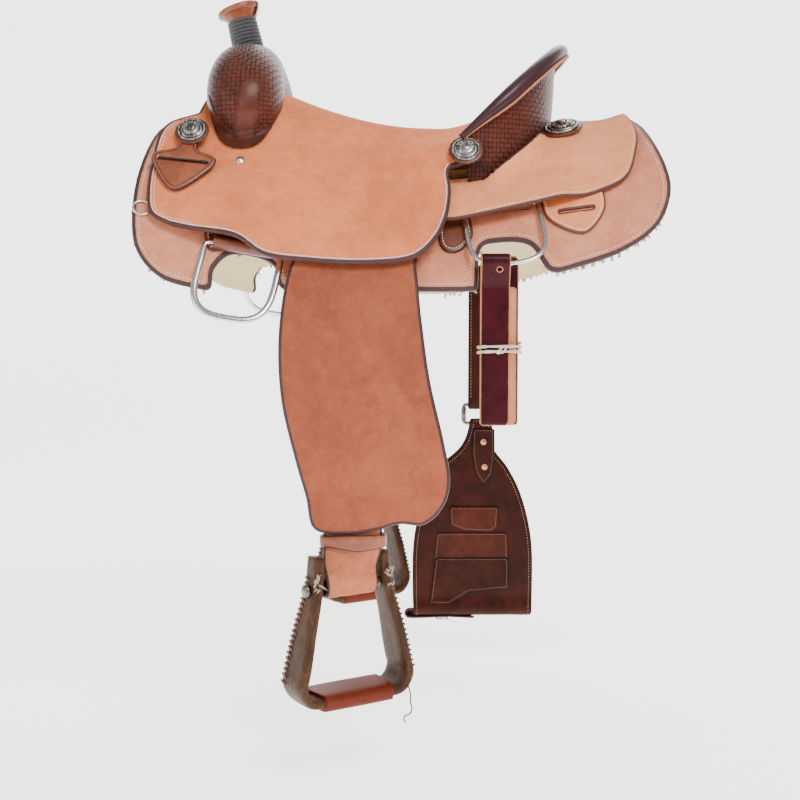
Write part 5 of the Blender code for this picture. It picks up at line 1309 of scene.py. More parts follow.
@dataclass
class Jockeys:
    """The one seat leather with its front jockeys, and the rear jockeys behind the cantle."""

    kit: Kit
    near_edge: tuple = (
        (-0.281, 0.082), (-0.321, 0.060), (-0.334, 0.010), (-0.332, -0.047),
        (-0.318, -0.074), (-0.274, -0.087), (-0.214, -0.097), (-0.173, -0.122), (-0.114, -0.130),
        (-0.050, -0.133), (0.013, -0.127), (0.045, -0.103), (0.062, -0.070), (0.068, -0.035),
        (0.066, -0.006), (0.078, 0.002), (0.107, 0.010),
    )
    rear_edge: tuple = (
        (0.048, -0.078), (0.072, -0.080), (0.132, -0.068), (0.210, -0.050), (0.276, -0.029),
        (0.306, -0.010), (0.322, 0.025), (0.330, 0.057), (0.325, 0.092),
    )
    fork_x: float = -0.216
    foot_half: float = 0.120
    foot_long: float = 0.070
    gullet_half: float = 0.045

    def seat_arc(self, x: float, y: float) -> float:
        """The arc where the seat's top is this far out."""
        arcs = np.arange(0.0, 0.4, 0.001)
        return float(np.interp(y, SEAT_SURFACE.point(np.full_like(arcs, x), arcs, SEAT)[:, 1], arcs))

    def seat_plan(self) -> Outline:
        """The whole seat leather's outline, both sides and the notch round the fork's foot."""
        drawn = Outline.curve(self.near_edge)
        laid = SEAT_SURFACE.arcs(Outline(drawn), Side.OFF, SEAT).points
        top = self.seat_arc(self.fork_x - self.foot_long / 2, self.gullet_half + 0.005)
        wide = self.seat_arc(self.fork_x, self.foot_half)
        front, back = self.fork_x - self.foot_long / 2, self.fork_x + self.foot_long / 2
        laid = laid[laid[:, 1] > top]
        last = laid[-1, 1]
        rim_s = np.linspace(last, -last, 160)
        rim = np.stack([np.maximum(SEAT_SURFACE.rear(rim_s), 0.112), rim_s], axis=1)
        off = np.vstack([[(front, wide), (front, top), (laid[0, 0] + 0.006, top)], laid])
        near = (off * (1, -1))[::-1]
        return Outline(np.vstack([[(back, -wide), (back, wide)], off, rim, near])).resampled(0.004)

    def build(self) -> None:
        """The seat and both rear jockeys."""
        kit = self.kit
        ring = SEAT_SURFACE.arc_at(-0.325, -0.044)
        stand = lambda x, s: 0.0030 * smooth((np.abs(s) - ring) / 0.010) * smooth((-0.296 - x) / 0.012)
        panel = Panel("seat_roughout", self.seat_plan(), stand, lambda x, s: stand(x, s) + SEAT,
                      kit.palette.seat, SEAT_SURFACE, 0.0085, 0.0010)
        set_on(panel.build(), "saddle", "jockey_leather", "seat_leather")
        for side in Side:
            hem = lambda x, s, side=side: (s * side > 0.10) & (x < 0.066)
            row = kit.sewn(f"{side.word}_seat_stitches", panel, 0.0095, kit.palette.stitch,
                           keep=lambda x, s, side=side: (s * side > 0.085) & (x < -0.268))
            set_on(row, "saddle", "jockey_leather")
            # A thin pale bead just inside the seat's dyed edge, on each side: a painted highlight line.
            line = panel.outline.inset(0.0058).resampled(0.003).points
            chosen = line[hem(line[:, 0], line[:, 1])]
            start = int(np.argmax(np.linalg.norm(np.roll(chosen, 1, axis=0) - chosen, axis=1)))
            bead_line = kit.rope(f"{side.word}_seat_bead", np.roll(chosen, -start, axis=0), panel,
                                 kit.palette.seat_line, 0.0008, 0.0001)
            set_on(bead_line, "saddle", "jockey_leather")
            self.rear(side)

    def rear(self, side: Side) -> None:
        """A rear jockey, cut round the cantle."""
        rim_x, long, half = RIM_X, RIM_LENGTH - 0.0072, RIM_HALF - 0.0020
        drawn = Outline.curve(self.rear_edge)
        arcs = SURFACE.arcs(Outline(drawn), Side.OFF, JOCKEY_IN + 0.006)
        turned_in = [(x, abs(s)) for x, s in arcs.points]
        x_last = turned_in[-1][0]
        back = [(x_last - 0.004, turned_in[-1][1] * 0.6), (x_last - 0.012, 0.0015), (0.290, 0.0015)]
        hole = [
            (rim_x + long * math.cos(a), arc_out(rim_x + long * math.cos(a), half * math.sin(a)
                                                 - 0.014 * float(smooth((a - 1.25) / 0.22)),
                                                 JOCKEY_IN + 0.010))
            for a in (math.pi / 2 * (k + 0.5) / 40 for k in range(40))
        ]
        corner = [(0.048, arc_out(0.048, half - 0.014, JOCKEY_IN + 0.010))]
        loop = np.array([*turned_in, *back, *hole, *corner]) * (1, side)
        rising = np.array([h for h in hole if h[0] > 0.112])
        tops = SURFACE.point(rising[:, 0], rising[:, 1], rear_jockey_in(*rising.T) + JOCKEY)[:, 2]
        lacks = 0.040 + 0.033 * ((rising[:, 0] - 0.096) / 0.10) ** 1.3 - tops
        lacks = np.clip(lacks, 0.0, 0.016) * smooth((rising[:, 0] - 0.112) / 0.020)

        def under(x: Array, s: Array) -> Array:
            """The underside, turned up where it meets the cantle."""
            away = np.hypot(np.subtract.outer(np.ravel(x), rising[:, 0]),
                            np.subtract.outer(np.abs(np.ravel(s)), rising[:, 1]))
            near = away.argmin(axis=1)
            lift = (lacks[near] * (1 - smooth(away.min(axis=1) / 0.022))
                    * (1 - smooth((np.ravel(x) - 0.190) / 0.018)))
            return rear_jockey_in(x, s) + lift.reshape(np.shape(x))

        panel = Panel(f"{side.word}_rear_jockey_roughout", Outline(loop).resampled(0.0035), under,
                      lambda x, s: under(x, s) + JOCKEY, self.kit.palette.jockey, step=0.0075)
        set_on(panel.build(), "saddle", "jockey_leather", f"{side.word}_rear_jockey")
        row = self.kit.sewn(f"{side.word}_rear_jockey_stitches", panel, 0.0060, self.kit.palette.stitch,
                            keep=lambda x, s: (np.abs(s) > 0.075) & (x > 0.10) & (
                                np.hypot((x - rim_x) / long, np.abs(s) / 0.175) > 1.12))
        set_on(row, "saddle", "jockey_leather")


@dataclass
class Fork:
    """The swell's stamped cover, the horn and its wrap, and the varnished tree below."""

    kit: Kit
    x: float = -0.216
    half: float = 0.157
    top: float = 0.187
    crown: float = 0.050
    foot: float = 0.030
    mid: float = 0.094
    wide: float = 0.112
    gullet: float = 0.105
    flap_from: float = 0.60
    flap: float = 0.0040
    horn: tuple[float, float] = (-0.2195, 0.176)
    lean: float = math.radians(13)
    neck: float = 0.0165
    cord: float = 0.0050

    def flap_y(self, x: float, z: float) -> float:
        """How far out the seat's top is at this place of the side view."""
        arcs = np.arange(0.02, 0.36, 0.002)
        spots = SEAT_SURFACE.point(np.full_like(arcs, x), arcs, SEAT)
        if z > spots[0, 2]:
            return 0.0
        return float(np.interp(-z, -spots[:, 2], spots[:, 1]))

    def spot(self, t: float, a: float, wall: bool) -> Vector:
        """A point of the cover at a share t of its half width and an angle round its section."""
        far, c, s = abs(t), math.cos(a), math.sin(a)
        end = math.sqrt(max(0.0, 1 - far**5))
        top = self.top - self.crown * far**2.6
        bottom = self.gullet - (self.gullet - self.foot) * float(smooth(far / 0.7))
        tall = (top - bottom) / 2 * end
        wide = (self.mid + (self.wide - self.mid) * float(smooth(far / 0.7))) / 2 * end
        power = 0.85 if s > 0 else 0.85 + 0.35 * float(smooth((far - 0.3) / 0.3))
        x = self.x + wide * math.copysign(abs(c) ** 0.85, c)
        z = (top + bottom) / 2 + tall * math.copysign(abs(s) ** power, s)
        z -= 0.010 * float(smooth((0.066 - z) / 0.030) * smooth((far - 0.35) / 0.2))
        y = far * self.half
        if far >= self.flap_from - 0.02 and s < 0.3:
            over = self.flap_y(x, z) + (0.0004 if wall else self.flap)
            soft = 0.010
            blend = max(0.0, min(1.0, 0.5 + 0.5 * (y - over) / soft))
            y = over + (y - over) * blend + soft * blend * (1 - blend) * (0 if wall else 1)
        return Vector((x, math.copysign(y, t) if t else 0.0, z))

    def cover(self) -> bpy.types.Object:
        """The cover's skin, with a map from each end's middle and the plain bands stored on it."""
        outer = [1 - (1 - self.flap_from) * (k / 22) ** 1.6 for k in range(23)]
        inner = [self.flap_from - 0.012 - (self.flap_from - 0.012) * k / 16 for k in range(17)]
        side = [(t, False) for t in outer] + [(self.flap_from, True)] + [(t, None) for t in inner]
        rows = [(-t, w) for t, w in side] + [(t, w) for t, w in reversed(side[:-1])]
        count, verts = 88, []
        for t, wall in rows:
            for k in range(count):
                a = math.tau * k / count - math.pi / 2
                verts.append(self.spot(t if wall is not None else t, a, bool(wall)))
        faces = []
        for i in range(len(rows) - 1):
            for k in range(count):
                m = (k + 1) % count
                faces.append((i * count + k, i * count + m, (i + 1) * count + m, (i + 1) * count + k))
        faces += [tuple(range(count))[::-1], tuple(range((len(rows) - 1) * count, len(rows) * count))]
        obj = new_mesh("swell_cover_leather", verts, faces)
        poles = {-1: Vector((self.x, -self.half, 0.083)), 1: Vector((self.x, self.half, 0.083))}
        uv, plain, wall_mark = [], [], []
        for v in verts:
            away = v - poles[-1 if v.y < 0 else 1]
            turn = math.atan2(away.z, away.x)
            uv.append((away.length * math.cos(turn), away.length * math.sin(turn)))
            plain.append(1.0 if self.is_plain(v) else 0.0)
        for t, wall in rows:
            wall_mark += [0.0 if wall else 0.01] * count
        plane_map(obj.data, np.array(uv))
        point_values(obj.data, "plain", plain)
        point_values(obj.data, "edge", wall_mark)
        obj.data.materials.append(self.kit.palette.stamped)
        return obj

    def is_plain(self, v: Vector) -> bool:
        """Whether a place lies in the smooth finger panel or the border band."""
        if abs(v.y) < 0.085:
            return False
        return self.finger(v.x, v.z) < 0.001 or v.z < np.interp(v.x, *zip(*self.border))

    border: tuple = (
        (-0.262, 0.100), (-0.254, 0.078), (-0.2415, 0.0588), (-0.2223, 0.0430), (-0.2005, 0.0430),
        (-0.1732, 0.0630), (-0.164, 0.080), (-0.160, 0.100),
    )

    def finger(self, x: float, z: float) -> float:
        """How far outside the finger panel a place is."""
        top = 0.104
        if z > top:
            return math.hypot(x + 0.2025, z - top) - 0.0125
        return abs(x + 0.2025 + 0.011 * (top - z) / 0.07) - 0.0125

    def build(self) -> None:
        """The cover with its raised lines, then the horn."""
        palette = self.kit.palette
        cover = self.cover()
        bm = bmesh.new()
        bm.from_mesh(cover.data)
        bmesh.ops.recalc_face_normals(bm, faces=bm.faces)
        tree = BVHTree.FromBMesh(bm)
        bm.to_mesh(cover.data)
        bm.free()
        set_on(cover, "saddle", "dark_stamped_leather", "swell_cover")
        lines = []
        for side in Side:
            for lift, finish in ((0.0, palette.dark_smooth), (0.0026, palette.dark_smooth)):
                half = 0.0125 + lift
                drawn = [(-0.2025 - 0.011 - half, 0.034)]
                drawn += [(-0.2025 - half * math.cos(a), 0.104 + half * math.sin(a))
                          for a in (math.pi * k / 12 for k in range(13))]
                drawn += [(-0.2025 - 0.011 + half, 0.034)]
                lines.append(self.line(drawn, side, tree, finish, 0.0009))
            inner = [(x, z) for x, z in self.border if abs(x + 0.2135) > 0.013]
            lines.append(self.line(inner[:3] + [(-0.2285, 0.0465)], side, tree, palette.dark_smooth,
                                   0.0010))
            lines.append(self.line([(-0.1985, 0.0445), *inner[-3:]], side, tree, palette.dark_smooth,
                                   0.0010))
        set_on(joined("swell_beads", lines), "saddle", "dark_stamped_leather")
        self.make_horn()
        for name, finish in (("fork_core", palette.tree), ("near_tree_bar", palette.tree),
                             ("off_tree_bar", palette.tree), ("cantle_core", palette.tree),
                             ("ground_seat", palette.russet)):
            carry(name, finish)

    def line(self, drawn: Sequence[tuple[float, float]], side: Side, tree: BVHTree,
             finish: bpy.types.Material, radius: float) -> bpy.types.Object:
        """A raised line laid on the cover, drawn in the side view."""
        spots = []
        for x, z in Outline.curve(drawn, 6):
            hit = tree.ray_cast(Vector((x, side * 0.30, z)), Vector((0, -side, 0)))[0]
            if hit is not None:
                spots.append(hit)
        return dressed(tube_along("bead_line", spots, radius, 6), finish)

    def horn_place(self) -> Matrix:
        """The horn's frame: its axis leans forward."""
        x, z = self.horn
        return Matrix.Translation((x, 0, z)) @ Matrix.Rotation(-self.lean, 4, "Y")

    def make_horn(self) -> None:
        """The post with its flare, the wound cord, and the cap with its cupped underside."""
        palette, place = self.kit.palette, self.horn_place()
        neck, flare = self.neck, self.neck + 0.0115
        post = [(0, -0.030), (flare + 0.001, -0.028), (flare + 0.001, -0.004), (flare, 0.0015),
                (neck + 0.005, 0.0045),
                (neck + 0.0005, 0.0085), (neck, 0.012), (neck, 0.052), (0, 0.052)]
        set_on(dressed(turned("horn_post_leather", fine(post), place), palette.russet), "saddle",
               "russet_leather",
               "horn_post")
        tilt = place @ Matrix.Translation((0, 0, 0.058)) @ Matrix.Rotation(math.radians(-6), 4, "Y")
        shape = [(0, -0.010), (0.0172, -0.010), (0.0185, -0.006), (0.0225, -0.0005), (0.0262, 0.0030),
                 (0.0272, 0.0044)]
        rim = [(0.0272 + 0.0042 * math.sin(a), 0.0093 - 0.0049 * math.cos(a))
               for a in (math.pi * k / 10 for k in range(1, 10))]
        crown = [(0.0272, 0.0142), (0.0240, 0.0136), (0.0200, 0.0128), (0.0100, 0.0124), (0, 0.0123)]
        cap = dressed(turned("cap", fine(shape, 3) + rim + crown, tilt, 64), palette.russet)
        strip = PathSurface(
            [tilt @ Vector(p) for p in ((0.0285, -0.004, 0.0135), (0.0312, -0.003, 0.0085),
                                        (0.0275, -0.002, 0.0015),
                                        (0.0215, 0.000, -0.0060), (0.0195, 0.002, -0.0105))],
            tilt.to_3x3() @ Vector((0, 1, 0)))
        overlap = Panel("overlap", Outline.polygon([(-0.010, 0), (0.011, 0), (0.008, strip.length),
                                                    (-0.006, strip.length)],
                                                   0.002), 0.0002, 0.0016, palette.russet_edged, strip,
                                                   0.004, 0.0005)
        set_on(joined("horn_cap_leather", [cap, overlap.build()]), "saddle", "russet_leather",
               "horn_cap_cover")
        radius, turns, pitch, points = neck + self.cord / 2 + 0.0003, 8, 0.0052, 28
        path = []
        for i in range(turns * points + 1):
            a = math.tau * i / points
            height = 0.0095 + pitch * i / points
            spread = radius + 0.0016 * (1 - i / (turns * points))
            path.append(place @ Vector((spread * math.cos(a), spread * math.sin(a), height)))
        wrap = dressed(tube_along("horn_wrap_cord", path, self.cord / 2 * 1.06, 10), palette.rubber)
        set_on(wrap, "saddle", "horn_rubber", "horn_wrap")


def fine(points: Sequence[tuple[float, float]], steps: int = 4) -> list[tuple[float, float]]:
    """A profile with short soft corners: each corner is cut and rounded."""
    done = [points[0]]
    for a, b, c in zip(points, points[1:], points[2:]):
        a, b, c = Vector(a), Vector(b), Vector(c)
        cut = min((b - a).length, (c - b).length, 0.004) * 0.45
        first, last = b + (a - b).normalized() * cut, b + (c - b).normalized() * cut
        done += [tuple(first.lerp(b, t).lerp(b.lerp(last, t),
                                             t)) for t in (k / steps for k in range(steps + 1))]
    return [*done, points[-1]]


def carry(name: str, finish: bpy.types.Material) -> None:
    """Give a solid that stays its finish."""
    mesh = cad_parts[name].data
    mesh.materials.clear()
    mesh.materials.append(finish)


@dataclass
class Cantle:
    """The roll along the cantle's rim, its binding strips and its stamped back."""

    kit: Kit

    @staticmethod
    def rim(a: float) -> tuple[Vector, Vector, Vector]:
        """A rim point with the directions out of the rim and out of its plane."""
        centre = Vector((RIM_X + RIM_LENGTH * math.cos(a), RIM_HALF * math.sin(a),
                         RIM_Z + RIM_RISE * math.cos(a)))
        tangent = Vector((-RIM_LENGTH * math.sin(a), RIM_HALF * math.cos(a),
                          -RIM_RISE * math.sin(a))).normalized()
        normal = Vector((-RIM_RISE, 0, RIM_LENGTH)).normalized()
        return centre, tangent.cross(normal).normalized(), normal

    def loft(self, name: str, section: Callable[[float, float], tuple[float, float]], sides: int,
             finish: bpy.types.Material) -> bpy.types.Object:
        """A closed section carried round the rim.

        Args:
            name: The piece's name.
            section: The outward and upward offset at an angle of the section and a size.
            sides: Points round the section.
            finish: Its material.

        Returns:
            The piece.
        """
        steps, verts, faces = 110, [], []
        for i in range(steps + 1):
            a = math.pi * (i / steps - 0.5) * 0.985
            centre, outward, normal = self.rim(a)
            size = 0.42 + 0.58 * float(smooth((math.pi / 2 - abs(a)) / 0.5))
            for k in range(sides):
                out, up = section(math.tau * k / sides, size)
                verts.append(centre + outward * out + normal * up)
        for i in range(steps):
            for k in range(sides):
                m = (k + 1) % sides
                faces.append((i * sides + k, i * sides + m, (i + 1) * sides + m, (i + 1) * sides + k))
        faces += [tuple(range(sides))[::-1], tuple(range(steps * sides, (steps + 1) * sides))]
        return dressed(new_mesh(name, verts, faces), finish)

    def build(self) -> None:
        """The roll, the strip between it and the seat, and the back."""
        palette = self.kit.palette
        half = ROLL_THICK / 2

        def main_roll(b: float, size: float) -> tuple[float, float]:
            """A flattened round that hangs lower than the rim."""
            return ROLL_WIDE * size * (0.42 * math.cos(b) - 0.03), size * (0.0115 * math.sin(b) - 0.0075)

        def lower_strip(b: float, size: float) -> tuple[float, float]:
            """The rubbed edge where the binding meets the back."""
            return ROLL_WIDE * size * (0.24 * math.cos(b) + 0.02), size * (0.0018 * math.sin(b) - 0.0188)

        def inner_strip(b: float, size: float) -> tuple[float, float]:
            """A thinner welt on the seat's side."""
            return ROLL_WIDE * size * (0.14 * math.cos(b) - 0.50), half * size * (0.50 * math.sin(b) + 0.02)

        def seam(b: float, size: float) -> tuple[float, float]:
            """A dark cord in the seam between the two."""
            return ROLL_WIDE * size * (0.045 * math.cos(b) - 0.385), half * size * (0.22 * math.sin(b) + 0.42)

        pieces = [self.loft("roll", main_roll, 28, palette.roll),
                  self.loft("welt", inner_strip, 16, palette.welt),
                  self.loft("seam", seam, 8, palette.dark_smooth),
                  self.loft("rubbed", lower_strip, 12, palette.orange_edge)]
        roll = joined("cantle_roll_leather", pieces)
        faced_out(roll)
        set_on(roll, "saddle", "russet_leather", "cantle_roll")
        self.back()

    def back(self) -> None:
        """The stamped back, from the roll down to the rear jockeys."""
        steps, rows, verts, faces, uv, plain = 120, 26, [], [], [], []
        for i in range(steps + 1):
            a = math.pi * (i / steps - 0.5) * 0.93
            y = (RIM_HALF - 0.0015) * math.sin(a)
            run = RIM_LENGTH * 1.05 * a
            high = RIM_Z + RIM_RISE * math.cos(a) - 0.010
            base = RIM_X + (RIM_LENGTH - 0.0015) * math.cos(a)
            arcs = np.arange(0.0, 0.3, 0.002)
            floor = SURFACE.point(np.full_like(arcs, base), arcs, np.full_like(arcs, JOCKEY_IN + 0.010))
            low = float(np.interp(abs(y), floor[:, 1], floor[:, 2])) - 0.004
            for k in range(rows + 1):
                z = low + (high - low) * k / rows
                lean = CANTLE_LEAN * (RIM_Z + RIM_RISE - z) / RIM_RISE
                shrink = (RIM_LENGTH - 0.0015 - lean) / (RIM_LENGTH - 0.0015)
                bulge = 0.0012 * math.sin(math.pi * k / rows)
                verts.append((RIM_X + (base - RIM_X) * shrink + bulge * math.cos(a),
                              y + bulge * math.sin(a), z))
                uv.append((run, z))
                plain.append(1.0 if min(k * (high - low) / rows, high - z) < 0.004 else 0.0)
        for i in range(steps):
            for k in range(rows):
                c = i * (rows + 1) + k
                faces.append((c, c + rows + 1, c + rows + 2, c + 1))
        back = dressed(new_mesh("cantle_back_leather", verts, faces), self.kit.palette.stamped)
        plane_map(back.data, np.array(uv))
        point_values(back.data, "plain", plain)
        thick = back.modifiers.new("Thickness", "SOLIDIFY")
        thick.thickness, thick.offset = 0.0030, -1
        bpy.context.view_layer.update()
        mesh = bpy.data.meshes.new_from_object(back.evaluated_get(bpy.context.evaluated_depsgraph_get()))
        back.modifiers.clear()
        back.data = mesh
        set_on(back, "saddle", "dark_stamped_leather", "cantle_back_cover")


@dataclass
class Rigging:
    """The rigging leathers rolled round the dees, the dees, and the small breast collar dees."""

    kit: Kit
    front: tuple = (
        (-0.252, -0.060), (-0.252, -0.108), (-0.230, -0.1155), (-0.175, -0.1155), (-0.150, -0.112),
        (-0.142, -0.095), (-0.142, -0.060), (-0.200, -0.050),
    )
    rear: tuple = (
        (0.052, -0.045), (0.052, -0.105), (0.074, -0.116), (0.096, -0.095), (0.100, -0.0575),
        (0.168, -0.0575), (0.176, -0.050), (0.176, -0.020), (0.052, -0.020),
    )
    tube_long: float = 0.080
    small: tuple = (-0.3275, -0.062, 0.0113, 0.0035)

    @staticmethod
    def dee_path(fine_steps: int = 40) -> list[Vector]:
        """The dee's centre line in its own frame."""
        half, corner, square = DEE_WIDE / 2 - DEE_BAR / 2, 0.008, 0.66
        deep = DEE_TALL - DEE_BAR / 2
        straight = deep * 0.42
        path = [Vector((half * t, 0, 0)) for t in (-0.80, -0.4, 0.0, 0.4, 0.80)]
        path += [Vector((half - corner * (1 - math.sin(a)), -corner * (1 - math.cos(a)), 0))
                 for a in (math.pi / 2 * k / 6 for k in range(7))]
        path += [Vector((half, -corner - (straight - corner) * t, 0)) for t in (0.33, 0.66, 1.0)]
        for i in range(1, fine_steps):
            a = math.pi * i / fine_steps
            c, drop = math.cos(a), (deep - straight) * math.sin(a) ** square
            path.append(Vector((half * math.copysign(abs(c) ** square, c), -straight - drop, 0)))
        path += [Vector((-half, -corner - (straight - corner) * t, 0)) for t in (1.0, 0.66, 0.33)]
        path += [Vector((-half + corner * (1 - math.cos(a)), -corner * (1 - math.sin(a)), 0))
                 for a in (math.pi / 2 * k / 6 for k in range(7))]
        return path

    def place(self, spot: tuple[float, float], side: Side) -> Matrix:
        """The frame of a dee whose top bar lies here."""
        return SURFACE.place(spot[0], side * SURFACE.arc_at(*spot, DEE_DEPTH), DEE_DEPTH)

    def build(self) -> None:
        """Both sides, front and rear."""
        for side in Side:
            for word, spot, outline in (("front", FRONT_DEE, self.front), ("rear", REAR_DEE, self.rear)):
                self.leather(f"{side.word}_{word}", side, spot, outline)
                place = self.place(spot, side)
                path = self.dee_path()
                spread = 0.0012 if word == "front" else 0.0
                widths = [DEE_BAR / 2 * 0.98 + spread * float(smooth((-q.y - 0.004) / 0.016)) for q in path]
                dee = tube_along(f"{side.word}_{word}_rigging_dee", [place @ q for q in path], widths, 16,
                                 True, 0.66,
                                 place.to_3x3() @ Vector((0, 0, 1)))
                set_on(dressed(dee, self.kit.palette.steel), f"{side.word}_{word}_dee", "dee_steel",
                       f"{side.word}_{word}_dee")
            x, z, radius, bar = self.small
            depth = SKIRT_OUT + GAP + (bar + 0.001) / 2
            place = SURFACE.place(x, side * SURFACE.arc_at(x, z, depth), depth)
            ring = [place @ Vector((-side * radius * (math.cos(a) - 1), radius * math.sin(a), 0))
                    for a in (math.tau * k / 48 for k in range(48))]
            dee = tube_along(f"{side.word}_breast_ring", ring, bar / 2 * 0.94, 12, True, 1.0,
                             place.to_3x3() @ Vector((0, 0, 1)))
            set_on(dressed(dee, self.kit.palette.steel), f"{side.word}_breast_dee", "dee_steel",
                   f"{side.word}_breast_dee")

    def leather(self, name: str, side: Side, spot: tuple[float, float], outline: tuple) -> None:
        """A plate sewn to the skirt and rolled round the dee's bar."""
        palette = self.kit.palette
        plan = SURFACE.arcs(Outline.through(outline, 0.003), side, TRIM_OUT).resampled(0.003)
        plate = Panel("plate", plan, TRIM_IN, TRIM_OUT, palette.rigging, step=0.006)
        place = self.place(spot, side)
        wall, reach = DEE_BORE + DEE_TUBE_WALL, self.tube_long / 2
        roll = turned("roll", [(DEE_BORE, -reach), (wall - 0.0007, -reach), (wall, -reach + 0.0009),
                               *[(wall, -reach + self.tube_long * k / 12) for k in range(1, 12)],
                               (wall, reach - 0.0009), (wall - 0.0007, reach), (DEE_BORE, reach),
                               (DEE_BORE, -reach)],
                      place @ Matrix.Rotation(math.pi / 2, 4, "Y"), 32)
        point_values(roll.data, "edge", [0.01] * len(roll.data.vertices))
        dressed(roll, palette.rigging)
        rows = self.kit.sewn("rows", plate, 0.0052, palette.stitch, 0.0046, 0.0032)
        set_on(joined(f"{name}_rigging_plate", [plate.build(), roll, rows]), "saddle", "rigging_leather",
               f"{name}_rigging_leather")


def evenly(points: Iterable[Sequence[float]], step: float) -> Array:
    """Points a step apart along an open line."""
    line = np.array([tuple(q) for q in points], float)
    run = np.concatenate([[0.0], np.cumsum(np.linalg.norm(np.diff(line, axis=0), axis=1))])
    spots = np.linspace(0, run[-1], max(3, int(run[-1] / step)))
    return np.stack([np.interp(spots, run, line[:, k]) for k in range(line.shape[1])], axis=1)


def arc_points(centre: Sequence[float], radius: float, start: float, end: float, steps: int = 12) -> list:
    """Points (y, z) of an arc, its angles in degrees."""
    angles = [math.radians(start + (end - start) * k / steps) for k in range(steps + 1)]
    return [(centre[0] + radius * math.cos(a), centre[1] + radius * math.sin(a)) for a in angles]


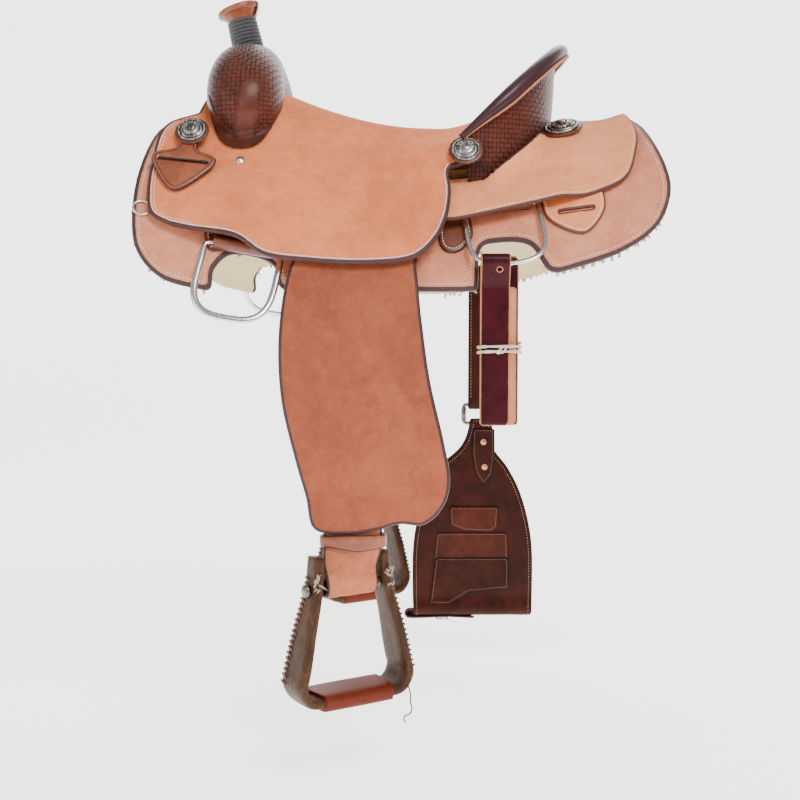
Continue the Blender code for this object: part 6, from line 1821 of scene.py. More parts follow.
@dataclass
class Hangers:
    """The stirrup leathers, the fenders sewn to them and the hobble straps."""

    kit: Kit
    x: float = -0.060
    wide: float = 0.075
    top_arc: float = 0.1205
    lift_z: float = -0.111
    bolt: tuple[float, float] = (-0.066, -0.546)
    yaw: float = math.radians(32)
    twist: tuple[float, float] = (-0.484, -0.536)
    bore: float = 0.0085
    ply: float = 0.0044
    fender: tuple = (
        (-0.120, -0.113), (-0.137, -0.124), (-0.148, -0.167), (-0.154, -0.240), (-0.150, -0.310),
        (-0.134, -0.380), (-0.120, -0.430), (-0.110, -0.471), (-0.070, -0.478), (-0.030, -0.473),
        (0.000, -0.465), (0.030, -0.466), (0.054, -0.445), (0.064, -0.410), (0.056, -0.360),
        (0.038, -0.281), (0.027, -0.200), (0.021, -0.140), (0.010, -0.118), (-0.020, -0.111),
        (-0.080, -0.111),
    )

    def build(self) -> None:
        """Both sides."""
        for side in Side:
            self.top(side)
            self.panel(side)
            self.strap(side)
            self.hobble(side)

    def top(self, side: Side) -> None:
        """The leather's top, which swings under the seat."""
        half = self.wide / 2
        height = float(SURFACE.point(self.x, self.top_arc, LEATHER_IN)[2]) - half
        drawn = [(self.x + half * math.cos(a), height + half * math.sin(a)) for a in np.linspace(0,
            math.pi,
                24)]
        drawn += [(self.x - half, self.lift_z + GAP), (self.x + half, self.lift_z + GAP)]
        plan = SURFACE.arcs(Outline.polygon(drawn, 0.004), side, LEATHER_OUT)
        panel = Panel(f"{side.word}_leather_top_ply", plan, LEATHER_IN, LEATHER_OUT,
                      self.kit.palette.fender)
        set_on(panel.build(), f"{side.word}_leather", "fender_rough_leather", f"{side.word}_leather_top")

    def panel(self, side: Side) -> None:
        """The fender, a little wavy, with creases."""
        drawn = Outline.through(self.fender[:-2], 0.004).points
        drawn[:, 1] = np.minimum(drawn[:, 1], self.lift_z)
        plan = SURFACE.arcs(Outline(drawn), side, FENDER_OUT).resampled(0.004)

        def swell(x: Array, s: Array) -> Array:
            """Soft waves in the hanging leather."""
            free = smooth((np.abs(s) - 0.20) / 0.15)
            return free * np.array([
                0.0016 * noise.noise((a * 14, abs(b) * 10, 3.0)) + 0.0006 * noise.noise((a * 45,
                    abs(b) * 30, 5.0))
                for a, b in zip(x, s)
            ])

        panel = Panel(f"{side.word}_fender_roughout", plan, lambda x,
                      s: FENDER_IN + np.maximum(swell(x, s), 0),
                      lambda x, s: FENDER_OUT + np.maximum(swell(x, s), 0), self.kit.palette.fender,
                      soft=0.0010)
        set_on(panel.build(), f"{side.word}_fender", "fender_rough_leather", f"{side.word}_fender")

    def centre(self, side: Side) -> tuple[list[Vector], list[Vector], list[Vector]]:
        """The hanging strap's middle line, the direction across it and the direction out of it."""
        depth = (LEATHER_IN + LEATHER_OUT) / 2
        first = SURFACE.arc_at(self.x, self.lift_z - GAP, depth)
        last = SURFACE.arc_at(self.x, self.bolt[1], depth)
        line, across, out = [], [], []
        for s in np.arange(first, last + 1e-6, (last - first) / 110):
            spot = Vector(SURFACE.point(self.x, side * s, depth))
            share = float(smooth((self.twist[0] - spot.z) / (self.twist[0] - self.twist[1])))
            spot.x += (self.bolt[0] - self.x) * share
            yaw = self.yaw * share
            line.append(spot)
            across.append(Vector((math.cos(yaw), math.sin(yaw), 0)) * side)
            slope = float(np.interp(s, SURFACE.arc, SURFACE.slope))
            down = Vector((0, side * math.cos(slope), -math.sin(slope)))
            out.append(across[-1].cross(down).normalized())
        return line, across, out

    def strap(self, side: Side) -> None:
        """One strap that goes down in front, round the bolt and up again behind, creased at its loop."""
        line, across, out = self.centre(side)
        radius = self.bore + self.ply / 2
        low = self.bolt[1]
        widths = [self.ply / 2 + 0.0002 + (radius - self.ply / 2) * float(smooth((low + 0.034 - p.z) / 0.030))
                  for p in line]
        front = [p + o * w for p, o, w in zip(line, out, widths)]
        back = [p - o * w for p, o, w in zip(line, out, widths)]
        bottom, turn = line[-1], out[-1]
        loop = [bottom + turn * radius * math.cos(a) + Vector((0, 0, -radius * math.sin(a)))
                for a in (math.pi * k / 12 for k in range(1, 12))]
        path = front + loop + back[::-1]
        run = PathSurface(path, [tuple(a) for a in [*across, *[across[-1]] * len(loop), *across[::-1]]])
        start = float(run.run[len(front)])
        half = self.wide / 2 - 0.0003

        def creased(x: Array, s: Array) -> Array:
            """Wrinkles across the loop."""
            near = (np.exp(-((s - start + 0.028) / 0.022) ** 2)
                    + 0.7 * np.exp(-((s - start - 0.020) / 0.025) ** 2))
            fold = np.array([noise.noise((a * 22 + 9, b * 150 + a * 30, 1.0)) for a, b in zip(x, s)])
            return self.ply / 2 - 0.0013 * near * np.clip(1 - np.abs(fold) * 4.0, 0, 1)

        plan = Outline.polygon([(-half, 0), (half, 0), (half, run.length), (-half, run.length)], 0.0045)
        panel = Panel(f"{side.word}_strap_ply", plan, -self.ply / 2, creased,
                      self.kit.palette.strap_salmon, run, 0.0042, 0.0006)
        inner = Panel("inner_ply", Outline.polygon([
            (-half + 0.001, start - 0.075), (half - 0.001, start - 0.075), (half - 0.001, start - 0.012),
            (-half + 0.001, start - 0.012)], 0.004), -self.ply - 0.0022, -self.ply / 2 - 0.0002,
            self.kit.palette.ply, run, 0.006, 0.0004)
        set_on(joined(f"{side.word}_stirrup_strap", [panel.build(), inner.build()]), f"{side.word}_fender",
               "fender_rough_leather", f"{side.word}_stirrup_leather")

    def hobble(self, side: Side) -> None:
        """A glossy band buckled round the leather, pointed at its lower edge."""
        line, _, _ = self.centre(side)
        middle = min(line, key=lambda p: abs(p.z + 0.487))
        deep, wide, wall = 0.0108, 0.0415, 0.0034
        corner = deep * 0.9
        loop = []
        for cx, cy, start in ((wide - corner, -deep + corner, -90), (wide - corner, deep - corner, 0),
                              (-wide + corner, deep - corner, 90), (-wide + corner, -deep + corner, 180)):
            loop += arc_points((cx, cy), corner, start, start + 90, 6)
        loop = [(self.x + x, middle.y + y, -0.4795) for x, y in loop][::-1]
        loop = loop[14:] + loop[:14]
        path = evenly([*loop, loop[0]], 0.002)
        run = PathSurface(path, (0, 0, 1))
        place = run.at(run.path, np.linspace(0, run.length, 160))
        lower = [-(0.0150 + 0.0062 * max(0.0, 1 - abs(x - self.x - 0.006) / 0.034) ** 0.8) for x, _,
                 _ in place]
        upper = [0.0006 + 0.0010 * (x - self.x) / 0.04 for x, _, _ in place]
        spots = np.linspace(0.0004, run.length - 0.0004, 160)
        plan = Outline(np.array([*zip(upper, spots), *list(zip(lower, spots))[::-1]])).resampled(0.003)
        panel = Panel(f"{side.word}_hobble_band", plan, -wall / 2, wall / 2,
                      self.kit.palette.russet_edged, run, 0.005)
        set_on(panel.build(), f"{side.word}_fender", "russet_leather", f"{side.word}_hobble_strap")


@dataclass
class Stirrups:
    """The laced rawhide stirrups with their bolts and tread leathers."""

    kit: Kit
    x: float = -0.066
    z: float = -0.546
    yaw: float = math.radians(32)
    neck: float = 0.088
    wide: float = 0.170
    rise: float = 0.042
    drop: float = 0.148
    thick: float = 0.014
    deep: tuple[float, float] = (0.028, 0.056)
    bolt: float = 0.0065

    def place(self, side: Side) -> Matrix:
        """The stirrup's frame: X along the bolt, Z up."""
        plumb = SURFACE.point(self.x, side * (SIDE_ARC + DROP_ARC + 0.05), (LEATHER_IN + LEATHER_OUT) / 2)
        return Matrix.Translation((self.x, float(plumb[1]), self.z)) @ Matrix.Rotation(self.yaw, 4, "Z")

    def half_line(self) -> list[tuple[float, float]]:
        """Half of the centre line, from an arm's top to the middle of the tread."""
        neck, wide = self.neck / 2 + self.thick / 2, self.wide / 2 - self.thick / 2
        low = -self.drop + self.thick / 2
        return [
            (neck - 0.004, self.rise), (neck, 0.0), (neck + (wide - neck) * 0.45, -0.050),
            (wide - 0.004, -0.100),
            (wide, low + 0.022), (wide - 0.007, low + 0.0064), (wide - 0.020, low), (0.030, low),
        ]

    def build(self) -> None:
        """Both stirrups."""
        for side in Side:
            place = self.place(side)
            half = self.half_line()
            line = evenly(Outline.curve([*half, *[(-x, z) for x, z in reversed(half)]], 8), 0.0035)
            self.body(side, place, line)
            self.tread(side, place)
            across = place @ Matrix.Rotation(math.pi / 2, 4, "Y")
            reach, head = self.neck / 2 + self.thick + 0.003, self.bolt * 1.35
            profile = [(0, -reach - 0.0052), (head * 0.6, -reach - 0.0050),
                       (head * 0.95, -reach - 0.0035), (head, -reach - 0.0005),
                       (head, -reach), (self.bolt, -reach), (self.bolt, reach), (head, reach),
                       (head, reach + 0.0005),
                       (head * 0.95, reach + 0.0035), (head * 0.6, reach + 0.0050), (0, reach + 0.0052)]
            set_on(dressed(turned(f"{side.word}_bolt_turned", profile, across, 32),
                           self.kit.palette.dark_steel),
                   f"{side.word}_stirrup", "bolt_steel", f"{side.word}_stirrup_bolt")

    def body(self, side: Side, place: Matrix, line: Array) -> None:
        """The bent frame with one row of lacing on the outer face of each arm."""
        verts, faces, sides, laced = [], [], 28, []
        along = np.gradient(line, axis=0)
        along /= np.linalg.norm(along, axis=1, keepdims=True)
        for (x, z), (ax, az) in zip(line, along):
            normal = Vector((-az, 0, ax))
            deep = self.deep[0] + (self.deep[1] - self.deep[0]) * float(smooth((self.rise - z) / 0.150))
            wobble = 0.0005 * noise.noise((x * 60, z * 60, 4.0 * side))
            for k in range(sides):
                a = math.tau * k / sides
                c, s = math.cos(a), math.sin(a)
                reach = (self.thick / 2 + wobble) * math.copysign(abs(c) ** 0.55, c)
                verts.append(place @ (Vector((x, 0, z)) + normal * reach
                                      + Vector((0, deep / 2 * math.copysign(abs(s) ** 0.45, s), 0))))
            if -0.118 < z < 0.018:
                outer = normal * math.copysign(1, normal.x * x)
                laced.append((Vector((x, 0, z)), outer, Vector((ax, 0, az)), deep))
        count = len(line)
        for i in range(count - 1):
            for k in range(sides):
                m = (k + 1) % sides
                faces.append((i * sides + k, i * sides + m, (i + 1) * sides + m, (i + 1) * sides + k))
        faces += [tuple(range(sides))[::-1], tuple(range((count - 1) * sides, count * sides))]
        frame_body = new_mesh("frame", verts, faces)
        faced_out(frame_body)
        dressed(frame_body, self.kit.palette.rawhide)
        stitches, holes = [], []
        turn = place.to_3x3()
        for spot, outer, run, deep in laced[::2]:
            front = 1 if spot.x < 0 else -1
            edge = spot + outer * (self.thick / 2 + 0.0004) + Vector((0, front * (deep / 2 - 0.0085), 0))
            slant = (run * 0.35 * math.copysign(1, run.z) + Vector((0, front * 0.94, 0))).normalized()
            stitches.append((place @ edge, turn @ outer, turn @ slant))
            holes.append((place @ (edge - slant * 0.0062 - outer * 0.0002), turn @ outer, turn @ run))
        palette = self.kit.palette
        lacing = self.kit.repeat("lacing", bead("one_lace", 0.0115, 0.0036, 0.0030, 7, 8), palette.lace,
                                 stitches)
        # Each lace gets a flat dark mark beside it: painted shade standing for its punched hole, which is not
        # cut.
        punched = self.kit.repeat("punched", bead("one_hole", 0.0036, 0.0026, 0.0006), palette.hole, holes)
        ends = self.ends(side, place)
        set_on(joined(f"{side.word}_stirrup_body", [frame_body, lacing, punched, *ends]),
               f"{side.word}_stirrup",
               "stirrup_rawhide", f"{side.word}_stirrup")

    def ends(self, side: Side, place: Matrix) -> list[bpy.types.Object]:
        """Frayed rawhide at both arms' tops, and on the near side the lace's curled tail."""
        palette, rng, made = self.kit.palette, np.random.default_rng(11 + side), []
        for sign in (-1, 1):
            for _ in range(7):
                base = Vector((sign * (self.neck / 2 + self.thick * rng.uniform(0.35, 0.9)),
                               -self.deep[0] * rng.uniform(0.4, 0.5),
                               0.010 + rng.normal(0, 0.004)))
                path, way = [base], Vector((sign * 0.1, -0.5, 0.6)) + Vector(rng.normal(0, 0.3, 3))
                for _ in range(5):
                    path.append(path[-1] + way.normalized() * 0.0030)
                    way += Vector(rng.normal(0, 0.35, 3))
                made.append(dressed(tube_along("fray", [place @ q for q in path],
                                               [0.0016, 0.0017, 0.0014, 0.0012, 0.0008, 0.0003], 6),
                                               palette.frayed))
        if side is Side.NEAR:
            tail = [(0.072, -0.030, -0.136), (0.074, -0.032, -0.146), (0.0735, -0.033, -0.157),
                    (0.075, -0.034, -0.165),
                    (0.071, -0.034, -0.172), (0.064, -0.034, -0.1735), (0.0625, -0.034, -0.179),
                    (0.066, -0.034, -0.1815)]
            path = [place @ Vector(q) for q in Outline.curve(tail, 6)]
            lace = dressed(tube_along("near_lace_tail", path, 0.0009, 8), palette.ply)
            set_on(lace, "near_stirrup", "stirrup_rawhide")
            length = sum((q - p).length for p, q in zip(path, path[1:]))
            tuple(path[0])
            [tuple(q) for q in path]
        return made

    def tread(self, side: Side, place: Matrix) -> None:
        """The smooth leather sleeve on the tread, its front edge rolled."""
        low = -self.drop + self.thick / 2
        long = self.wide / 2 - self.thick - 0.018
        up, deep = self.thick / 2 + 0.0040, self.deep[1] / 2 + 0.0040
        ring = []
        for k in range(48):
            a = math.tau * k / 48
            c, s = math.cos(a), math.sin(a)
            ring.append((deep * math.copysign(abs(c) ** 0.32, c),
                         low + up * math.copysign(abs(s) ** 0.6, s)))
        verts, faces = [], []
        stations = [(-long, 0.82), (-long, 0.94), (-long + 0.0008, 0.985), (-long + 0.002, 1.0)]
        stations += [(-long + 0.002 + (2 * long - 0.004) * k / 20,
                      1.0 + 0.012 * math.sin(math.pi * k / 20)) for k in range(1, 20)]
        stations += [(-x, grow) for x, grow in reversed(stations[:4])]
        for x, grow in stations:
            for y, z in ring:
                slant = 0.004 * (y / deep) * (1 if x > 0 else -1) if abs(x) > long - 0.003 else 0
                verts.append(place @ Vector((x + slant, y * grow, low + (z - low) * grow)))
        for i in range(len(stations) - 1):
            for k in range(48):
                m = (k + 1) % 48
                faces.append((i * 48 + k, (i + 1) * 48 + k, (i + 1) * 48 + m, i * 48 + m))
        faces += [tuple(range(48)), tuple(range((len(stations) - 1) * 48, len(stations) * 48))[::-1]]
        tread = new_mesh(f"{side.word}_tread_sleeve", verts, faces)
        faced_out(tread)
        set_on(dressed(sharpen(tread, 50), self.kit.palette.tread), f"{side.word}_stirrup",
               "russet_leather",
               f"{side.word}_stirrup_tread")


def eye_line(side: Side, low: float, high: float, radius: float, half: float) -> tuple[list,
    tuple[float, float]]:
    """The line (y, z) of a strap's eye over a rear dee's bar, wide enough for its swing.

    Args:
        side: The dee's side.
        low: The strap's first station.
        high: Its last.
        radius: How far the strap's middle keeps from the bar's middle.
        half: Half the distance between the strap's two plies below the eye.

    Returns:
        The line from the ply on the near side over the top to the other, and the bar's highest point.
    """
    rig = Rigging.dee_path(24)
    depth = DEE_DEPTH
    place = SURFACE.place(REAR_DEE[0], side * SURFACE.arc_at(*REAR_DEE, depth), depth)
    points = [place @ q for q in rig]
    dense = [a.lerp(b, k / 8) for a, b in zip(points, points[1:]) for k in range(9)]
    run = [(q.y, q.z) for q in dense
           if low - DEE_BAR / 2 < q.x < high + DEE_BAR / 2 and q.z < place.translation.z - 0.03]
    top = max(run, key=lambda q: q[1])
    spots = []
    for swing in (-math.radians(14), 0.0, math.radians(14)):
        c, t = math.cos(swing), math.sin(swing)
        for y, z in run[::3]:
            u, v = y - top[0], z - top[1]
            spots += arc_points((top[0] + c * u - t * v, top[1] + t * u + c * v), radius, 0, 345, 23)
    lowest = min(z for _, z in spots) - 0.020
    spots += [(top[0] - half, lowest), (top[0] + half, lowest)]
    order = [spots[k] for k in geometry.convex_hull_2d([Vector(q) for q in spots])]
    first = order.index((top[0] - half, lowest))
    ring = order[first:] + order[:first]
    if ring[1] == (top[0] + half, lowest):
        ring = [ring[0], *ring[:0:-1]]
    return ring, top


@dataclass
class Latigo:
    """The latigo folded over the near rear dee, with the elastic band twisted round it."""

    kit: Kit
    x: float = 0.129
    wide: float = 0.050
    ply: float = 0.0035
    bottom: float = -0.343
    holes: tuple = (-0.139, -0.247)
    band: tuple[float, float, float] = (-0.236, 0.0066, 0.0036)

    def build(self) -> None:
        """The plies, and the band."""
        palette, half, ply = self.kit.palette, self.wide / 2, self.ply
        gap = DEE_BAR / 2 / math.cos(math.pi / 8) + GAP
        over, top = eye_line(Side.NEAR, self.x - half, self.x + half, gap + ply / 2, 1.5 * ply)
        y = top[0]
        line = [(y - 1.5 * ply, self.bottom), *over, (y + 1.5 * ply, self.bottom)]
        run = PathSurface([(self.x, *q) for q in evenly(line, 0.0022)], (1, 0, 0))
        parts = []
        body, last = -ply / 2 + 0.0001, ply / 2 - 0.0001
        outer = Outline.polygon([(-half, 0), (0.0125, 0), (0.0130, 0.24), (half, run.length - 0.22),
                                 (half, run.length), (-half, run.length)], 0.003)
        rings = [self.hole(z - self.bottom) for z in self.holes]
        rings += [self.hole(run.length - (z - self.bottom)) for z in self.holes]
        front = Panel("outer_ply", outer, body, last, palette.latigo, run, 0.0042, 0.0006, tuple(rings))
        parts.append(front.build())
        depth = over[0][1]
        for k, (offset, reach) in enumerate(((-0.5, 0.0058), (0.5, 0.0029))):
            flat = PathSurface([(self.x, y + offset * ply, self.bottom + 0.0003),
                                (self.x, y + offset * ply, (self.bottom + depth) / 2),
                                (self.x, y + offset * ply, depth - 0.001)], (1, 0, 0))
            plan = Outline.polygon([(-half + 0.0004, 0), (half - reach, 0), (half - reach, flat.length),
                                    (-half + 0.0004, flat.length)],
                                   0.003)
            holes = tuple(self.hole(z - self.bottom) for z in self.holes)
            parts.append(Panel(f"inner_ply_{k}", plan, body, last, palette.latigo_raw, flat, 0.006,
                               0.0004, holes).build())
        for z in self.holes:
            centre = Vector((self.x - 0.001, y - 2 * ply - 0.0001, z))
            ring = [centre + Vector((0.0046 * math.cos(a), 0,
                                     0.0046 * math.sin(a))) for a in np.linspace(0, math.tau, 28)[:-1]]
            rim = dressed(tube_along("raised_rim", ring, 0.0014, 8, True, 0.8, Vector((0, 1, 0))),
                          palette.latigo)
            point_values(rim.data, "edge", [0.01] * len(rim.data.vertices))
            parts.append(rim)
        set_on(joined("latigo_plies", parts), "latigo", "latigo_leather", "latigo_strap")
        self.wind(y)

    def hole(self, s: float) -> Outline:
        """A punched hole this far along the strap."""
        return Outline(np.array([(-0.001 + 0.0031 * math.cos(a), s + 0.0031 * math.sin(a))
                                 for a in np.linspace(0, math.tau, 14)[:-1]]))

    def wind(self, y: float) -> None:
        """Two turns of a twisted elastic, with its small knot."""
        height, pitch, cord = self.band
        wide, thick = self.wide / 2 + cord / 2 + 0.0008, 2 * self.ply + cord / 2 + 0.0006
        turns, count = 2, 72
        path, strands = [], []
        for i in range(turns * count + 1):
            a = math.tau * i / count
            c, t = math.cos(a), math.sin(a)
            sag = 0.0045 * math.sin(a * 0.5 + 0.4) ** 2
            path.append(Vector((
                self.x + wide * math.copysign(abs(c) ** 0.35, c),
                y + thick * math.copysign(abs(t) ** 0.35, t),
                height - pitch * i / count - sag + 0.002,
            )))
        along = [(b - a).normalized() for a, b in zip(path, [*path[1:], path[-1] * 2 - path[-2]])]
        for phase in (0.0, math.pi):
            strand = []
            for i, (spot, way) in enumerate(zip(path, along)):
                out = Vector((0, math.copysign(1, spot.y - y),
                              0)) if abs(way.x) > 0.5 else Vector((math.copysign(1, spot.x - self.x), 0, 0))
                up = way.cross(out).normalized()
                twist = phase + i * 0.42
                strand.append(spot + (out * math.cos(twist) * 0.5 + up * math.sin(twist)) * cord * 0.27)
            strands.append(dressed(tube_along("strand", strand, cord * 0.34, 8), self.kit.palette.elastic))
        knot = Vector((self.x + 0.004, y - thick - 0.0010, height - 0.0075))
        loop = [knot + Vector((0.0036 * math.cos(a), -0.0008 * math.sin(2 * a),
                               0.0040 * math.sin(a + 0.5))) for a in np.linspace(0, math.tau, 20)[:-1]]
        strands.append(dressed(tube_along("knot", loop, cord * 0.42, 8, True), self.kit.palette.elastic))
        set_on(joined("elastic_band_twisted", strands), "latigo", "elastic_band", "latigo_band")


@dataclass
class FlankCinch:
    """The billet on the off rear dee, its buckle, and the wide cinch folded in half below it."""

    kit: Kit
    billet: tuple[float, float, float] = (0.138, 0.045, 0.0045)
    buckle: tuple[float, float, float] = (-0.357, -0.388, 0.0030)
    x: float = 0.124
    bottom: float = -0.720
    ply: float = 0.0052
    bell: tuple = (
        (0.0, 0.018), (-0.050, 0.026), (-0.090, 0.060), (-0.140, 0.084), (-0.210, 0.100),
        (-0.290, 0.1025), (-0.400, 0.099),
    )

    def build(self) -> None:
        """Billet, buckle, cinch and connector strap."""
        shift, wide, thick = self.billet
        high, _, bar = self.buckle
        gap = DEE_BAR / 2 / math.cos(math.pi / 8) + GAP
        over, top = eye_line(Side.OFF, shift - wide / 2, shift + wide / 2, gap + thick / 2,
                             thick / 2 + 0.0001)
        y = top[0]
        foot = bar + 0.0010 + thick / 2
        down = arc_points((y, high), foot, -88, 15, 10)
        line = [*arc_points((y, high), foot, 268, 165, 10), *over, *down[::-1]]
        run = PathSurface([(shift, *q) for q in evenly(line, 0.0022)], (1, 0, 0))
        plan = Outline.polygon([(-wide / 2, 0), (wide / 2, 0), (wide / 2, run.length),
                                (-wide / 2, run.length)], 0.0035)
        strap = Panel("billet", plan, -thick / 2 + 0.0001, thick / 2, self.kit.palette.chestnut, run,
                      0.0045, 0.0006)
        rows = self.kit.sewn("billet_rows", strap, 0.0045, self.kit.palette.brown_stitch,
                             keep=lambda a,
                             b: (b > 0.02) & (b < run.length / 2 - 0.03) | (b > run.length / 2 + 0.03))
        set_on(joined("flank_billet_strap", [strap.build(), rows]), "flank_billet", "flank_leather",
               "flank_billet")
        self.make_buckle(y)
        self.make_cinch(y)
        self.make_connector(y)

    def make_buckle(self, y: float) -> None:
        """A frame with a thicker sleeve on its open side, and a tongue."""
        shift, wide, _ = self.billet
        high, low, bar = self.buckle
        half, corner = (wide + 4 * bar + 0.002) / 2, 0.004
        loop = []
        for cx, cz, start in ((half - corner, high - corner, 0), (-half + corner, high - corner, 90),
                              (-half + corner, low + corner, 180), (half - corner, low + corner, 270)):
            loop += [Vector((shift + a, y, b)) for a, b in arc_points((cx, cz), corner, start, start + 90,
                6)]
        parts = [tube_along("ring", loop, bar * 0.98, 12, True, 0.92, Vector((0, 1, 0)))]
        sleeve = [Vector((shift - half, y, high - 0.004)), Vector((shift - half - 0.0006, y,
            (high + low) / 2)),
                  Vector((shift - half, y, low + 0.004))]
        parts.append(tube_along("sleeve", sleeve, bar * 1.35, 12))
        tongue = [Vector((shift, y, high + 0.001)), Vector((shift, y - bar * 1.3, (high + low) / 2)),
                  Vector((shift, y - bar, low - 0.001))]
        parts.append(tube_along("tongue", [Vector(q) for q in Outline.curve(tongue, 6)], 0.0016, 8))
        steel = self.kit.palette.dark_steel
        set_on(joined("flank_buckle_frame", [dressed(part, steel) for part in parts]), "flank_buckle",
               "buckle_steel",
               "flank_buckle")

    def make_cinch(self, y: float) -> None:
        """One panel from the buckle down, round the fold and up again, with its tab, rivets and pockets."""
        palette, kit = self.kit.palette, self.kit
        low = self.buckle[1]
        mid, ring = 0.0015 + self.ply / 2, 0.0115 - self.ply / 2
        line = [*arc_points((y, low), 0.0062, 92, -20, 10), (y + mid, low - 0.016),
                (y + mid, self.bottom + 0.032),
                (y + mid + 0.0022, self.bottom + 0.022), *arc_points((y, self.bottom + 0.0115), ring, 0,
                    -180, 16),
                (y - mid - 0.0022, self.bottom + 0.022), (y - mid, self.bottom + 0.032),
                (y - mid, low - 0.016), *arc_points((y, low), 0.0062, 200, 88, 10)]
        run = PathSurface([(0.0, *q) for q in evenly(line, 0.0030)], (1, 0, 0))
        spots = np.linspace(0.0003, run.length - 0.0003, 420)
        heights = run.at(run.path, spots)[:, 2] - (low + 0.012)
        smooth_bell = Outline.curve(self.bell, 10)
        half = np.interp(-heights, -smooth_bell[:, 0], smooth_bell[:, 1])
        centre = self.x + (self.billet[0] - self.x) * smooth(1 + heights / 0.1)
        inner = (spots > run.length / 2).astype(float)
        swing = -0.010 * inner * 0 + 0.0
        left, right = centre - half + swing, centre + half + swing
        plan = Outline(np.array([*zip(right, spots), *list(zip(left, spots))[::-1]])).resampled(0.004)

        def ease(x: Array, s: Array) -> Array:
            """Soft unevenness of the hanging leather."""
            return self.ply / 2 + np.array([0.0005 * noise.noise((a * 30, b * 20, 8.0)) for a,
                                            b in zip(x, s)])

        cinch = Panel("cinch", plan, -self.ply / 2 + 0.0001, ease, palette.chestnut, run, 0.0075, 0.0008)
        parts = [cinch.build(), kit.sewn("cinch_rows", cinch, 0.0065, palette.pale_stitch, 0.0048, 0.0026,
                                         keep=lambda a, b: b > 0.06, wide=0.0009)]

        def front(z: float) -> float:
            """How far along the run this height lies on the side towards the horse."""
            upper = spots > run.length / 2
            return float(np.interp(z, run.at(run.path, spots)[upper, 2], spots[upper]))

        def patch(name: str, drawn: Sequence[tuple[float, float]], rise: float, finish: bpy.types.Material,
                  step: float = 0.003) -> Panel:
            """A piece laid on the cinch."""
            laid = Outline.polygon([(px, front(pz)) for px, pz in drawn], step)
            return Panel(name, laid, self.ply / 2, self.ply / 2 + rise, finish, run, 0.006, 0.0006)

        cx = 0.1400
        tab = patch("tab", [(cx - 0.017, -0.396), (cx + 0.020, -0.396), (cx + 0.021, -0.440),
                            (cx + 0.017, -0.474),
                            (cx + 0.004, -0.492), (cx - 0.004, -0.486), (cx - 0.013, -0.470),
                            (cx - 0.018, -0.440)],
                    0.0036, palette.chestnut)
        pockets = [
            patch("upper_keeper", [(0.084, -0.530), (0.168, -0.530), (0.166, -0.566), (0.155, -0.574),
                                   (0.108, -0.572), (0.086, -0.562)],
                  0.0032, palette.cinch_red),
            patch("lower_keeper", [(0.060, -0.618), (0.186, -0.618), (0.186, -0.672), (0.118, -0.678),
                                   (0.084, -0.700), (0.050, -0.700)],
                  0.0030, palette.chestnut),
            patch("liner", [(0.062, -0.575), (0.184, -0.575), (0.186, -0.640), (0.056, -0.640)], 0.0014,
                  palette.cinch_red),
        ]
        for piece in (tab, *pockets):
            parts.append(piece.build())
            parts.append(kit.sewn("rows", piece, 0.0036, palette.brown_stitch, 0.0040, 0.0026, wide=0.0008))
        for px, pz in ((0.1415, -0.4195), (0.1435, -0.4620)):
            place = Matrix.Translation((px, float(run.point(px, front(pz), self.ply / 2 + 0.0036)[1]),
                                        pz)) \
                @ Matrix.Rotation(math.pi / 2, 4, "X")
            shape = [(0, -0.002), (0.0052, -0.002), (0.0052, 0.0006), (0.0045, 0.0011), (0.0026, 0.0009),
                     (0.0024, 0.0020), (0.0014, 0.0027),
                     (0, 0.0028)]
            parts.append(dressed(turned("rivet", shape, place, 24), palette.copper))
        set_on(joined("flank_cinch_panel", parts), "flank_cinch", "flank_leather", "flank_cinch")

    def make_connector(self, y: float) -> None:
        """A doubled strap through the fold, with a small buckle on its lower run."""
        thick, upper, lower = 0.0035, self.bottom + 0.0115, self.bottom - 0.0035 / 2 - 0.001
        left, turn = self.x - 0.108, (self.bottom + 0.0115 - (self.bottom - 0.0035 / 2 - 0.001)) / 2
        line = [(self.x - 0.015, upper), (left, upper)]
        line += [(left - turn * math.sin(a), upper - turn * (1 - math.cos(a))) for a in np.linspace(0,
            math.pi, 14)[1:-1]]
        line += [(left, lower), (self.x + 0.005, lower)]
        spots = evenly(line, 0.0022)
        path = [(px, y, pz - 0.0009 * math.sin(px * 60)) for px, pz in spots]
        run = PathSurface(path, (0, 1, 0))
        half = 0.0046
        plan = Outline.polygon([(-half, 0), (half, 0), (half, run.length - 0.004), (0, run.length),
                                (-half, run.length - 0.004)], 0.002)
        strap = Panel("strap", plan, -thick / 2, thick / 2, self.kit.palette.ply, run, 0.0030, 0.0005)
        cx, cz, bar = 0.072, lower - 0.0002, 0.0012
        ring = [Vector((cx + 0.0085 * math.cos(a) * 1.1,
                        y + 0.0064 * math.copysign(abs(math.sin(a)) ** 0.5, math.sin(a)),
                        cz - 0.0026)) for a in np.linspace(0, math.tau, 32)[:-1]]
        buckle = dressed(tube_along("small_buckle", ring, bar, 8, True), self.kit.palette.steel)
        tongue = dressed(tube_along("small_tongue", [Vector((cx - 0.004, y - 0.003, cz - 0.002)),
                                                     Vector((cx + 0.012, y - 0.0045, cz - 0.0045)),
                                                     Vector((cx + 0.024, y - 0.006, cz - 0.009))], 0.0009,
                                                     8), self.kit.palette.steel)
        set_on(joined("connector_strap", [strap.build(), buckle, tongue]), "flank_cinch", "flank_leather",
               "cinch_connector_strap")


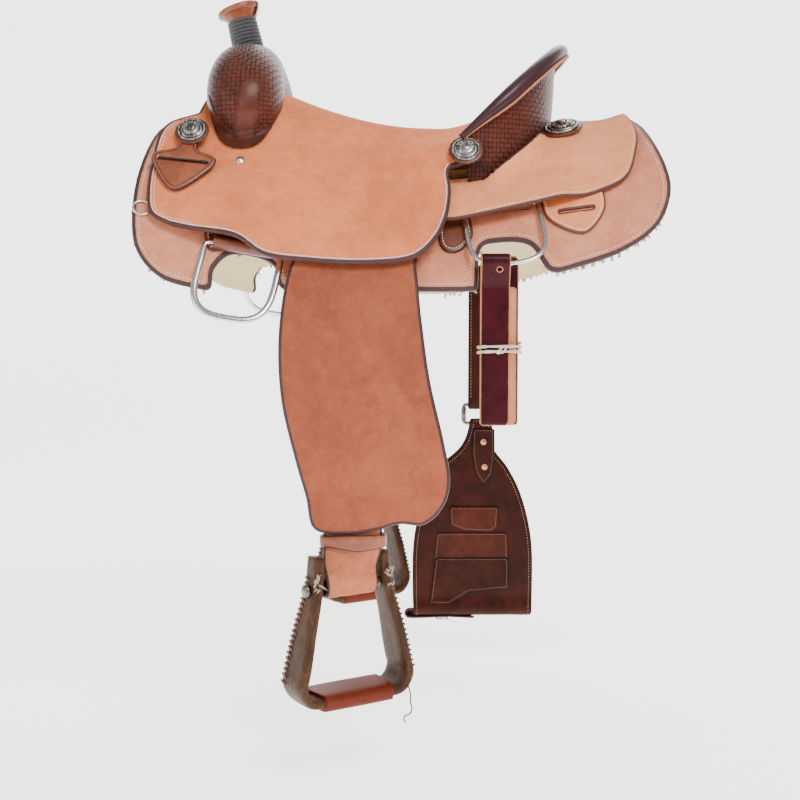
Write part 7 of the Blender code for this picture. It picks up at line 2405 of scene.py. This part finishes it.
@dataclass
class Trim:
    """Conchos on their scalloped rosettes, the front keepers, and the screws with their washers."""

    kit: Kit
    keeper: tuple = (
        (-0.012, 0.058), (0.012, 0.058), (0.021, 0.046), (0.013, 0.030), (0.017, 0.016),
        (0.043, 0.004), (0.036, -0.020), (0.000, -0.056), (-0.036, -0.020), (-0.043, 0.004),
        (-0.017, 0.016), (-0.013, 0.030), (-0.021, 0.046),
    )
    rise: float = 0.007
    rosette: float = 0.003
    stem: float = 0.0024

    @staticmethod
    def on_seat(x: float, z: float, side: Side) -> Matrix:
        """A frame on the seat leather, lengthwise at x and at height z."""
        arcs = np.arange(0.05, 0.30, 0.002)
        heights = SEAT_SURFACE.point(np.full_like(arcs, x), arcs, SEAT)[:, 2]
        return SEAT_SURFACE.place(x, side * float(np.interp(-z, -heights, arcs)), SEAT, 0.015)

    @staticmethod
    def heights(place: Matrix, node: str) -> Array:
        """How high a solid's points stand over a frame's plane."""
        solid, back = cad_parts[node], place.inverted()
        return np.array([(back @ (solid.matrix_world @ v.co)).z for v in solid.data.vertices])

    def build(self) -> None:
        """Both sides."""
        for side in Side:
            for word, place, radius in (
                ("corner", self.on_seat(0.089, 0.016, side), 0.019),
                ("rear", SURFACE.place(RIM_X + RIM_LENGTH + 0.001, side * SURFACE.arc_at(
                    RIM_X + RIM_LENGTH + 0.001, 0.060, JOCKEY_IN + BAR), JOCKEY_IN + BAR), 0.024),
            ):
                node = f"{side.word}_{word}_concho"
                top = float(self.heights(place, node).max())
                base = place @ Matrix.Translation((0, 0, top - self.rise * radius / 0.019))
                low = float(self.heights(place, node).min()) - (top - self.rise * radius / 0.019)
                piece = self.concho(base, radius, low)
                set_on(joined(f"{side.word}_{word}_concho_set", piece), "saddle", "antique_silver", node)
            self.front(side)
            self.screws(side)

    def concho(self, place: Matrix, radius: float, low: float) -> list[bpy.types.Object]:
        """A domed, stamped disc with a roped edge over a scalloped leather rosette.

        Args:
            place: The frame of the disc's underside.
            radius: The disc's radius.
            low: How far down its screw goes.

        Returns:
            The parts.
        """
        palette, k = self.kit.palette, radius / 0.019
        shape = [(0, low), (self.stem, low), (self.stem, -0.0001), (0.60 * radius, -0.0001),
                 (0.97 * radius, 0.0), (radius, 0.0006 * k),
                 (0.985 * radius, 0.0016 * k), (0.90 * radius, 0.0021 * k), (0.83 * radius, 0.0014 * k),
                 (0.79 * radius, 0.0024 * k),
                 (0.74 * radius, 0.0031 * k), (0.66 * radius, 0.0033 * k), (0.62 * radius, 0.0030 * k),
                 (0.57 * radius, 0.0044 * k),
                 (0.46 * radius, 0.0056 * k), (0.32 * radius, 0.0064 * k), (0.27 * radius, 0.0059 * k),
                 (0.22 * radius, 0.0064 * k),
                 (0.12 * radius, 0.0069 * k), (0, self.rise * k)]
        disc = dressed(turned("disc", shape, place, 96, lambda a,
                              h: 1 + 0.006 * math.cos(32 * a) * (h < 0.002 * k)), palette.silver)
        spots = np.array([tuple(place.inverted() @ v.co) for v in disc.data.vertices])
        r = np.hypot(spots[:, 0], spots[:, 1]) / radius
        hollow = (np.exp(-((r - 0.83) / 0.035) ** 2) + np.exp(-((r - 0.60) / 0.03) ** 2)
                  + 0.8 * np.exp(-((r - 0.27) / 0.03) ** 2))
        point_values(disc.data, "hollow", np.clip(hollow, 0, 1))
        turn = place.to_3x3()

        def around(name: str, share: float, height: float, count: int, shape_of: bpy.types.Object,
                   slant: float,
                   value: float = 0.1) -> bpy.types.Object:
            """Copies round the disc."""
            places = []
            for n in range(count):
                a = math.tau * n / count
                out = Vector((math.cos(a), math.sin(a), 0))
                along = out * math.cos(slant) + Vector((-math.sin(a), math.cos(a), 0)) * math.sin(slant)
                places.append((place @ (out * radius * share + Vector((0, 0, height * k))),
                               turn @ Vector((0, 0, 1)), turn @ along))
            made = self.kit.repeat(name, shape_of, palette.silver, places)
            point_values(made.data, "hollow", [value] * len(made.data.vertices))
            return made

        rope = around("rope", 0.925, 0.0018, 52, bead("one_twist", 0.0034 * k, 0.0017 * k, 0.0016 * k), 0.7)
        petals = around("petals", 0.47, 0.0052, 12, bead("one_petal", 0.0048 * k, 0.0022 * k, 0.0013 * k),
                        0.0)
        dots = around("dots", 0.70, 0.0030, 22, bead("one_dot", 0.0020 * k, 0.0016 * k, 0.0011 * k), 0.4)
        scallop = turned("rosette", [(0, -self.rosette), (radius * 1.13, -self.rosette), (radius * 1.20,
            -self.rosette * 0.7),
                                     (radius * 1.18, -0.0009), (radius * 1.12, -0.0004),
                                     (0.4 * radius, -0.0004), (0, -0.0004)],
                         place, 120, lambda a, h: 1 + 0.035 * abs(math.sin(9 * a)))
        return [disc, rope, petals, dots, dressed(scallop, palette.russet_dark)]

    def front(self, side: Side) -> None:
        """The pointed keeper that turns about its concho."""
        palette = self.kit.palette
        place = self.on_seat(-0.2885, 0.003, side)
        node = f"{side.word}_front_keeper"
        heights = self.heights(place, node)
        flat = place @ Matrix.Translation((0, 0, float(heights.min())))
        plan = Outline.through(self.keeper, 0.002)
        slot = Outline.polygon([(-0.034, -0.006), (0.034, -0.006), (0.034, -0.0025), (-0.034, -0.0025)],
                               0.0015)
        panel = Panel("plate", plan, 0.0, 0.0040, palette.russet_edged, PlaneSurface(flat), 0.0045,
                      0.0007, (slot,))
        rows = self.kit.sewn("rows", panel, 0.0034, palette.brown_stitch, 0.0034, 0.0024, wide=0.0008,
                             keep=lambda x, s: s < 0.018)
        groove = self.kit.rope("groove", plan.inset(0.0052).resampled(0.002).points, panel,
                               palette.dark_smooth, 0.0005, 0.0, True)
        pivot = flat @ Matrix.Translation((0, 0.046, 0.0040 + self.rosette + 2 * GAP))
        low = float(self.heights(pivot, f"{side.word}_keeper_concho").min())
        pieces = self.concho(pivot, 0.019, low)
        set_on(joined(f"{node}_plate", [panel.build(), rows, groove]), f"{side.word}_front_keeper",
               "russet_leather", node)
        set_on(joined(f"{side.word}_keeper_concho_set", pieces), "saddle", "antique_silver",
               f"{side.word}_keeper_concho")

    def screws(self, side: Side) -> None:
        """A round washer with its screw, below the swell."""
        parts = []
        for x, z, radius in ((-0.2150, 0.008, 0.0062),):
            place = self.on_seat(x, z, side)
            shape = [(0, -0.0010), (radius, -0.0010), (radius, 0.0006), (radius * 0.86, 0.0014),
                     (radius * 0.55, 0.0012),
                     (radius * 0.50, 0.0022), (radius * 0.30, 0.0030), (0, 0.0032)]
            parts.append(dressed(turned("washer", shape, place, 32), self.kit.palette.steel))
        set_on(joined(f"{side.word}_seat_screw", parts), "saddle", "bolt_steel")


@dataclass
class Studio:
    """The floor, the light and the camera."""

    eye: tuple[float, float, float] = (0.0, -1.88, -0.18)
    pitch: float = 4.53
    lens: float = 56.7
    floor_z: float = -0.800

    def build(self) -> None:
        """Set the camera, then the floor and the lights."""
        self.camera()
        verts, faces = [], []
        bend, reach, wide, back = 0.8, 3.0, 4.0, 2.6
        profile = [(-reach, 0.0), (back - bend, 0.0)]
        profile += [
            (back - bend + bend * math.sin(a), bend - bend * math.cos(a))
            for a in (math.pi / 2 * k / 16 for k in range(1, 17))
        ] + [(back, 3.2)]
        for y, z in profile:
            verts += [(-wide, y, self.floor_z + z), (wide, y, self.floor_z + z)]
        for k in range(len(profile) - 1):
            faces.append((2 * k, 2 * k + 1, 2 * k + 3, 2 * k + 2))
        floor = new_mesh("studio_floor", verts, faces)
        made, s, surface = Finishes.start("floor_paint")
        tone = s.noise(s.place(), 1.2, 3.0)
        s.put(surface.inputs["Base Color"], s.mix(tone, (0.86, 0.86, 0.86), (0.90, 0.90, 0.895)))
        surface.inputs["Roughness"].default_value = 0.9
        surface.inputs["Emission Color"].default_value = (1.0, 0.995, 0.985, 1)
        surface.inputs["Emission Strength"].default_value = 2.0
        dressed(floor, made)
        world = bpy.data.worlds.new("soft_white")
        world.use_nodes = True
        world.node_tree.nodes["Background"].inputs["Color"].default_value = (1.0, 1.0, 1.0, 1)
        world.node_tree.nodes["Background"].inputs["Strength"].default_value = 0.45
        bpy.context.scene.world = world
        self.lamp("key", (1.1, -2.4, 2.3), 1.5, 112)
        self.lamp("fill", (-2.3, -1.9, 0.8), 2.0, 34)
        self.lamp("back", (0.6, 2.0, 2.3), 1.6, 30)

    def camera(self) -> None:
        """Stand where the photograph was taken from."""
        data = bpy.data.cameras.new("camera")
        data.sensor_width, data.lens = 36, self.lens
        data.clip_start = 0.05
        camera = bpy.data.objects.new("camera", data)
        camera.location = self.eye
        camera.rotation_euler = (math.radians(90 - self.pitch), 0, 0)
        bpy.context.scene.collection.objects.link(camera)
        bpy.context.scene.camera = camera

    @staticmethod
    def lamp(name: str, place: tuple[float, float, float], size: float, power: float) -> None:
        """A square soft light that faces the saddle."""
        data = bpy.data.lights.new(name, "AREA")
        data.energy, data.size = power, size
        light = bpy.data.objects.new(name, data)
        light.location = place
        light.rotation_euler = (Vector((0, 0, -0.2)) - Vector(place)).to_track_quat("-Z", "Y").to_euler()
        bpy.context.scene.collection.objects.link(light)


def main() -> None:
    """Build every sub-assembly."""
    logging.basicConfig(level=logging.INFO, format="%(name)s: %(message)s")
    Studio().build()
    kit = Kit(Palette(), Repeater())
    Skirts(kit).build()
    Jockeys(kit).build()
    Fork(kit).build()
    Cantle(kit).build()
    Rigging(kit).build()
    Hangers(kit).build()
    Stirrups(kit).build()
    Latigo(kit).build()
    FlankCinch(kit).build()
    Trim(kit).build()


if __name__ == "__main__":
    main()
